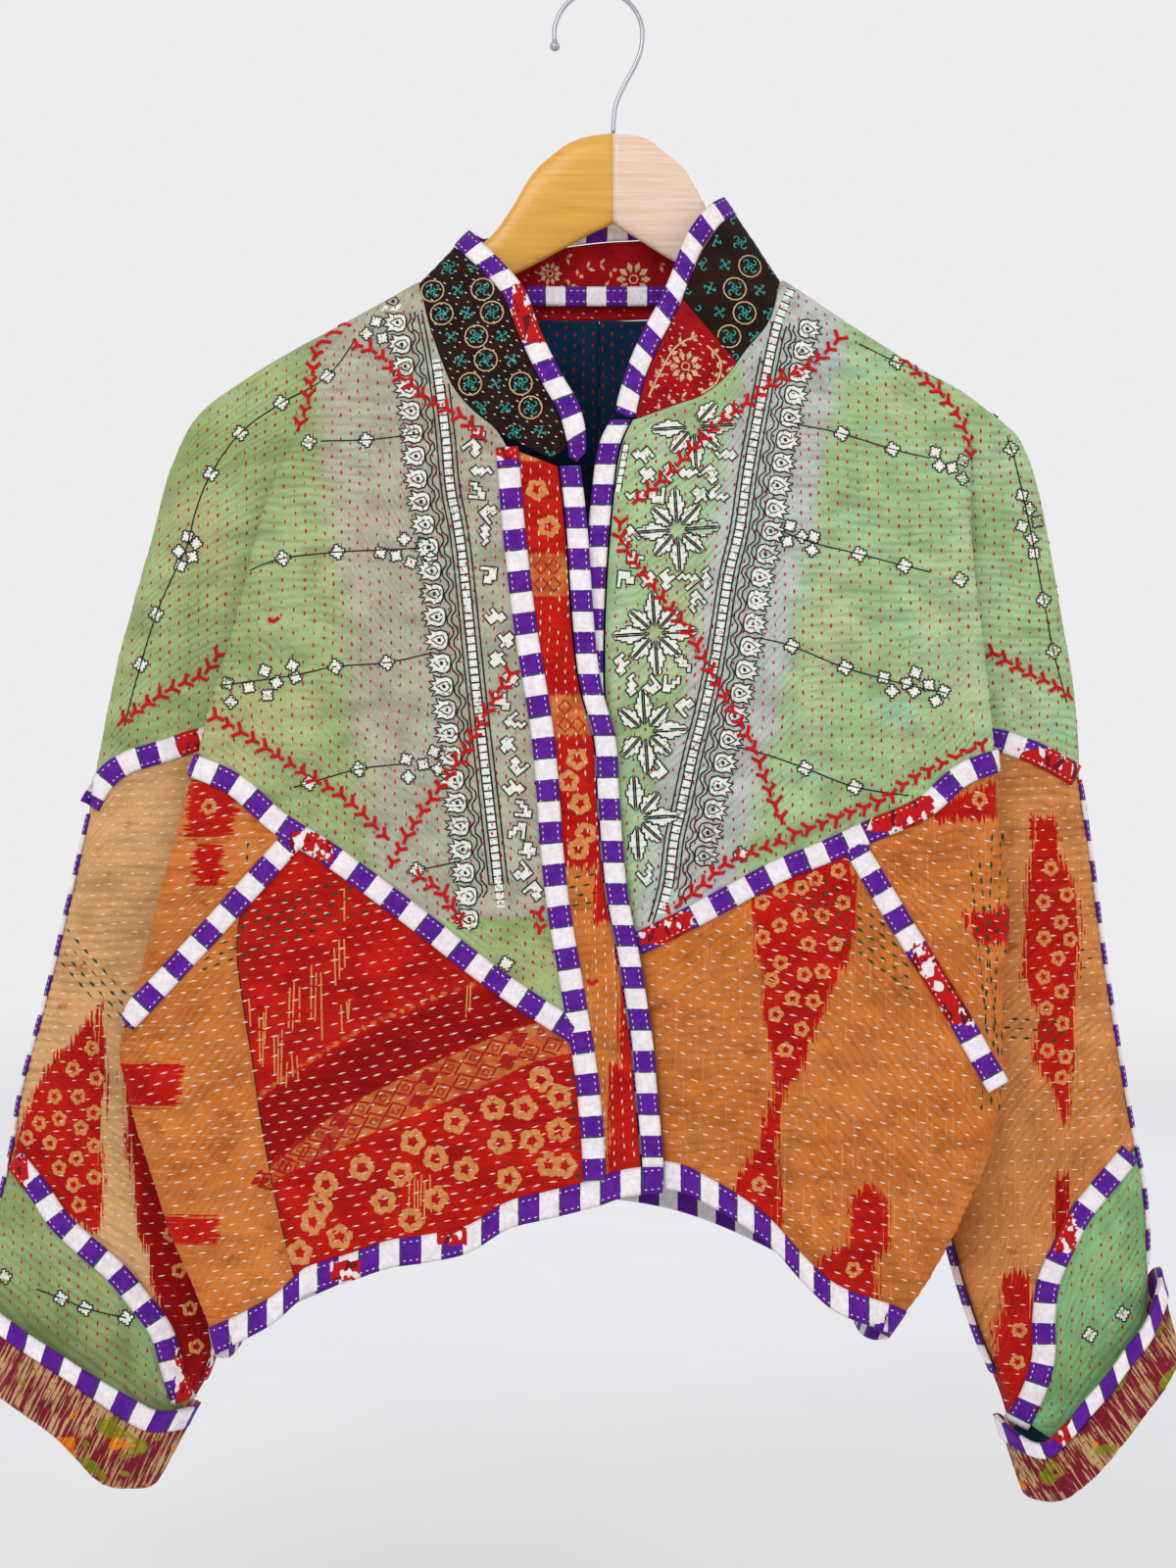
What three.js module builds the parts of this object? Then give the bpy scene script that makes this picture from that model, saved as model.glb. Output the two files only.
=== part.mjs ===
// Quilted kantha jacket on a wooden hanger.
// Millimetres, +Z up, +Y away from the viewer, origin inside the crown of the hanger's hook.
// "right" and "left" are the wearer's: the right half is on the viewer's left.
import * as THREE from 'three';

// Cloth and seam sizes.
const CLOTH = 1.8;        // thickness of the quilted cloth
const GAP = 0.15;         // half of the slit kept along each seam
const TAPE = 13;          // width of a binding
const TAPE_LIFT = 0.8;    // a binding over a seam starts this far off the cloth
const TAPE_THICK = 0.9;
const EDGE_SWELL = 0.5;   // an edge binding is this much thicker than the cloth on each face

const lerp = (a, b, t) => a + (b - a) * t;
const clamp = (t) => Math.min(1, Math.max(0, t));
const ease = (t) => clamp(t) * clamp(t) * (3 - 2 * clamp(t));
const bow = (t) => Math.sqrt(1 - (1 - clamp(t)) ** 2);
const steps = (n, a = 0, b = 1) => Array.from({ length: n + 1 }, (_, i) => lerp(a, b, i / n));

// Smooth value of a table of [key, value] rows, keys falling.
function at(table, key) {
  const n = table.length;
  if (key >= table[0][0]) return table[0][1];
  if (key <= table[n - 1][0]) return table[n - 1][1];
  let i = 0;
  while (key < table[i + 1][0]) i += 1;
  const slope = (k) => {
    const a = table[Math.max(0, k - 1)];
    const b = table[Math.min(n - 1, k + 1)];
    return (b[1] - a[1]) / (b[0] - a[0]);
  };
  const [k0, v0] = table[i];
  const [k1, v1] = table[i + 1];
  const w = k1 - k0;
  const t = (key - k0) / w;
  const h = t * t * (3 - 2 * t);
  return v0 * (1 - h) + v1 * h + w * (t * (1 - t) ** 2 * slope(i) - t * t * (1 - t) * slope(i + 1));
}

// Smooth curve through plan points, by share of its length.
function path(points) {
  const fine = [];
  const n = points.length;
  for (let i = 0; i < n - 1; i += 1) {
    const p0 = points[Math.max(0, i - 1)];
    const p1 = points[i];
    const p2 = points[i + 1];
    const p3 = points[Math.min(n - 1, i + 2)];
    for (let k = 0; k < 8; k += 1) {
      const t = k / 8;
      fine.push(p1.map((_, c) => 0.5 * (2 * p1[c] + (p2[c] - p0[c]) * t
        + (2 * p0[c] - 5 * p1[c] + 4 * p2[c] - p3[c]) * t * t
        + (3 * p1[c] - p0[c] - 3 * p2[c] + p3[c]) * t ** 3)));
    }
  }
  fine.push(points[n - 1]);
  const run = [0];
  for (let i = 1; i < fine.length; i += 1) {
    run.push(run[i - 1] + Math.hypot(...fine[i].map((v, c) => v - fine[i - 1][c])));
  }
  const length = run[run.length - 1];
  const f = (t) => {
    const goal = clamp(t) * length;
    let i = 0;
    while (i < fine.length - 2 && run[i + 1] < goal) i += 1;
    const w = (goal - run[i]) / (run[i + 1] - run[i]);
    return fine[i].map((v, c) => lerp(v, fine[i + 1][c], w));
  };
  f.length_mm = length;
  f.points = fine;
  return f;
}

const join = (...parts) => (t) => {
  const total = parts.reduce((s, p) => s + p.length_mm, 0);
  let goal = clamp(t) * total;
  for (const p of parts) {
    if (goal <= p.length_mm || p === parts[parts.length - 1]) return p(goal / p.length_mm);
    goal -= p.length_mm;
  }
  return null;
};

// Four-sided patch in plan between its edge curves.
const patch = (top, bottom, inner, outer) => (u, v) => [0, 1].map((c) => {
  const edges = lerp(top(u)[c], bottom(u)[c], v) + lerp(inner(v)[c], outer(v)[c], u);
  return edges - lerp(lerp(top(0)[c], top(1)[c], u), lerp(bottom(0)[c], bottom(1)[c], u), v);
});

function toCurve(points, x, z) {
  let best = 1e9;
  for (let i = 1; i < points.length; i += 1) {
    const [ax, az] = points[i - 1];
    const [bx, bz] = points[i];
    const len = (bx - ax) ** 2 + (bz - az) ** 2;
    const t = clamp(((x - ax) * (bx - ax) + (z - az) * (bz - az)) / (len || 1));
    best = Math.min(best, Math.hypot(x - lerp(ax, bx, t), z - lerp(az, bz, t)));
  }
  return best;
}

// The two halves. x is written as the distance from the middle, so both tables read alike.
// edge: where the front of the body turns over; side: armhole line, then side seam.
const RIGHT = {
  sign: -1,
  shoulder: [[105, -169], [119, -177], [144, -191], [175, -208], [206, -227], [234, -249], [250, -281]],
  overarm: [[250, -281], [263, -331], [279, -387], [291, -446], [297, -480], [309, -533], [321, -583],
    [336, -639], [342, -675], [350, -709], [358, -745], [364, -770], [371, -800]],
  underarm: [[-569, 212.5], [-595, 214], [-640, 216], [-695, 219], [-734, 221], [-768, 221], [-790, 223],
    [-808, 229], [-822, 237], [-842, 247], [-866, 258]],
  edge: [[-191, 145], [-216, 150], [-239, 161], [-261, 175], [-283, 186], [-328, 199], [-379, 211],
    [-407, 220], [-443, 228], [-488, 240], [-538, 253], [-580, 263], [-600, 270], [-617, 272],
    [-631, 269], [-659, 262], [-687, 253], [-715, 244], [-743, 232], [-765, 223], [-790, 216]],
  side: [[-205, 163], [-300, 176], [-380, 186], [-440, 194], [-520, 206], [-569, 211], [-597, 205],
    [-631, 199], [-687, 198], [-731, 202], [-759, 206], [-790, 211]],
  neck: [[53, -270], [60, -259], [74, -247], [85, -233], [92, -216], [98, -199], [102, -183], [105, -169]],
  centre: [[53, -270], [49, -317], [42, -375], [32, -438], [27, -501], [23, -535], [18, -564], [11, -605]],
  centreLow: [[11, -605], [7, -631], [4, -664], [3, -687]],
  yoke: [[11, -605], [29, -594], [63, -571], [96, -545], [130, -519], [152, -503], [171, -491],
    [197, -474], [220, -457]],
  sleeveSeam: [[208, -438], [227, -436], [242, -441], [259, -446], [276, -452], [287, -462], [293, -472],
    [297, -480]],
  yokeEnd: -452,
  pocket: [[171, -491], [205, -529], [238, -565], [262, -592]],
  petal: [[342, -675], [326, -692], [309, -715], [292, -730], [276, -744], [262, -762], [251, -779],
    [246, -799], [241, -821], [247, -838]],
  hem: [[3, -687], [29, -694], [52, -700], [74, -713], [96, -718], [119, -721], [141, -728], [164, -735],
    [186, -753], [206, -766]],
  cuff: [[366, -750], [343, -765], [328, -775], [310, -786], [287, -801], [265, -815], [252, -822],
    [234, -822]],
  turnUp: [[375, -793], [343, -810], [321, -824], [310, -832], [298, -844], [283, -861], [268, -866],
    [258, -868]],
};
const LEFT = {
  sign: 1,
  shoulder: [[105, -167], [122, -178], [144, -193], [167, -208], [189, -222], [212, -235], [242, -259]],
  overarm: [[242, -259], [253, -284], [261, -320], [269, -367], [276, -409], [279, -460], [286, -507],
    [293, -561], [301, -611], [310, -664], [316, -694], [318.5, -722], [318.5, -745], [320, -770], [323, -800]],
  underarm: [[-569, 185], [-590, 186], [-617, 187], [-646, 189], [-691, 194], [-721, 200], [-757, 210],
    [-786, 220], [-804, 228], [-820, 234], [-842, 240], [-872, 249]],
  edge: [[-234, 213], [-250, 217], [-283, 215], [-311, 213], [-345, 215], [-395, 220], [-447, 224],
    [-479, 225], [-507, 230], [-535, 232], [-575, 228], [-608, 228], [-631, 229], [-647, 226],
    [-675, 219], [-698, 209], [-721, 198], [-743, 186], [-771, 167], [-790, 155]],
  side: [[-240, 200], [-300, 186], [-380, 184], [-440, 184], [-520, 184], [-569, 183], [-597, 175],
    [-631, 170], [-687, 166], [-721, 162], [-765, 155], [-790, 148]],
  neck: [[19, -254], [30, -250], [44, -245], [60, -239], [74, -227], [84, -213], [97, -197], [102, -183],
    [105, -167]],
  centre: [[19, -254], [12, -270], [8, -300], [4, -351], [3, -407], [7, -463], [13, -519], [20, -554]],
  centreLow: [[20, -554], [27, -600], [32, -645], [36, -677]],
  yoke: [[20, -554], [38, -546], [60, -533], [83, -522], [105, -510], [128, -501], [142, -494],
    [172, -481], [195, -469], [212, -459]],
  sleeveSeam: [[198, -440], [225, -437], [237, -440], [251, -445], [265, -452], [279, -460]],
  yokeEnd: -450,
  pocket: [[142, -494], [168, -538], [190, -574], [206, -601], [217, -622]],
  petal: [[310, -671], [296, -687], [282, -701], [272, -717], [262, -737], [256, -754], [255, -773],
    [255, -793], [250, -813], [241, -836], [246, -852]],
  hem: [[36, -677], [47, -679], [58, -684], [77, -695], [97, -710], [116, -731], [135, -747], [145, -757]],
  cuff: [[324, -744], [312, -770], [300, -784], [290, -798], [276, -814], [265, -828], [251, -840],
    [231, -829]],
  turnUp: [[337, -792], [322, -810], [312, -821], [298, -838], [284, -855], [273, -866], [262, -874],
    [246, -876]],
};
// The back is not seen: the same outline, its seam and hem drawn level.
const BACK_NECK = [[0, -189], [29, -189], [63, -185], [91, -178], [100, -173]];
const BACK_YOKE = (h) => [[0, -585], [60, -560], [120, -520], [170, -487], [at(h.edge, -455) - 24, -460]];
const BACK_HEM = (h) => [[0, -695], [50, -704], [100, -724], [h.hem[h.hem.length - 1][0] - 12,
  h.hem[h.hem.length - 1][1]]];

for (const h of [RIGHT, LEFT]) {
  h.outline = path([[0, -158], ...h.shoulder, ...h.overarm.slice(1)]).points;
  h.ridge = path([[0, -158], ...h.shoulder]).points;
  h.overTop = h.overarm.map(([x, z]) => [z, x]);
}

// Depth of each layer. front = -1 is the side towards the viewer, +1 the back.
const FRONT = { way: -1, depth: 40, reach: 110, roll: 6, sleeve: [2, 10, 14], in: 0 };
const BACK = { way: 1, depth: 30, reach: 150, roll: 5.5, sleeve: [0, 3, 6], in: 9 };
const RIDGE = 8;
const UNDERARM_Z = -569;
const plane = (x) => -8 * Math.min(1, Math.abs(x) / 220) ** 2;

function bodyY(h, f, x, z) {
  const d = toCurve(h.ridge, x, z);
  const fall = 1 - Math.exp(-d / f.reach);
  const swell = 2.6 * Math.sin(h.sign * x / 27 + 0.6) * ease(d / 330);
  const under = h.sign > 0 && f === FRONT ? 4.5 * ease((62 - x) / 26) * ease((-235 - z) / 60) : 0;
  return plane(x) + f.way * (RIDGE * bow(d / RIDGE) + f.depth * fall + swell) + under;
}

function innerX(h, z) {
  return z > UNDERARM_Z ? at(h.side, z) + 1.5 : at(h.underarm, z);
}

function valleyY(f, x, z) {
  const open = plane(x) + f.way * (RIDGE + f.sleeve[1] - 1);
  return lerp(open, plane(x), ease((-440 - z) / 129));
}

function sleeveY(h, f, x, z) {
  const d = toCurve(h.outline, x, z);
  const [top, mid, low] = f.sleeve;
  const deep = z > -450 ? lerp(top, mid, ease((-220 - z) / 230)) : lerp(mid, low, ease((-450 - z) / 150));
  const full = plane(x) + f.way * (RIDGE * bow(d / RIDGE) + deep * (1 - Math.exp(-d / 30)));
  const near = bow((x - innerX(h, z)) / lerp(45, 70, ease((-650 - z) / 120)));
  const v = valleyY(f, x, z);
  return z > -440 ? full : lerp(v, full, near);
}

// Corner points of the turned-over edge at one height: front, out, round, in, back.
function turn(h, f, z) {
  const edge = at(h.edge, z) - f.in;
  const side = at(h.side, z);
  const r = Math.min(f.roll, (edge - side) * 0.42);
  const y = bodyY(h, f, edge - 2 * f.roll, z);
  const y2 = y - f.way * 2 * r;
  const vy = valleyY(f, side, z);
  return [[edge - 2 * f.roll, y], [edge, y], [edge, y2], [side, y2], [side, vy]];
}

// Rounded line through corner points, ends kept.
function rounded(corners, perBend) {
  const mid = (a, b) => a.map((v, c) => (v + b[c]) / 2);
  const out = [];
  for (let i = 1; i < corners.length - 1; i += 1) {
    const a = i === 1 ? corners[0] : mid(corners[i - 1], corners[i]);
    const b = i === corners.length - 2 ? corners[i + 1] : mid(corners[i], corners[i + 1]);
    const c = corners[i];
    for (let k = out.length ? 1 : 0; k <= perBend; k += 1) {
      const t = k / perBend;
      out.push(a.map((v, n) => (1 - t) ** 2 * v + 2 * t * (1 - t) * c[n] + t * t * b[n]));
    }
  }
  return out;
}

// A closed wall from its outer points; grid[row][column], way tells which side is out.
const V = (x, y, z) => new THREE.Vector3(x, y, z);
function wall(grid, toward, opts = {}) {
  const { out = 0, inn = -CLOTH, ring = false, flat = null, gap = GAP } = opts;
  const nj = grid.length;
  const ni = grid[0].length;
  const pick = (j, i) => grid[j][ring ? (i + ni) % ni : i];
  const pulled = grid.map((row, j) => row.map((p, i) => {
    const q = p.clone();
    const pull = (to) => q.add(to.clone().sub(p).setLength(gap));
    if (!ring && i === 0) pull(pick(j, 1));
    if (!ring && i === ni - 1) pull(pick(j, ni - 2));
    if (j === 0) pull(pick(1, i));
    if (j === nj - 1) pull(pick(nj - 2, i));
    return q;
  }));
  const get = (j, i) => pulled[j][ring ? (i + ni) % ni : Math.min(ni - 1, Math.max(0, i))];
  const normals = pulled.map((row, j) => row.map((p, i) => {
    const du = get(j, i + 1).clone().sub(get(j, i - 1));
    const dv = get(Math.min(nj - 1, j + 1), i).clone().sub(get(Math.max(0, j - 1), i));
    return du.cross(dv).normalize();
  }));
  const jm = opts.row ?? Math.floor(nj / 2);
  const im = opts.at ?? 1;
  const sign = normals[jm][im].dot(toward) > 0 ? 1 : -1;
  const pos = [];
  for (const off of [out, inn]) {
    for (let j = 0; j < nj; j += 1) {
      for (let i = 0; i < ni; i += 1) {
        const n = normals[j][i].clone().multiplyScalar(sign);
        if (flat && flat(j, i)) n.setY(0).normalize();
        pos.push(...pulled[j][i].clone().addScaledVector(n, off).toArray());
      }
    }
  }
  const faces = [];
  const id = (side, j, i) => side * nj * ni + j * ni + (ring ? (i + ni) % ni : i);
  const quad = (a, b, c, d) => faces.push(a, b, c, a, c, d);
  const last = ring ? ni : ni - 1;
  for (let j = 0; j < nj - 1; j += 1) {
    for (let i = 0; i < last; i += 1) {
      quad(id(0, j, i), id(0, j, i + 1), id(0, j + 1, i + 1), id(0, j + 1, i));
      quad(id(1, j, i), id(1, j + 1, i), id(1, j + 1, i + 1), id(1, j, i + 1));
    }
  }
  for (let i = 0; i < last; i += 1) {
    quad(id(0, 0, i), id(1, 0, i), id(1, 0, i + 1), id(0, 0, i + 1));
    quad(id(0, nj - 1, i), id(0, nj - 1, i + 1), id(1, nj - 1, i + 1), id(1, nj - 1, i));
  }
  if (!ring) {
    for (let j = 0; j < nj - 1; j += 1) {
      quad(id(0, j, 0), id(0, j + 1, 0), id(1, j + 1, 0), id(1, j, 0));
      quad(id(0, j, ni - 1), id(1, j, ni - 1), id(1, j + 1, ni - 1), id(0, j + 1, ni - 1));
    }
  }
  return closed(pos, faces);
}

function closed(pos, faces) {
  let volume = 0;
  const p = (k) => V(pos[3 * k], pos[3 * k + 1], pos[3 * k + 2]);
  for (let k = 0; k < faces.length; k += 3) {
    volume += p(faces[k]).dot(p(faces[k + 1]).cross(p(faces[k + 2])));
  }
  if (volume < 0) faces.reverse();
  const g = new THREE.BufferGeometry();
  g.setAttribute('position', new THREE.Float32BufferAttribute(pos, 3));
  g.setIndex(faces);
  g.computeVertexNormals();
  return g;
}

const SLOTS = {
  green_print: 0xa8c082, ikat_orange: 0xc88241, ikat_red: 0xb02318, brown_turquoise: 0x32190f,
  kalamkari_red: 0xa50a14, striped_binding: 0x8a4fa0, cuff_ikat: 0x8c5a3c, wood: 0xe1a54b, steel: 0xb8bcc0,
};
const jacket = new THREE.Group();
jacket.name = 'kantha_jacket_on_hanger';
function add(name, slot, geometry) {
  const metal = slot === 'steel' ? 1 : 0;
  const material = new THREE.MeshStandardMaterial({ color: SLOTS[slot], roughness: 0.8, metalness: metal });
  material.name = slot;
  const mesh = new THREE.Mesh(geometry, material);
  mesh.name = name;
  jacket.add(mesh);
}

const AHEAD = V(0, -1, 0);
const BEHIND = V(0, 1, 0);
const facing = (f) => (f === FRONT ? AHEAD : BEHIND);
const bodyPoint = (h, f, [x, z]) => V(h.sign * x, bodyY(h, f, x, z), z);
const sleevePoint = (h, f, [x, z], u = 0) => {
  const kept = u > 0.3 && u < 1 ? Math.max(x, innerX(h, z) + 60 * (1 - u) ** 1.5 + 0.6) : x;
  return V(h.sign * kept, sleeveY(h, f, kept, z), z);
};
// The seam between the upper piece and the sleeve, from the hidden armhole line to the overarm.
const armSeam = (h) => path([[at(h.side, -438) + 1.5, -438], [at(h.side, -438) + 12, -438],
  ...h.sleeveSeam.slice(1)]);

// Share of each column and row: close together where the cloth turns.
const NEAR_RIDGE = [0, 0.008, 0.028, 0.08, 0.18, 0.34, 0.54, 0.75, 0.92, 1];
const BEND = 2;
const ACROSS = [0, 0.025, 0.09, 0.2, 0.34, 0.5, 0.66, 0.82, 0.93, 0.985, 1];
const UNDERLAP = 0.6;

// Upper piece: body and sleeve cut in one, with the deep fold between them.
function upper(h, f) {
  const foldTop = at(h.edge, -215) - f.in;
  const ridge = path(h.shoulder);
  const ridgeZ = (x) => at(h.shoulder.map(([a, b]) => [-a, b]), -x);
  const xs = [-12, -7, -2, 3, 8, 14].map((w) => foldTop + w);
  const split = (x0, x1) => path([[x0, ridgeZ(x0)], ...h.shoulder.filter(([x]) => x > x0 + 3 && x < x1 - 3),
    [x1, ridgeZ(x1)]]);
  const low = f === FRONT ? h.yokeEnd : -458;
  const lowIn = -438;
  const lows = [low, low + 4, lowIn, lowIn, lowIn, lowIn];
  const column = (k, v) => {
    const z = lerp(ridgeZ(xs[k]), lows[k], v);
    const full = ease((-z - 212) / 95);
    const corners = turn(h, f, z);
    corners.push([corners[3][0] + 12, sleeveY(h, f, corners[3][0] + 12, z)]);
    const flatX = lerp(xs[k], at(h.edge, z) + [-12, -7, -2, 3, 8, 14][k], clamp(v * 3));
    const flatY = lerp(bodyY(h, f, flatX, z), sleeveY(h, f, flatX, z), k / 5);
    const [x, y] = corners[k];
    return [lerp(flatX, x, full), lerp(flatY, y, full), z];
  };
  const plan = (k) => (v) => { const [x, , z] = column(k, v); return [x, z]; };
  const neck = path(f === FRONT ? h.neck : BACK_NECK.concat([h.shoulder[0]]));
  const seam = path((f === FRONT ? h.yoke : BACK_YOKE(h)).slice(0, -1).concat([plan(0)(1)]));
  const centre = path(f === FRONT ? h.centre : [[0, -189], [0, -585]]);
  const body = patch(join(neck, split(h.shoulder[0][0], xs[0])), seam, centre, plan(0));
  const arm = path(h.overarm.filter(([, z]) => z > h.sleeveSeam[h.sleeveSeam.length - 1][1] - 1));
  const tip = h.shoulder[h.shoulder.length - 1];
  const whole = armSeam(h);
  const from = 11 / whole.length_mm;
  const cut = (t) => whole(lerp(from, 1, t));
  const shares = ACROSS.slice(0, 8).reverse().map((t) => (1 - t - from) / (1 - from));
  const sleeve = patch(split(xs[5], tip[0]), cut, plan(5), arm);
  const grid = NEAR_RIDGE.map((v) => {
    const row = steps(9).slice(0, -1).map((u) => bodyPoint(h, f, body(u, v)));
    const bends = rounded([0, 1, 2, 3, 4, 5].map((k) => column(k, v)), BEND);
    row.push(...bends.map(([x, y, z]) => V(h.sign * x, y, z)));
    row.push(...shares.map((u) => sleevePoint(h, f, sleeve(u, v))));
    return row;
  });
  const onRidge = (j, i) => (j === 0 && grid[0][i].x * h.sign > 104) || i === grid[0].length - 1;
  return wall(grid, facing(f), { flat: onRidge });
}

// Piece of the body that ends by turning over at the edge and running in to the side line.
function turned(h, f, { top, bottom, inner, topZ, columns, rows }) {
  const bottomZ = -782 + (h.sign > 0 ? 9 : 0) + (f === FRONT ? 0 : 0);
  const lows = bottom.z ?? bottomZ;
  const column = (k, v) => {
    const z = lerp(topZ[k], lows[k] ?? lows, v);
    return [...turn(h, f, z)[k], z];
  };
  const first = (v) => { const [x, , z] = column(0, v); return [x, z]; };
  const upperLine = join(...top.map((part, k) => path(k === top.length - 1 ? [...part, first(0)] : part)));
  const body = patch(upperLine, path([...bottom.line, first(1)]), inner, first);
  const grid = steps(rows).map((v) => {
    const row = steps(columns).slice(0, -1).map((u) => bodyPoint(h, f, body(u, v)));
    row.push(...rounded([0, 1, 2, 3, 4].map((k) => column(k, v)), BEND).map(([x, y, z]) => V(h.sign * x, y, z)));
    return row;
  });
  return wall(grid, facing(f));
}

// Flat-lying piece between four plan curves, on the body or on the sleeve.
function lying(h, f, point, top, bottom, inner, outer, us, vs, opts = {}) {
  const p = patch(top, bottom, inner, outer);
  return wall(vs.map((v) => us.map((u) => point(h, f, p(u, v), u))), facing(f), opts);
}

// Binding laid on the cloth along a plan curve.
function tape(h, f, point, points, count, opts = {}) {
  const line = path(points);
  const half = (opts.width ?? TAPE) / 2;
  const grid = steps(count).map((t) => {
    const [x, z] = line(t);
    const a = line(Math.max(0, t - 0.01));
    const b = line(Math.min(1, t + 0.01));
    const run = Math.hypot(b[0] - a[0], b[1] - a[1]);
    const n = [-(b[1] - a[1]) / run, (b[0] - a[0]) / run];
    return steps(opts.across ?? 2, -half, half).map((w) => point(h, f, [x + n[0] * w, z + n[1] * w]));
  });
  return wall(grid, facing(f), { out: TAPE_LIFT + TAPE_THICK, inn: TAPE_LIFT, gap: 0.01, at: 1 });
}

const LOOSE = 1.4;        // a binding that goes round the edge stands this far off it
// Point on the front lobe that may pass round the edge: x past the edge is measured round the roll.
function lobePoint(h, f, [x, z]) {
  const start = at(h.edge, z) - f.in - 2 * f.roll;
  if (x <= start) return bodyPoint(h, f, [x, z]);
  const edge = start + 2 * f.roll + LOOSE;
  const r = Math.min(f.roll, (edge - at(h.side, z)) * 0.42) + LOOSE / 2;
  const y = bodyY(h, f, start, z);
  if (x <= edge) {
    const t = 1 - Math.sqrt((edge - x) / (edge - start));
    return V(h.sign * x, y + f.way * (LOOSE / 2 * clamp(4 * t) * (1 - t) - r * t * t), z);
  }
  const t = clamp((x - edge) / (2 * r));
  const side = at(h.side, z);
  const back = (edge + side) / 2;
  const px = (1 - t * t) * edge + t * t * back;
  const py = y - f.way * ((1 - t) ** 2 * r + 2 * t * (1 - t) * 2 * r + t * t * 2 * r);
  return V(h.sign * px, py, z);
}

const last = (a) => a[a.length - 1];
const SIDES = [['right', RIGHT], ['left', LEFT]];
const COSINE = [0, 0.02, 0.07, 0.2, 0.42, 0.68, 0.86, 0.96, 0.992, 1];

// Strip between two plan curves, thicker than the cloth: a binding folded round a free edge.
function edging(h, f, point, cloth, free, count, opts = {}) {
  const grid = steps(count).map((t) => {
    const a = cloth(t);
    const b = free(t);
    return [0.08, 0.5, 1].map((w) => point(h, f, [lerp(a[0], b[0], w), lerp(a[1], b[1], w)]));
  });
  return wall(grid, facing(f), { out: EDGE_SWELL, inn: -CLOTH - EDGE_SWELL, ...opts });
}

// Bodies: upper pieces, then the lower ones.
for (const [name, h] of SIDES) {
  add(`front_upper_${name}`, 'green_print', upper(h, FRONT));
  add(`back_upper_${name}`, 'green_print', upper(h, BACK));
}
const hemZ = (h) => [0, -4, -7, -8, -8].map((w) => last(h.hem)[1] + w);
const PATCH_SEAM = [[199, -522], [203, -534], [205, -556], [201, -590], [196, -620], [190, -660], [181, -705],
  [172, -741]];
add('front_lower_right', 'ikat_red', lying(RIGHT, FRONT, bodyPoint,
  path(RIGHT.yoke.slice(0, 7)), path(RIGHT.hem.slice(0, 8).concat([[172, -741]])), path(RIGHT.centreLow),
  path([[171, -491], [185, -506.5], ...PATCH_SEAM]), steps(10), steps(10)));
add('side_strip_right', 'ikat_orange', turned(RIGHT, FRONT, {
  top: [[[203, -528], [238, -566]]],
  bottom: { line: [[173, -742], [186, -753]], z: hemZ(RIGHT) },
  inner: path([[203, -528], ...PATCH_SEAM.slice(2).map(([x, z]) => [x + 1, z])]),
  topZ: [-591, -601, -606, -606, -606], columns: 4, rows: 8,
}));
add('pocket_side_right', 'ikat_orange', turned(RIGHT, FRONT, {
  top: [[[177, -487.5], [197, -474]]],
  bottom: { line: [[179, -497], [205, -525.5], [238, -562]], z: [-588, -598, -603, -603, -603] },
  inner: path([[177, -487.5], [178, -492], [179, -497]]),
  topZ: [-455, -448, -440, -440, -440], columns: 3, rows: 6,
}));
add('front_lower_left', 'ikat_orange', turned(LEFT, FRONT, {
  top: [LEFT.yoke.slice(0, 7).map(([x, z]) => [x, z - 0.6]), LEFT.pocket.slice(0, 4)],
  bottom: { line: LEFT.hem.slice(0, -1), z: hemZ(LEFT) },
  inner: path(LEFT.centreLow),
  topZ: [-624, -634, -640, -640, -640], columns: 13, rows: 7,
}));
add('pocket_side_left', 'ikat_orange', turned(LEFT, FRONT, {
  top: [[[149, -491], [172, -481], [195, -469]]],
  bottom: { line: [[151, -503], [170, -534], [192, -570], [207, -597]], z: [-619, -630, -637, -637, -637] },
  inner: path([[149, -491], [150, -497], [151, -503]]),
  topZ: [-456, -448, -440, -440, -440], columns: 4, rows: 7,
}));
for (const [name, h] of SIDES) {
  add(`back_lower_${name}`, 'ikat_orange', turned(h, BACK, {
    top: [BACK_YOKE(h).slice(0, -1).map(([x, z]) => [x, z - 1])],
    bottom: { line: BACK_HEM(h).slice(0, -1), z: hemZ(h) },
    inner: path([[0, -586], [0, -695]]),
    topZ: [-462, -454, -440, -440, -440], columns: 9, rows: 8,
  }));
}

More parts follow.
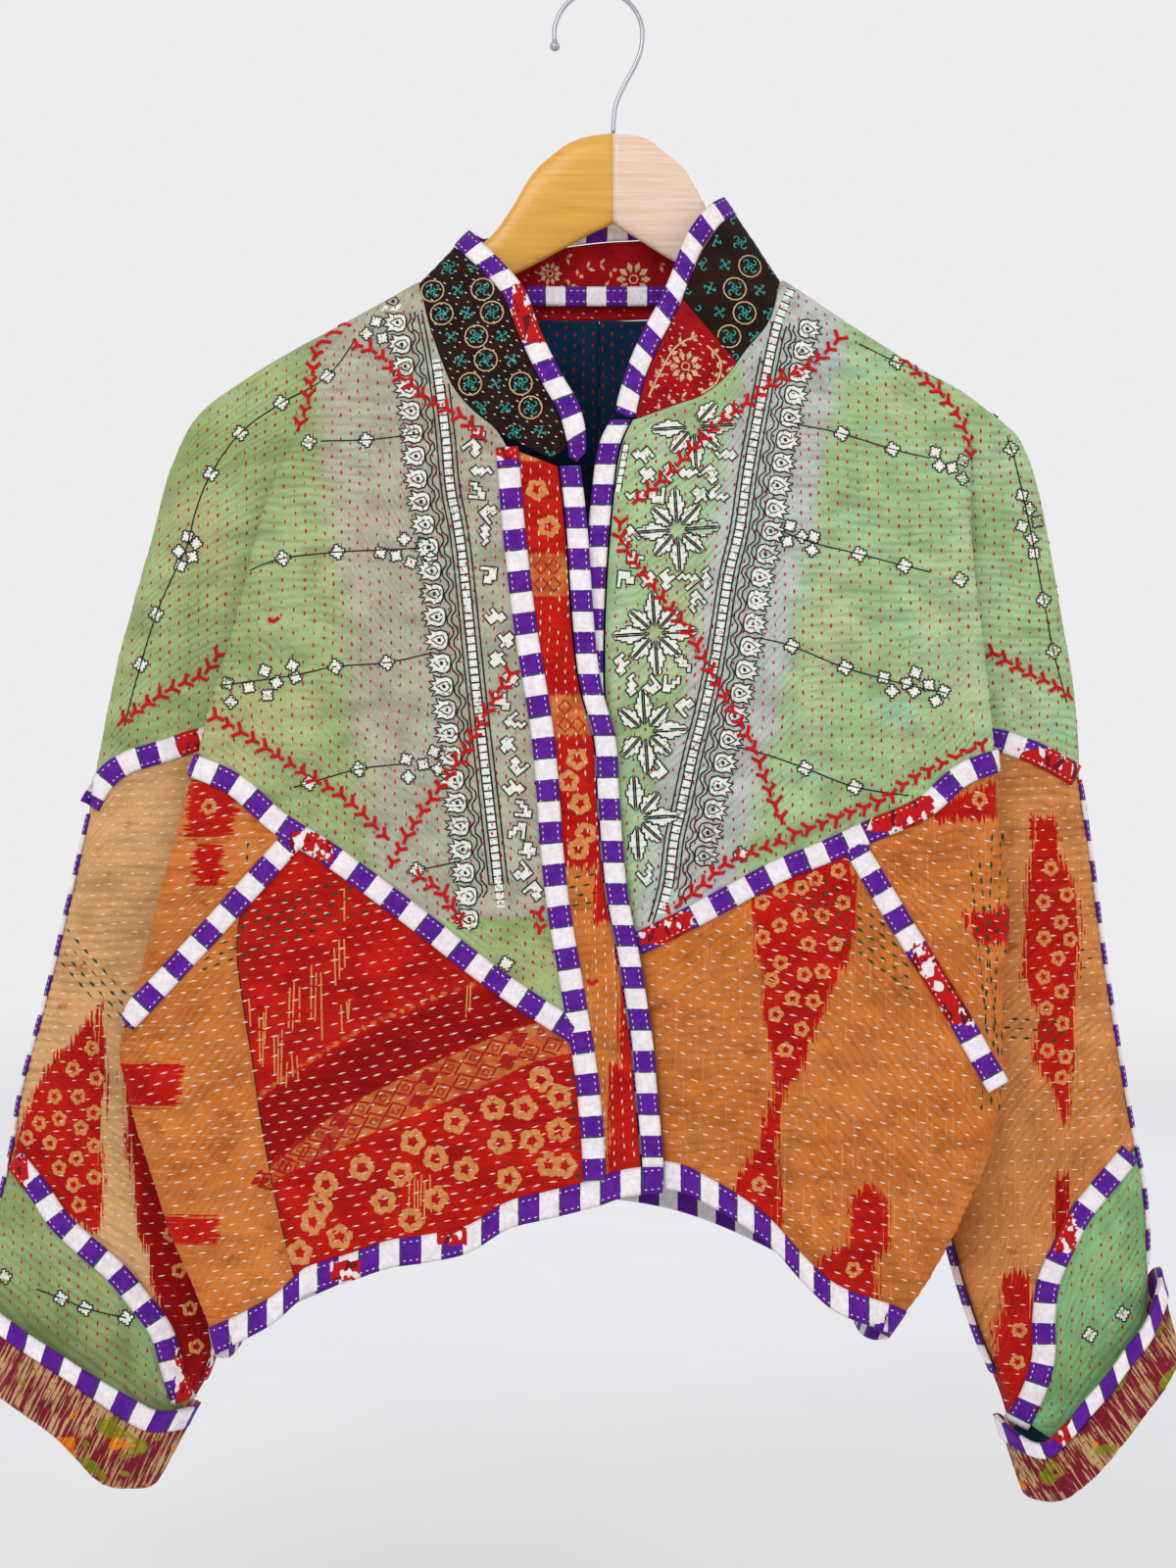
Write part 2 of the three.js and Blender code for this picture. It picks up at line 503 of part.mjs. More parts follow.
// Sleeves below the seam, petal panel, then the turn-up with its own lining.
const PETAL_SHARE = 0.93;
for (const [name, h] of SIDES) {
  const seamEnd = last(h.sleeveSeam);
  const whole = armSeam(h);
  const seam = (t) => [whole(1 - t)[0], whole(1 - t)[1] - 0.9];
  const start = seam(1);
  const sideLine = h.side.filter(([z]) => z < -441 && z > UNDERARM_Z).map(([z, x]) => [x + 1.5, z]);
  const cuffIn = [at(h.underarm, -838), -838];
  const underLine = h.underarm.filter(([z]) => z > -836).map(([z, x]) => [x, z]);
  const armLine = (z1) => [seam(0), ...h.overarm.filter(([, z]) => z < seamEnd[1] - 5 && z > z1 + 3)];
  const petalTop = h.petal[0];
  const inner = path([start, ...sideLine, ...underLine, cuffIn]);
  const low = h.cuff.map(([x, z]) => [x, z - 13]);
  const lowArm = [at(h.overTop, low[0][1]), low[0][1]];
  const rims = (n) => ({ flat: (j, i) => i === 0 || (i === n && j > 2), gap: 0.25, at: 3 });
  const petalSeam = path([...h.petal.slice(0, -1), cuffIn]);
  add(`sleeve_front_${name}`, 'ikat_orange', lying(h, FRONT, sleevePoint, seam, petalSeam,
    path([...armLine(petalTop[1]), petalTop]), inner, ACROSS, steps(9), rims(10)));
  const backPiece = (from, to, flat) => lying(h, BACK, sleevePoint, seam,
    path([lowArm, ...low.slice(1, -1), cuffIn]), path([...armLine(low[0][1]), lowArm]), inner,
    ACROSS.slice(from, to + 1), steps(9), { flat, gap: 0.25, at: Math.min(3, to - from - 1) });
  // The left back is in two solids, so that the part bent round the underarm is a body of its own.
  if (name === 'right') add('sleeve_back_right', 'ikat_orange', backPiece(0, 10, rims(10).flat));
  else {
    add('sleeve_back_left', 'ikat_orange', backPiece(0, 7, (j, i) => i === 0));
    add('sleeve_back_underarm_left', 'ikat_orange', backPiece(7, 10, (j, i) => i === 3 && j > 2));
  }
  const share = ACROSS.slice(0, 9).map((t) => t / PETAL_SHARE);
  const petalEnd = petalSeam(PETAL_SHARE);
  const petalLow = [petalEnd[0] + 2.5, petalEnd[1] - 4];
  add(`sleeve_petal_${name}`, 'green_print', lying(h, FRONT, sleevePoint,
    (t) => petalSeam(t * PETAL_SHARE), path([lowArm, ...low.slice(1, -2), petalLow]),
    path([petalTop, ...h.overarm.filter(([, z]) => z < petalTop[1] - 6 && z > lowArm[1] + 3), lowArm]),
    path([petalEnd, petalLow]), share, steps(4), { flat: (j, i) => i === 0, gap: 0.25, at: 3 }));
}

// Ring round the end of the sleeve: share down the turn-up, and how far inside the outer face.
const RING = 20;
function ringRow(h, share, inset, wide) {
  const top = path(h.cuff);
  const low = path(h.turnUp);
  return steps(RING).slice(0, -1).map((t) => {
    const angle = 2 * Math.PI * t;
    const f = (1 - Math.cos(angle)) / 2;
    const [ax, az] = top(f);
    const [bx, bz] = low(f);
    const x = lerp(ax, bx, share);
    const z = lerp(az, bz, share);
    const across = [last(h.cuff)[0] - h.cuff[0][0], last(h.cuff)[1] - h.cuff[0][1]];
    const size = Math.hypot(...across);
    const pull = inset * Math.cos(angle);
    const s = Math.sin(angle);
    const depth = (s > 0 ? 29 + wide : 22 + wide) - inset;
    const y = plane(x) - Math.sign(s) * depth * Math.abs(s) ** 0.8;
    return V(h.sign * (x + across[0] / size * pull), y, z + across[1] / size * pull);
  });
}
for (const [name, h] of SIDES) {
  const bound = 0.27;
  add(`binding_cuff_${name}`, 'striped_binding', wall([0, 0.13, bound].map((s) => ringRow(h, s, 0, 5 * s)),
    AHEAD, { ring: true, at: 5, out: EDGE_SWELL, inn: -CLOTH - EDGE_SWELL }));
  const rows = [[bound, 0, 1.3], [0.6, 0, 3], [0.95, 0.6, 4.8], [1, 2.8, 5], [0.95, 5, 4.8], [0.42, 5.6, 2]];
  add(`turn_up_${name}`, 'cuff_ikat', wall(rows.map((r) => ringRow(h, ...r)), AHEAD,
    { ring: true, at: 5, row: 1 }));
}

// Stand collar between the neck seam and its free edge: [x, z] on the seam, then x, y, z of the edge.
const NECK = [
  [-11, -281, -8, -34, -274], [-29, -275, -8, -33, -261], [-56, -262, -12, -32, -245],
  [-74, -247, -21, -30, -229], [-85, -233, -29, -28, -213], [-92, -216, -36, -26, -197],
  [-98, -199, -43, -23, -178], [-102, -183, -56, -17, -161], [-105, -169, -76, -2, -139],
  [-91, -178, -69, 12, -141], [-63, -185, -55, 14, -139], [-29, -189, -29, 15, -134],
  [0, -189, 2, 15, -130], [30, -188, 21, 15, -129], [63, -185, 44, 14, -128], [91, -177, 62, 12, -125],
  [105, -167, 73, -2, -120], [102, -183, 62, -17, -129], [97, -197, 50, -22, -146], [84, -213, 43, -24, -164],
  [74, -227, 35, -26, -183], [60, -239, 25, -27, -202], [44, -245, 17, -28, -220], [30, -250, 11, -28, -239],
  [19, -254, 9, -28, -249],
];
function neckPoint(t, share) {
  const n = NECK.length - 1;
  const i = Math.min(n - 1, Math.floor(t));
  const w = t - i;
  const mix = (c) => {
    const p = [i - 1, i, i + 1, i + 2].map((k) => NECK[Math.min(n, Math.max(0, k))][c]);
    return 0.5 * (2 * p[1] + (p[2] - p[0]) * w + (2 * p[0] - 5 * p[1] + 4 * p[2] - p[3]) * w * w
      + (3 * p[1] - p[0] - 3 * p[2] + p[3]) * w ** 3);
  };
  const x = lerp(NECK[i][0], NECK[i + 1][0], w);
  const z = lerp(NECK[i][1], NECK[i + 1][1], w);
  const h = x < 0 ? RIGHT : LEFT;
  const y = bodyY(h, t > 8 && t < 16 ? BACK : FRONT, Math.abs(x), z);
  const a = V(x, y, z);
  const b = V(mix(2), mix(3), mix(4));
  return [a, b, a.clone().lerp(b, share)];
}
const neckSteps = (a, b) => {
  const out = [];
  for (let t = a; t < b - 0.2; t += Math.abs(t - 8) < 1.1 || Math.abs(t - 16) < 1.1 ? 0.275 : 0.6) out.push(t);
  return [...out, b];
};
function collarPiece(a, b) {
  const rows = neckSteps(a, b).map((t) => {
    const [n, e] = neckPoint(t, 0);
    const size = n.distanceTo(e);
    const top = Math.max(0.2, 1 - TAPE / size);
    return steps(3, 2 / size, top).map((s) => n.clone().lerp(e, s));
  });
  return wall(rows, V(-Math.sign(11.5 - (a + b) / 2), -0.3, 0), { at: 1 });
}
function collarEdge(a, b) {
  const rows = neckSteps(a, b).map((t) => {
    const [n, e] = neckPoint(t, 0);
    const size = n.distanceTo(e);
    const low = Math.max(0.2, 1 - TAPE / size) + 0.5 / size;
    return [low, (low + 1) / 2, 1].map((s) => n.clone().lerp(e, s));
  });
  return wall(rows, V(0, -1, 0), { out: EDGE_SWELL, inn: -CLOTH - EDGE_SWELL, at: 1, row: 2 });
}
add('collar_brown_right', 'brown_turquoise', collarPiece(1, 8.5));
add('collar_red_back', 'kalamkari_red', collarPiece(8.5, 15.7));
add('collar_brown_left', 'brown_turquoise', collarPiece(15.7, 19.5));
add('collar_red_left', 'kalamkari_red', collarPiece(19.5, 23.4));
add('binding_collar', 'striped_binding', collarEdge(0.2, 23.9));

// Front band and the bindings along the middle.
const BAND_EDGE = [[11, -281], [7, -317], [3, -375], [-1, -407], [-9, -438], [-11, -470], [-15, -519],
  [-21, -552], [-25, -575], [-30, -608], [-32, -631], [-35, -664], [-36, -679]];
const bandIn = path(BAND_EDGE.map(([x, z]) => [x + TAPE, z]));
const bandSeam = path([...RIGHT.centre, ...RIGHT.centreLow.slice(1)].map(([x, z]) => [x - 0.8, z]));
add('front_band', 'ikat_red', lying(RIGHT, FRONT, bodyPoint, path([[53, -271], [24, -282]]),
  path([[2.6, -687], [-23, -679]]), bandSeam, bandIn, steps(2), steps(14)));
add('binding_band_edge', 'striped_binding', edging(RIGHT, FRONT, bodyPoint, bandIn, path(BAND_EDGE), 20));
add('binding_band_seam', 'striped_binding', tape(RIGHT, FRONT, bodyPoint,
  [...RIGHT.centre, ...RIGHT.centreLow.slice(1)], 20));
const leftEdge = [...LEFT.centre, ...LEFT.centreLow.slice(1)];
add('binding_front_left', 'striped_binding', edging(LEFT, FRONT, bodyPoint, path(leftEdge),
  path(leftEdge.map(([x, z]) => [x - TAPE, z])), 18));

// Bindings over the seams.
const cutShort = (points, a, b) => { const f = path(points); return steps(8, a, b).map((t) => f(t)); };
for (const [name, h] of SIDES) {
  const edgeAt = at(h.edge, h.yokeEnd);
  add(`binding_yoke_${name}`, 'striped_binding', tape(h, FRONT, lobePoint,
    [...cutShort([...h.yoke.slice(0, -1), [edgeAt - 14, h.yokeEnd - 3]],
      name === 'right' ? 0.06 : 0.01, 1)], 14));
  add(`binding_pocket_${name}`, 'striped_binding', tape(h, FRONT, lobePoint,
    cutShort([...h.pocket.slice(0, -1), name === 'right' ? [249, -577] : [211, -610]], 0.08, 1), 10));
  add(`binding_sleeve_${name}`, 'striped_binding', tape(h, FRONT, sleevePoint,
    cutShort([[h.sleeveSeam[0][0] + 8, -438], ...h.sleeveSeam.slice(1)], 0, 0.85), 6));
  add(`binding_petal_${name}`, 'striped_binding', tape(h, FRONT, sleevePoint,
    cutShort(h.petal, 0.06, 0.86), 12));
}

// Binding round the rim of the sleeve: half on the front, half on the back.
function rimTape(h, points, inward, count) {
  const line = path(points);
  const grid = steps(count).map((t) => {
    const [x, z] = line(t);
    return steps(4, -1, 1).map((w) => {
      const f = w < 0 ? FRONT : BACK;
      const d = 2.5 * w * w + 0.001;
      return sleevePoint(h, f, [x + inward * d, z]);
    });
  });
  return wall(grid, V(-inward * h.sign, 0, 0), { out: TAPE_LIFT + TAPE_THICK, inn: TAPE_LIFT, gap: 0.01, at: 2 });
}
for (const [name, h] of SIDES) {
  const end = last(h.sleeveSeam);
  const top = h.cuff[0][1] + 3;
  add(`binding_overarm_${name}`, 'striped_binding', rimTape(h,
    [end, ...h.overarm.filter(([, z]) => z < end[1] - 4 && z > top + 4), [at(h.overTop, top), top]], -1, 16));
  const under = h.underarm.filter(([z]) => z < -630 && z > -815).map(([z, x]) => [x, z]);
  add(`binding_underarm_${name}`, 'striped_binding', rimTape(h, under, 1, 10));
}

// Hem bindings follow the lower row of the body pieces round the edge to the side seam.
function hemEdge(h, f, line, count) {
  const z0 = hemZ(h);
  const top = path([...line, [turn(h, f, z0[0])[0][0], z0[0]]]);
  const rows = [f === FRONT ? 0.1 : 0.25, 0.5, 1].map((w) => {
    const row = steps(count).slice(0, -1).map((t) => {
      const [x, z] = top(t);
      return bodyPoint(h, f, [x, z - 15 * w]);
    });
    row.push(...rounded([0, 1, 2, 3, 4].map((k) => [...turn(h, f, z0[k] - 14 * w)[k], z0[k] - 14 * w]), BEND)
      .map(([x, y, z]) => V(h.sign * x, y, z)));
    return row;
  });
  return wall(rows, facing(f), { out: EDGE_SWELL, inn: -CLOTH - EDGE_SWELL, row: 1, at: 2 });
}
add('binding_hem_right', 'striped_binding', hemEdge(RIGHT, FRONT,
  [[-35.5, -681], [-14, -684], ...RIGHT.hem.slice(0, 8), [172, -741], [186, -753]], 16));
add('binding_hem_left', 'striped_binding', hemEdge(LEFT, FRONT, LEFT.hem.slice(0, -1), 14));
for (const [name, h] of SIDES) {
  add(`binding_hem_back_${name}`, 'striped_binding', hemEdge(h, BACK, BACK_HEM(h).slice(0, -1), 9));
  add(`binding_back_yoke_${name}`, 'striped_binding', tape(h, BACK, bodyPoint,
    cutShort(BACK_YOKE(h), 0.06, 1), 8));
}
add('binding_back_middle', 'striped_binding', tape(RIGHT, BACK, bodyPoint, [[0, -191], [0, -400], [0, -694]], 12));

// Hanger: two wooden halves that meet at the neck, and a wire hook with a bead.
const WOOD = 12;
const MIDDLE = 8;
const ARM = {
  right: [[8, -82, -135], [-7, -84, -142], [-18, -88, -148], [-29, -96, -154], [-40, -107, -160],
    [-52, -127, -166], [-63, -142, -171], [-80, -156, -179], [-105, -173, -190], [-125, -184, -200],
    [-144, -196, -209], [-175, -215, -226], [-206, -235.5, -244], [-222, -243, -248]],
  left: [[8, -82, -135], [27, -85, -147], [38, -93, -154], [49, -102, -160], [56, -113, -164],
    [64, -128, -169], [74, -141, -176], [88, -155, -184], [105, -171, -193], [122, -182, -205],
    [144, -197, -217], [167, -213, -229], [189, -227, -240], [212, -240, -250]],
};
function arm(rows, sign) {
  const round = 12;
  const pos = [];
  rows.forEach(([x, top, low], k) => {
    const cx = x + (k === 0 ? sign * 0.15 : 0);
    const thick = (WOOD / 2) * (k === rows.length - 1 ? 0.6 : 1);
    for (let i = 0; i < round; i += 1) {
      const a = 2 * Math.PI * (i + 0.5) / round;
      const square = (v) => Math.sign(v) * Math.abs(v) ** 0.7;
      pos.push(cx, plane(x) + thick * square(Math.sin(a)), (top + low) / 2 + (top - low) / 2 * square(Math.cos(a)));
    }
  });
  const faces = [];
  for (let j = 0; j < rows.length - 1; j += 1) {
    for (let i = 0; i < round; i += 1) {
      const a = j * round + i;
      const b = j * round + (i + 1) % round;
      faces.push(a, b, b + round, a, b + round, a + round);
    }
  }
  for (let i = 1; i < round - 1; i += 1) {
    faces.push(0, i + 1, i);
    const e = (rows.length - 1) * round;
    faces.push(e, e + i, e + i + 1);
  }
  return closed(pos, faces);
}
add('hanger_arm_right', 'wood', arm(ARM.right, -1));
add('hanger_arm_left', 'wood', arm(ARM.left, 1));

const WIRE = 1.4;
const BEND_CENTRE = [-0.6, -25.8 + WIRE];
const BEND_RADIUS = 25.8;
function hook() {
  const line = path([[8, -81.7], [8.4, -74], [10, -64], [15, -53], [20.5, -43], [24, -34], [25.1, -27]]);
  const run = steps(6).map((t) => line(t));
  const arc = steps(17, 6, 186).map((deg) => {
    const a = deg * Math.PI / 180;
    return [BEND_CENTRE[0] + BEND_RADIUS * Math.cos(a), BEND_CENTRE[1] + BEND_RADIUS * Math.sin(a)];
  });
  const centre = [...run, ...arc];
  const bead = [last(arc)[0] + 0.2, last(arc)[1] - 2];
  const sizes = centre.map(() => WIRE);
  for (const [down, size] of [[0.1, 2.2], [1.4, 3], [3, 3], [4.4, 2], [5, 0.8]]) {
    centre.push([bead[0], bead[1] - down]);
    sizes.push(size);
  }
  const around = 8;
  const pos = [];
  centre.forEach(([x, z], k) => {
    const a = centre[Math.max(0, k - 1)];
    const b = centre[Math.min(centre.length - 1, k + 1)];
    const run2 = Math.hypot(b[0] - a[0], b[1] - a[1]);
    const n = [-(b[1] - a[1]) / run2, (b[0] - a[0]) / run2];
    for (let i = 0; i < around; i += 1) {
      const w = 2 * Math.PI * i / around;
      pos.push(x + n[0] * sizes[k] * Math.cos(w), sizes[k] * Math.sin(w), z + n[1] * sizes[k] * Math.cos(w));
    }
  });
  const faces = [];
  for (let j = 0; j < centre.length - 1; j += 1) {
    for (let i = 0; i < around; i += 1) {
      const a = j * around + i;
      const b = j * around + (i + 1) % around;
      faces.push(a, b, b + around, a, b + around, a + around);
    }
  }
  for (let i = 1; i < around - 1; i += 1) {
    faces.push(0, i + 1, i);
    const e = (centre.length - 1) * around;
    faces.push(e, e + i, e + i + 1);
  }
  return closed(pos, faces);
}
add('hanger_hook', 'steel', hook());

export default jacket;
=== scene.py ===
# %% [markdown]
# # A quilted kantha jacket on a wooden hanger
# The real jacket is sewn from old cotton covers: several thin layers held together by hundreds of
# rows of running stitch, which pull the cloth into small ripples. Panels of green, orange and red
# print meet under striped bindings. A reader can follow it as the maker would: cut the panels, bind
# the edges, then print, quilt and embroider them. Sizes are in millimetres until a mesh is made,
# then in metres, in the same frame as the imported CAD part.

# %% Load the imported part
import math
import bpy
import numpy as np
from types import SimpleNamespace
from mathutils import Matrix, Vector
from mathutils.bvhtree import BVHTree


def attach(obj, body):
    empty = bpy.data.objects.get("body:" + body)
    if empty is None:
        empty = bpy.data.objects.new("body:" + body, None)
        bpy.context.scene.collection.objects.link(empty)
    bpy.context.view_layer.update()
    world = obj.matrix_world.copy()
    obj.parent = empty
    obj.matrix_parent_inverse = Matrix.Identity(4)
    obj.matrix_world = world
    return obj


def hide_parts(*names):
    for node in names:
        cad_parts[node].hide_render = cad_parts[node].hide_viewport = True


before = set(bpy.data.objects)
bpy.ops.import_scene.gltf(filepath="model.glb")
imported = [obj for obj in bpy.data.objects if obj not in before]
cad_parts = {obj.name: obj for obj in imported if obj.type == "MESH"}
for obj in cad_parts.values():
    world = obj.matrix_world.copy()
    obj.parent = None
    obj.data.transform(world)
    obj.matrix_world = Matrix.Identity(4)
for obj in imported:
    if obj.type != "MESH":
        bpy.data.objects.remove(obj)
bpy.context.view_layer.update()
MM = 0.001

# %% [markdown]
# The photograph looks straight at the jacket, so the camera stands level with the middle of the
# picture and looks along +Y. One pixel of the picture is 0.56 mm on the front of the cloth.
# A long distance with a long lens keeps the sleeves the width that was measured.

# %% Camera
PIXEL = 0.56
PICTURE = (1200, 1600)
MIDDLE_PX, TOP_PX = 612, 26
FRONT_DEPTH = -0.034
DISTANCE = 1.45
SENSOR = 24.0

def plan(px, py):
    """Plan place in mm of a picture point: x to the viewer's right, z up."""
    return (px - MIDDLE_PX) * PIXEL, -(py + TOP_PX) * PIXEL

middle_x, middle_z = plan(PICTURE[0] / 2, PICTURE[1] / 2)
lens = bpy.data.cameras.new("camera")
lens.sensor_fit = "VERTICAL"
lens.sensor_height = SENSOR
lens.lens = SENSOR * DISTANCE / (PICTURE[1] * PIXEL * MM)
camera = bpy.data.objects.new("camera", lens)
camera.location = (middle_x * MM, FRONT_DEPTH - DISTANCE, middle_z * MM)
camera.rotation_euler = (math.pi / 2, 0, 0)
bpy.context.collection.objects.link(camera)
bpy.context.scene.camera = camera
print("lens", round(lens.lens, 1), "mm at", DISTANCE, "m")

# %% [markdown]
# The jacket hangs clear of the ground. The stage is a pale floor that fades into the room far off,
# and the light is that of a bright room: one large soft lamp in front and above, a weaker one from
# the side and one behind, and a pale sky that fills the shadows.

# %% Floor and light
FLOOR_Z = -1.02
FLOOR_RADIUS = 7.0
ROOM_COLOUR, ROOM_STRENGTH = (0.985, 0.985, 1.0, 1), 0.86

def lamp(name, place, aim, size, power, tint=(1, 1, 1)):
    data = bpy.data.lights.new(name, "AREA")
    data.shape = "RECTANGLE"
    data.size, data.size_y = size
    data.energy = power
    data.color = tint
    obj = bpy.data.objects.new(name, data)
    obj.location = place
    obj.rotation_euler = (Vector(aim) - Vector(place)).to_track_quat("-Z", "Y").to_euler()
    bpy.context.collection.objects.link(obj)
    return obj

def stage_floor():
    rings, spokes = 26, 96
    verts = [(0, 0, FLOOR_Z)]
    for r in range(1, rings + 1):
        for s in range(spokes):
            a = 2 * math.pi * s / spokes
            radius = FLOOR_RADIUS * r / rings
            verts.append((radius * math.cos(a), radius * math.sin(a), FLOOR_Z))
    faces = [(0, 1 + s, 1 + (s + 1) % spokes) for s in range(spokes)]
    for r in range(rings - 1):
        for s in range(spokes):
            a, b = 1 + r * spokes + s, 1 + r * spokes + (s + 1) % spokes
            faces.append((a, a + spokes, b + spokes, b))
    mesh = bpy.data.meshes.new("floor")
    mesh.from_pydata(verts, [], faces)
    obj = bpy.data.objects.new("floor", mesh)
    bpy.context.collection.objects.link(obj)
    return obj

floor = stage_floor()
MID = (0, 0, -0.46)
lamp("key_lamp", (-0.9, -2.1, 0.95), MID, (1.5, 1.2), 13)
lamp("right_lamp", (1.9, -1.5, 0.2), MID, (1.2, 1.6), 4)
lamp("back_lamp", (0.4, 2.2, 0.9), MID, (1.6, 1.2), 9)
world = bpy.data.worlds.new("pale_room")
bpy.context.scene.world = world
world.use_nodes = True
world.node_tree.nodes["Background"].inputs["Color"].default_value = ROOM_COLOUR
world.node_tree.nodes["Background"].inputs["Strength"].default_value = ROOM_STRENGTH
bpy.context.scene.view_settings.view_transform = "Standard"
print("floor at", FLOOR_Z, "m")
# %% [markdown]
# ## Measured lines
# Every panel is drawn between lines that were measured on the photograph: shoulder, neck, seams,
# folds, hem and cuffs. A table lists [x, z] in mm, with x counted from the middle of the jacket, so
# the wearer's right half (sign -1) and left half (sign +1) use the same code. "edge" is where the
# front of the body turns over towards the sleeve, and "side" is where that fold ends.

# %% Small helpers
def steps(grid, axis):
    """Lengths between neighbouring points of a grid, along one of its axes."""
    return np.linalg.norm(np.diff(grid, axis=axis), axis=-1)

def lerp(a, b, t):
    return a + (b - a) * t

def clamp(t):
    return np.clip(t, 0.0, 1.0)

def ease(t):
    t = clamp(t)
    return t * t * (3 - 2 * t)

def bow(t):
    return np.sqrt(1 - (1 - clamp(t)) ** 2)

def table(rows):
    """A smooth line through [key, value] rows, keys falling, as a function of the key."""
    k, v = (np.array(c, float) for c in zip(*rows))
    n = len(k)
    lo, hi = np.maximum(np.arange(n) - 1, 0), np.minimum(np.arange(n) + 1, n - 1)
    slope = (v[hi] - v[lo]) / (k[hi] - k[lo])

    def value(key):
        key = np.clip(np.asarray(key, float), k[-1], k[0])
        i = np.clip(np.searchsorted(-k, -key, side="right") - 1, 0, n - 2)
        w = k[i + 1] - k[i]
        t = (key - k[i]) / w
        h = t * t * (3 - 2 * t)
        bend = w * (t * (1 - t) ** 2 * slope[i] - t * t * (1 - t) * slope[i + 1])
        return v[i] * (1 - h) + v[i + 1] * h + bend

    return value

def curve(points):
    """A smooth plan curve, read by its share of length from 0 to 1."""
    p = np.array(points, float)
    n = len(p)
    fine = []
    for i in range(n - 1):
        a, b, c, d = p[max(0, i - 1)], p[i], p[i + 1], p[min(n - 1, i + 2)]
        for t in np.arange(8) / 8:
            fine.append(0.5 * (2 * b + (c - a) * t + (2 * a - 5 * b + 4 * c - d) * t * t
                               + (3 * b - a - 3 * c + d) * t ** 3))
    fine = np.array(fine + [p[-1]])
    run = np.concatenate([[0], np.cumsum(np.linalg.norm(np.diff(fine, axis=0), axis=1))])

    def place(t):
        goal = clamp(np.asarray(t, float)) * run[-1]
        return np.stack([np.interp(goal, run, fine[:, c]) for c in range(fine.shape[1])], -1)

    place.length = run[-1]
    place.points = fine
    return place

def joined(*parts):
    total = sum(p.length for p in parts)
    ends = np.cumsum([p.length for p in parts]) / total

    def place(t):
        t = clamp(np.asarray(t, float))
        out = np.zeros(t.shape + (2,))
        start = 0.0
        for p, end in zip(parts, ends):
            here = (t >= start) & ((t < end) | (end > 0.999999))
            out[here] = p((t[here] - start) / (end - start))
            start = end
        return out

    place.length = total
    return place

def patch(top, bottom, inner, outer):
    """Fills a four-sided plan between its edge curves; u runs inner to outer, v top to bottom."""
    def place(u, v):
        zero, one = np.zeros(()), np.ones(())
        edges = (lerp(top(u), bottom(u), v[..., None]) + lerp(inner(v), outer(v), u[..., None]))
        corner = lerp(lerp(top(zero), top(one), u[..., None]),
                      lerp(bottom(zero), bottom(one), u[..., None]), v[..., None])
        return edges - corner
    return place

def distance_to(line, x, z):
    """Distance of plan points to a polyline."""
    a, b = line[:-1], line[1:]
    ab = b - a
    size = np.maximum((ab ** 2).sum(1), 1e-12)
    flat = np.stack([np.ravel(x), np.ravel(z)], -1)
    best = np.full(len(flat), 1e9)
    for s in range(len(a)):
        t = clamp(((flat - a[s]) @ ab[s]) / size[s])
        near = flat - a[s] - t[:, None] * ab[s]
        best = np.minimum(best, (near ** 2).sum(1))
    return np.sqrt(best).reshape(np.shape(x))

# %% Lines of the right half
right = SimpleNamespace(
    sign=-1, yoke_end=-452,
    shoulder=[[105, -169], [119, -177], [144, -191], [175, -208], [206, -227], [234, -249], [250, -281]],
    overarm=[[250, -281], [263, -331], [279, -387], [291, -446], [297, -480], [309, -533], [321, -583],
        [336, -639], [342, -675], [350, -709], [358, -745], [364, -770], [371, -800]],
    underarm=[[-569, 212.5], [-595, 214], [-640, 216], [-695, 219], [-734, 221], [-768, 221], [-790, 223],
        [-808, 229], [-822, 237], [-842, 247], [-866, 258]],
    edge=[[-191, 145], [-216, 150], [-239, 161], [-261, 175], [-283, 186], [-328, 199], [-379, 211],
        [-407, 220], [-443, 228], [-488, 240], [-538, 253], [-580, 263], [-600, 270], [-617, 272],
        [-631, 269], [-659, 262], [-687, 253], [-715, 244], [-743, 232], [-765, 223], [-790, 216]],
    side=[[-205, 163], [-300, 176], [-380, 186], [-440, 194], [-520, 206], [-569, 211], [-597, 205],
        [-631, 199], [-687, 198], [-731, 202], [-759, 206], [-790, 211]],
    neck=[[53, -270], [60, -259], [74, -247], [85, -233], [92, -216], [98, -199], [102, -183], [105, -169]],
    centre=[[53, -270], [49, -317], [42, -375], [32, -438], [27, -501], [23, -535], [18, -564], [11, -605]],
    centre_low=[[11, -605], [7, -631], [4, -664], [3, -687]],
    yoke=[[11, -605], [29, -594], [63, -571], [96, -545], [130, -519], [152, -503], [171, -491],
        [197, -474], [220, -457]],
    sleeve_seam=[[208, -438], [227, -436], [242, -441], [259, -446], [276, -452], [287, -462], [293, -472],
        [297, -480]],
    pocket=[[171, -491], [205, -529], [238, -565], [262, -592]],
    petal=[[342, -675], [326, -692], [309, -715], [292, -730], [276, -744], [262, -762], [251, -779],
        [246, -799], [241, -821], [247, -838]],
    hem=[[3, -687], [29, -694], [52, -700], [74, -713], [96, -718], [119, -721], [141, -728], [164, -735],
        [186, -753], [206, -766]],
    cuff=[[366, -750], [343, -765], [328, -775], [310, -786], [287, -801], [265, -815], [252, -822],
        [234, -822]],
    turn_up=[[375, -793], [343, -810], [321, -824], [310, -832], [298, -844], [283, -861], [268, -866],
        [258, -868]],
)

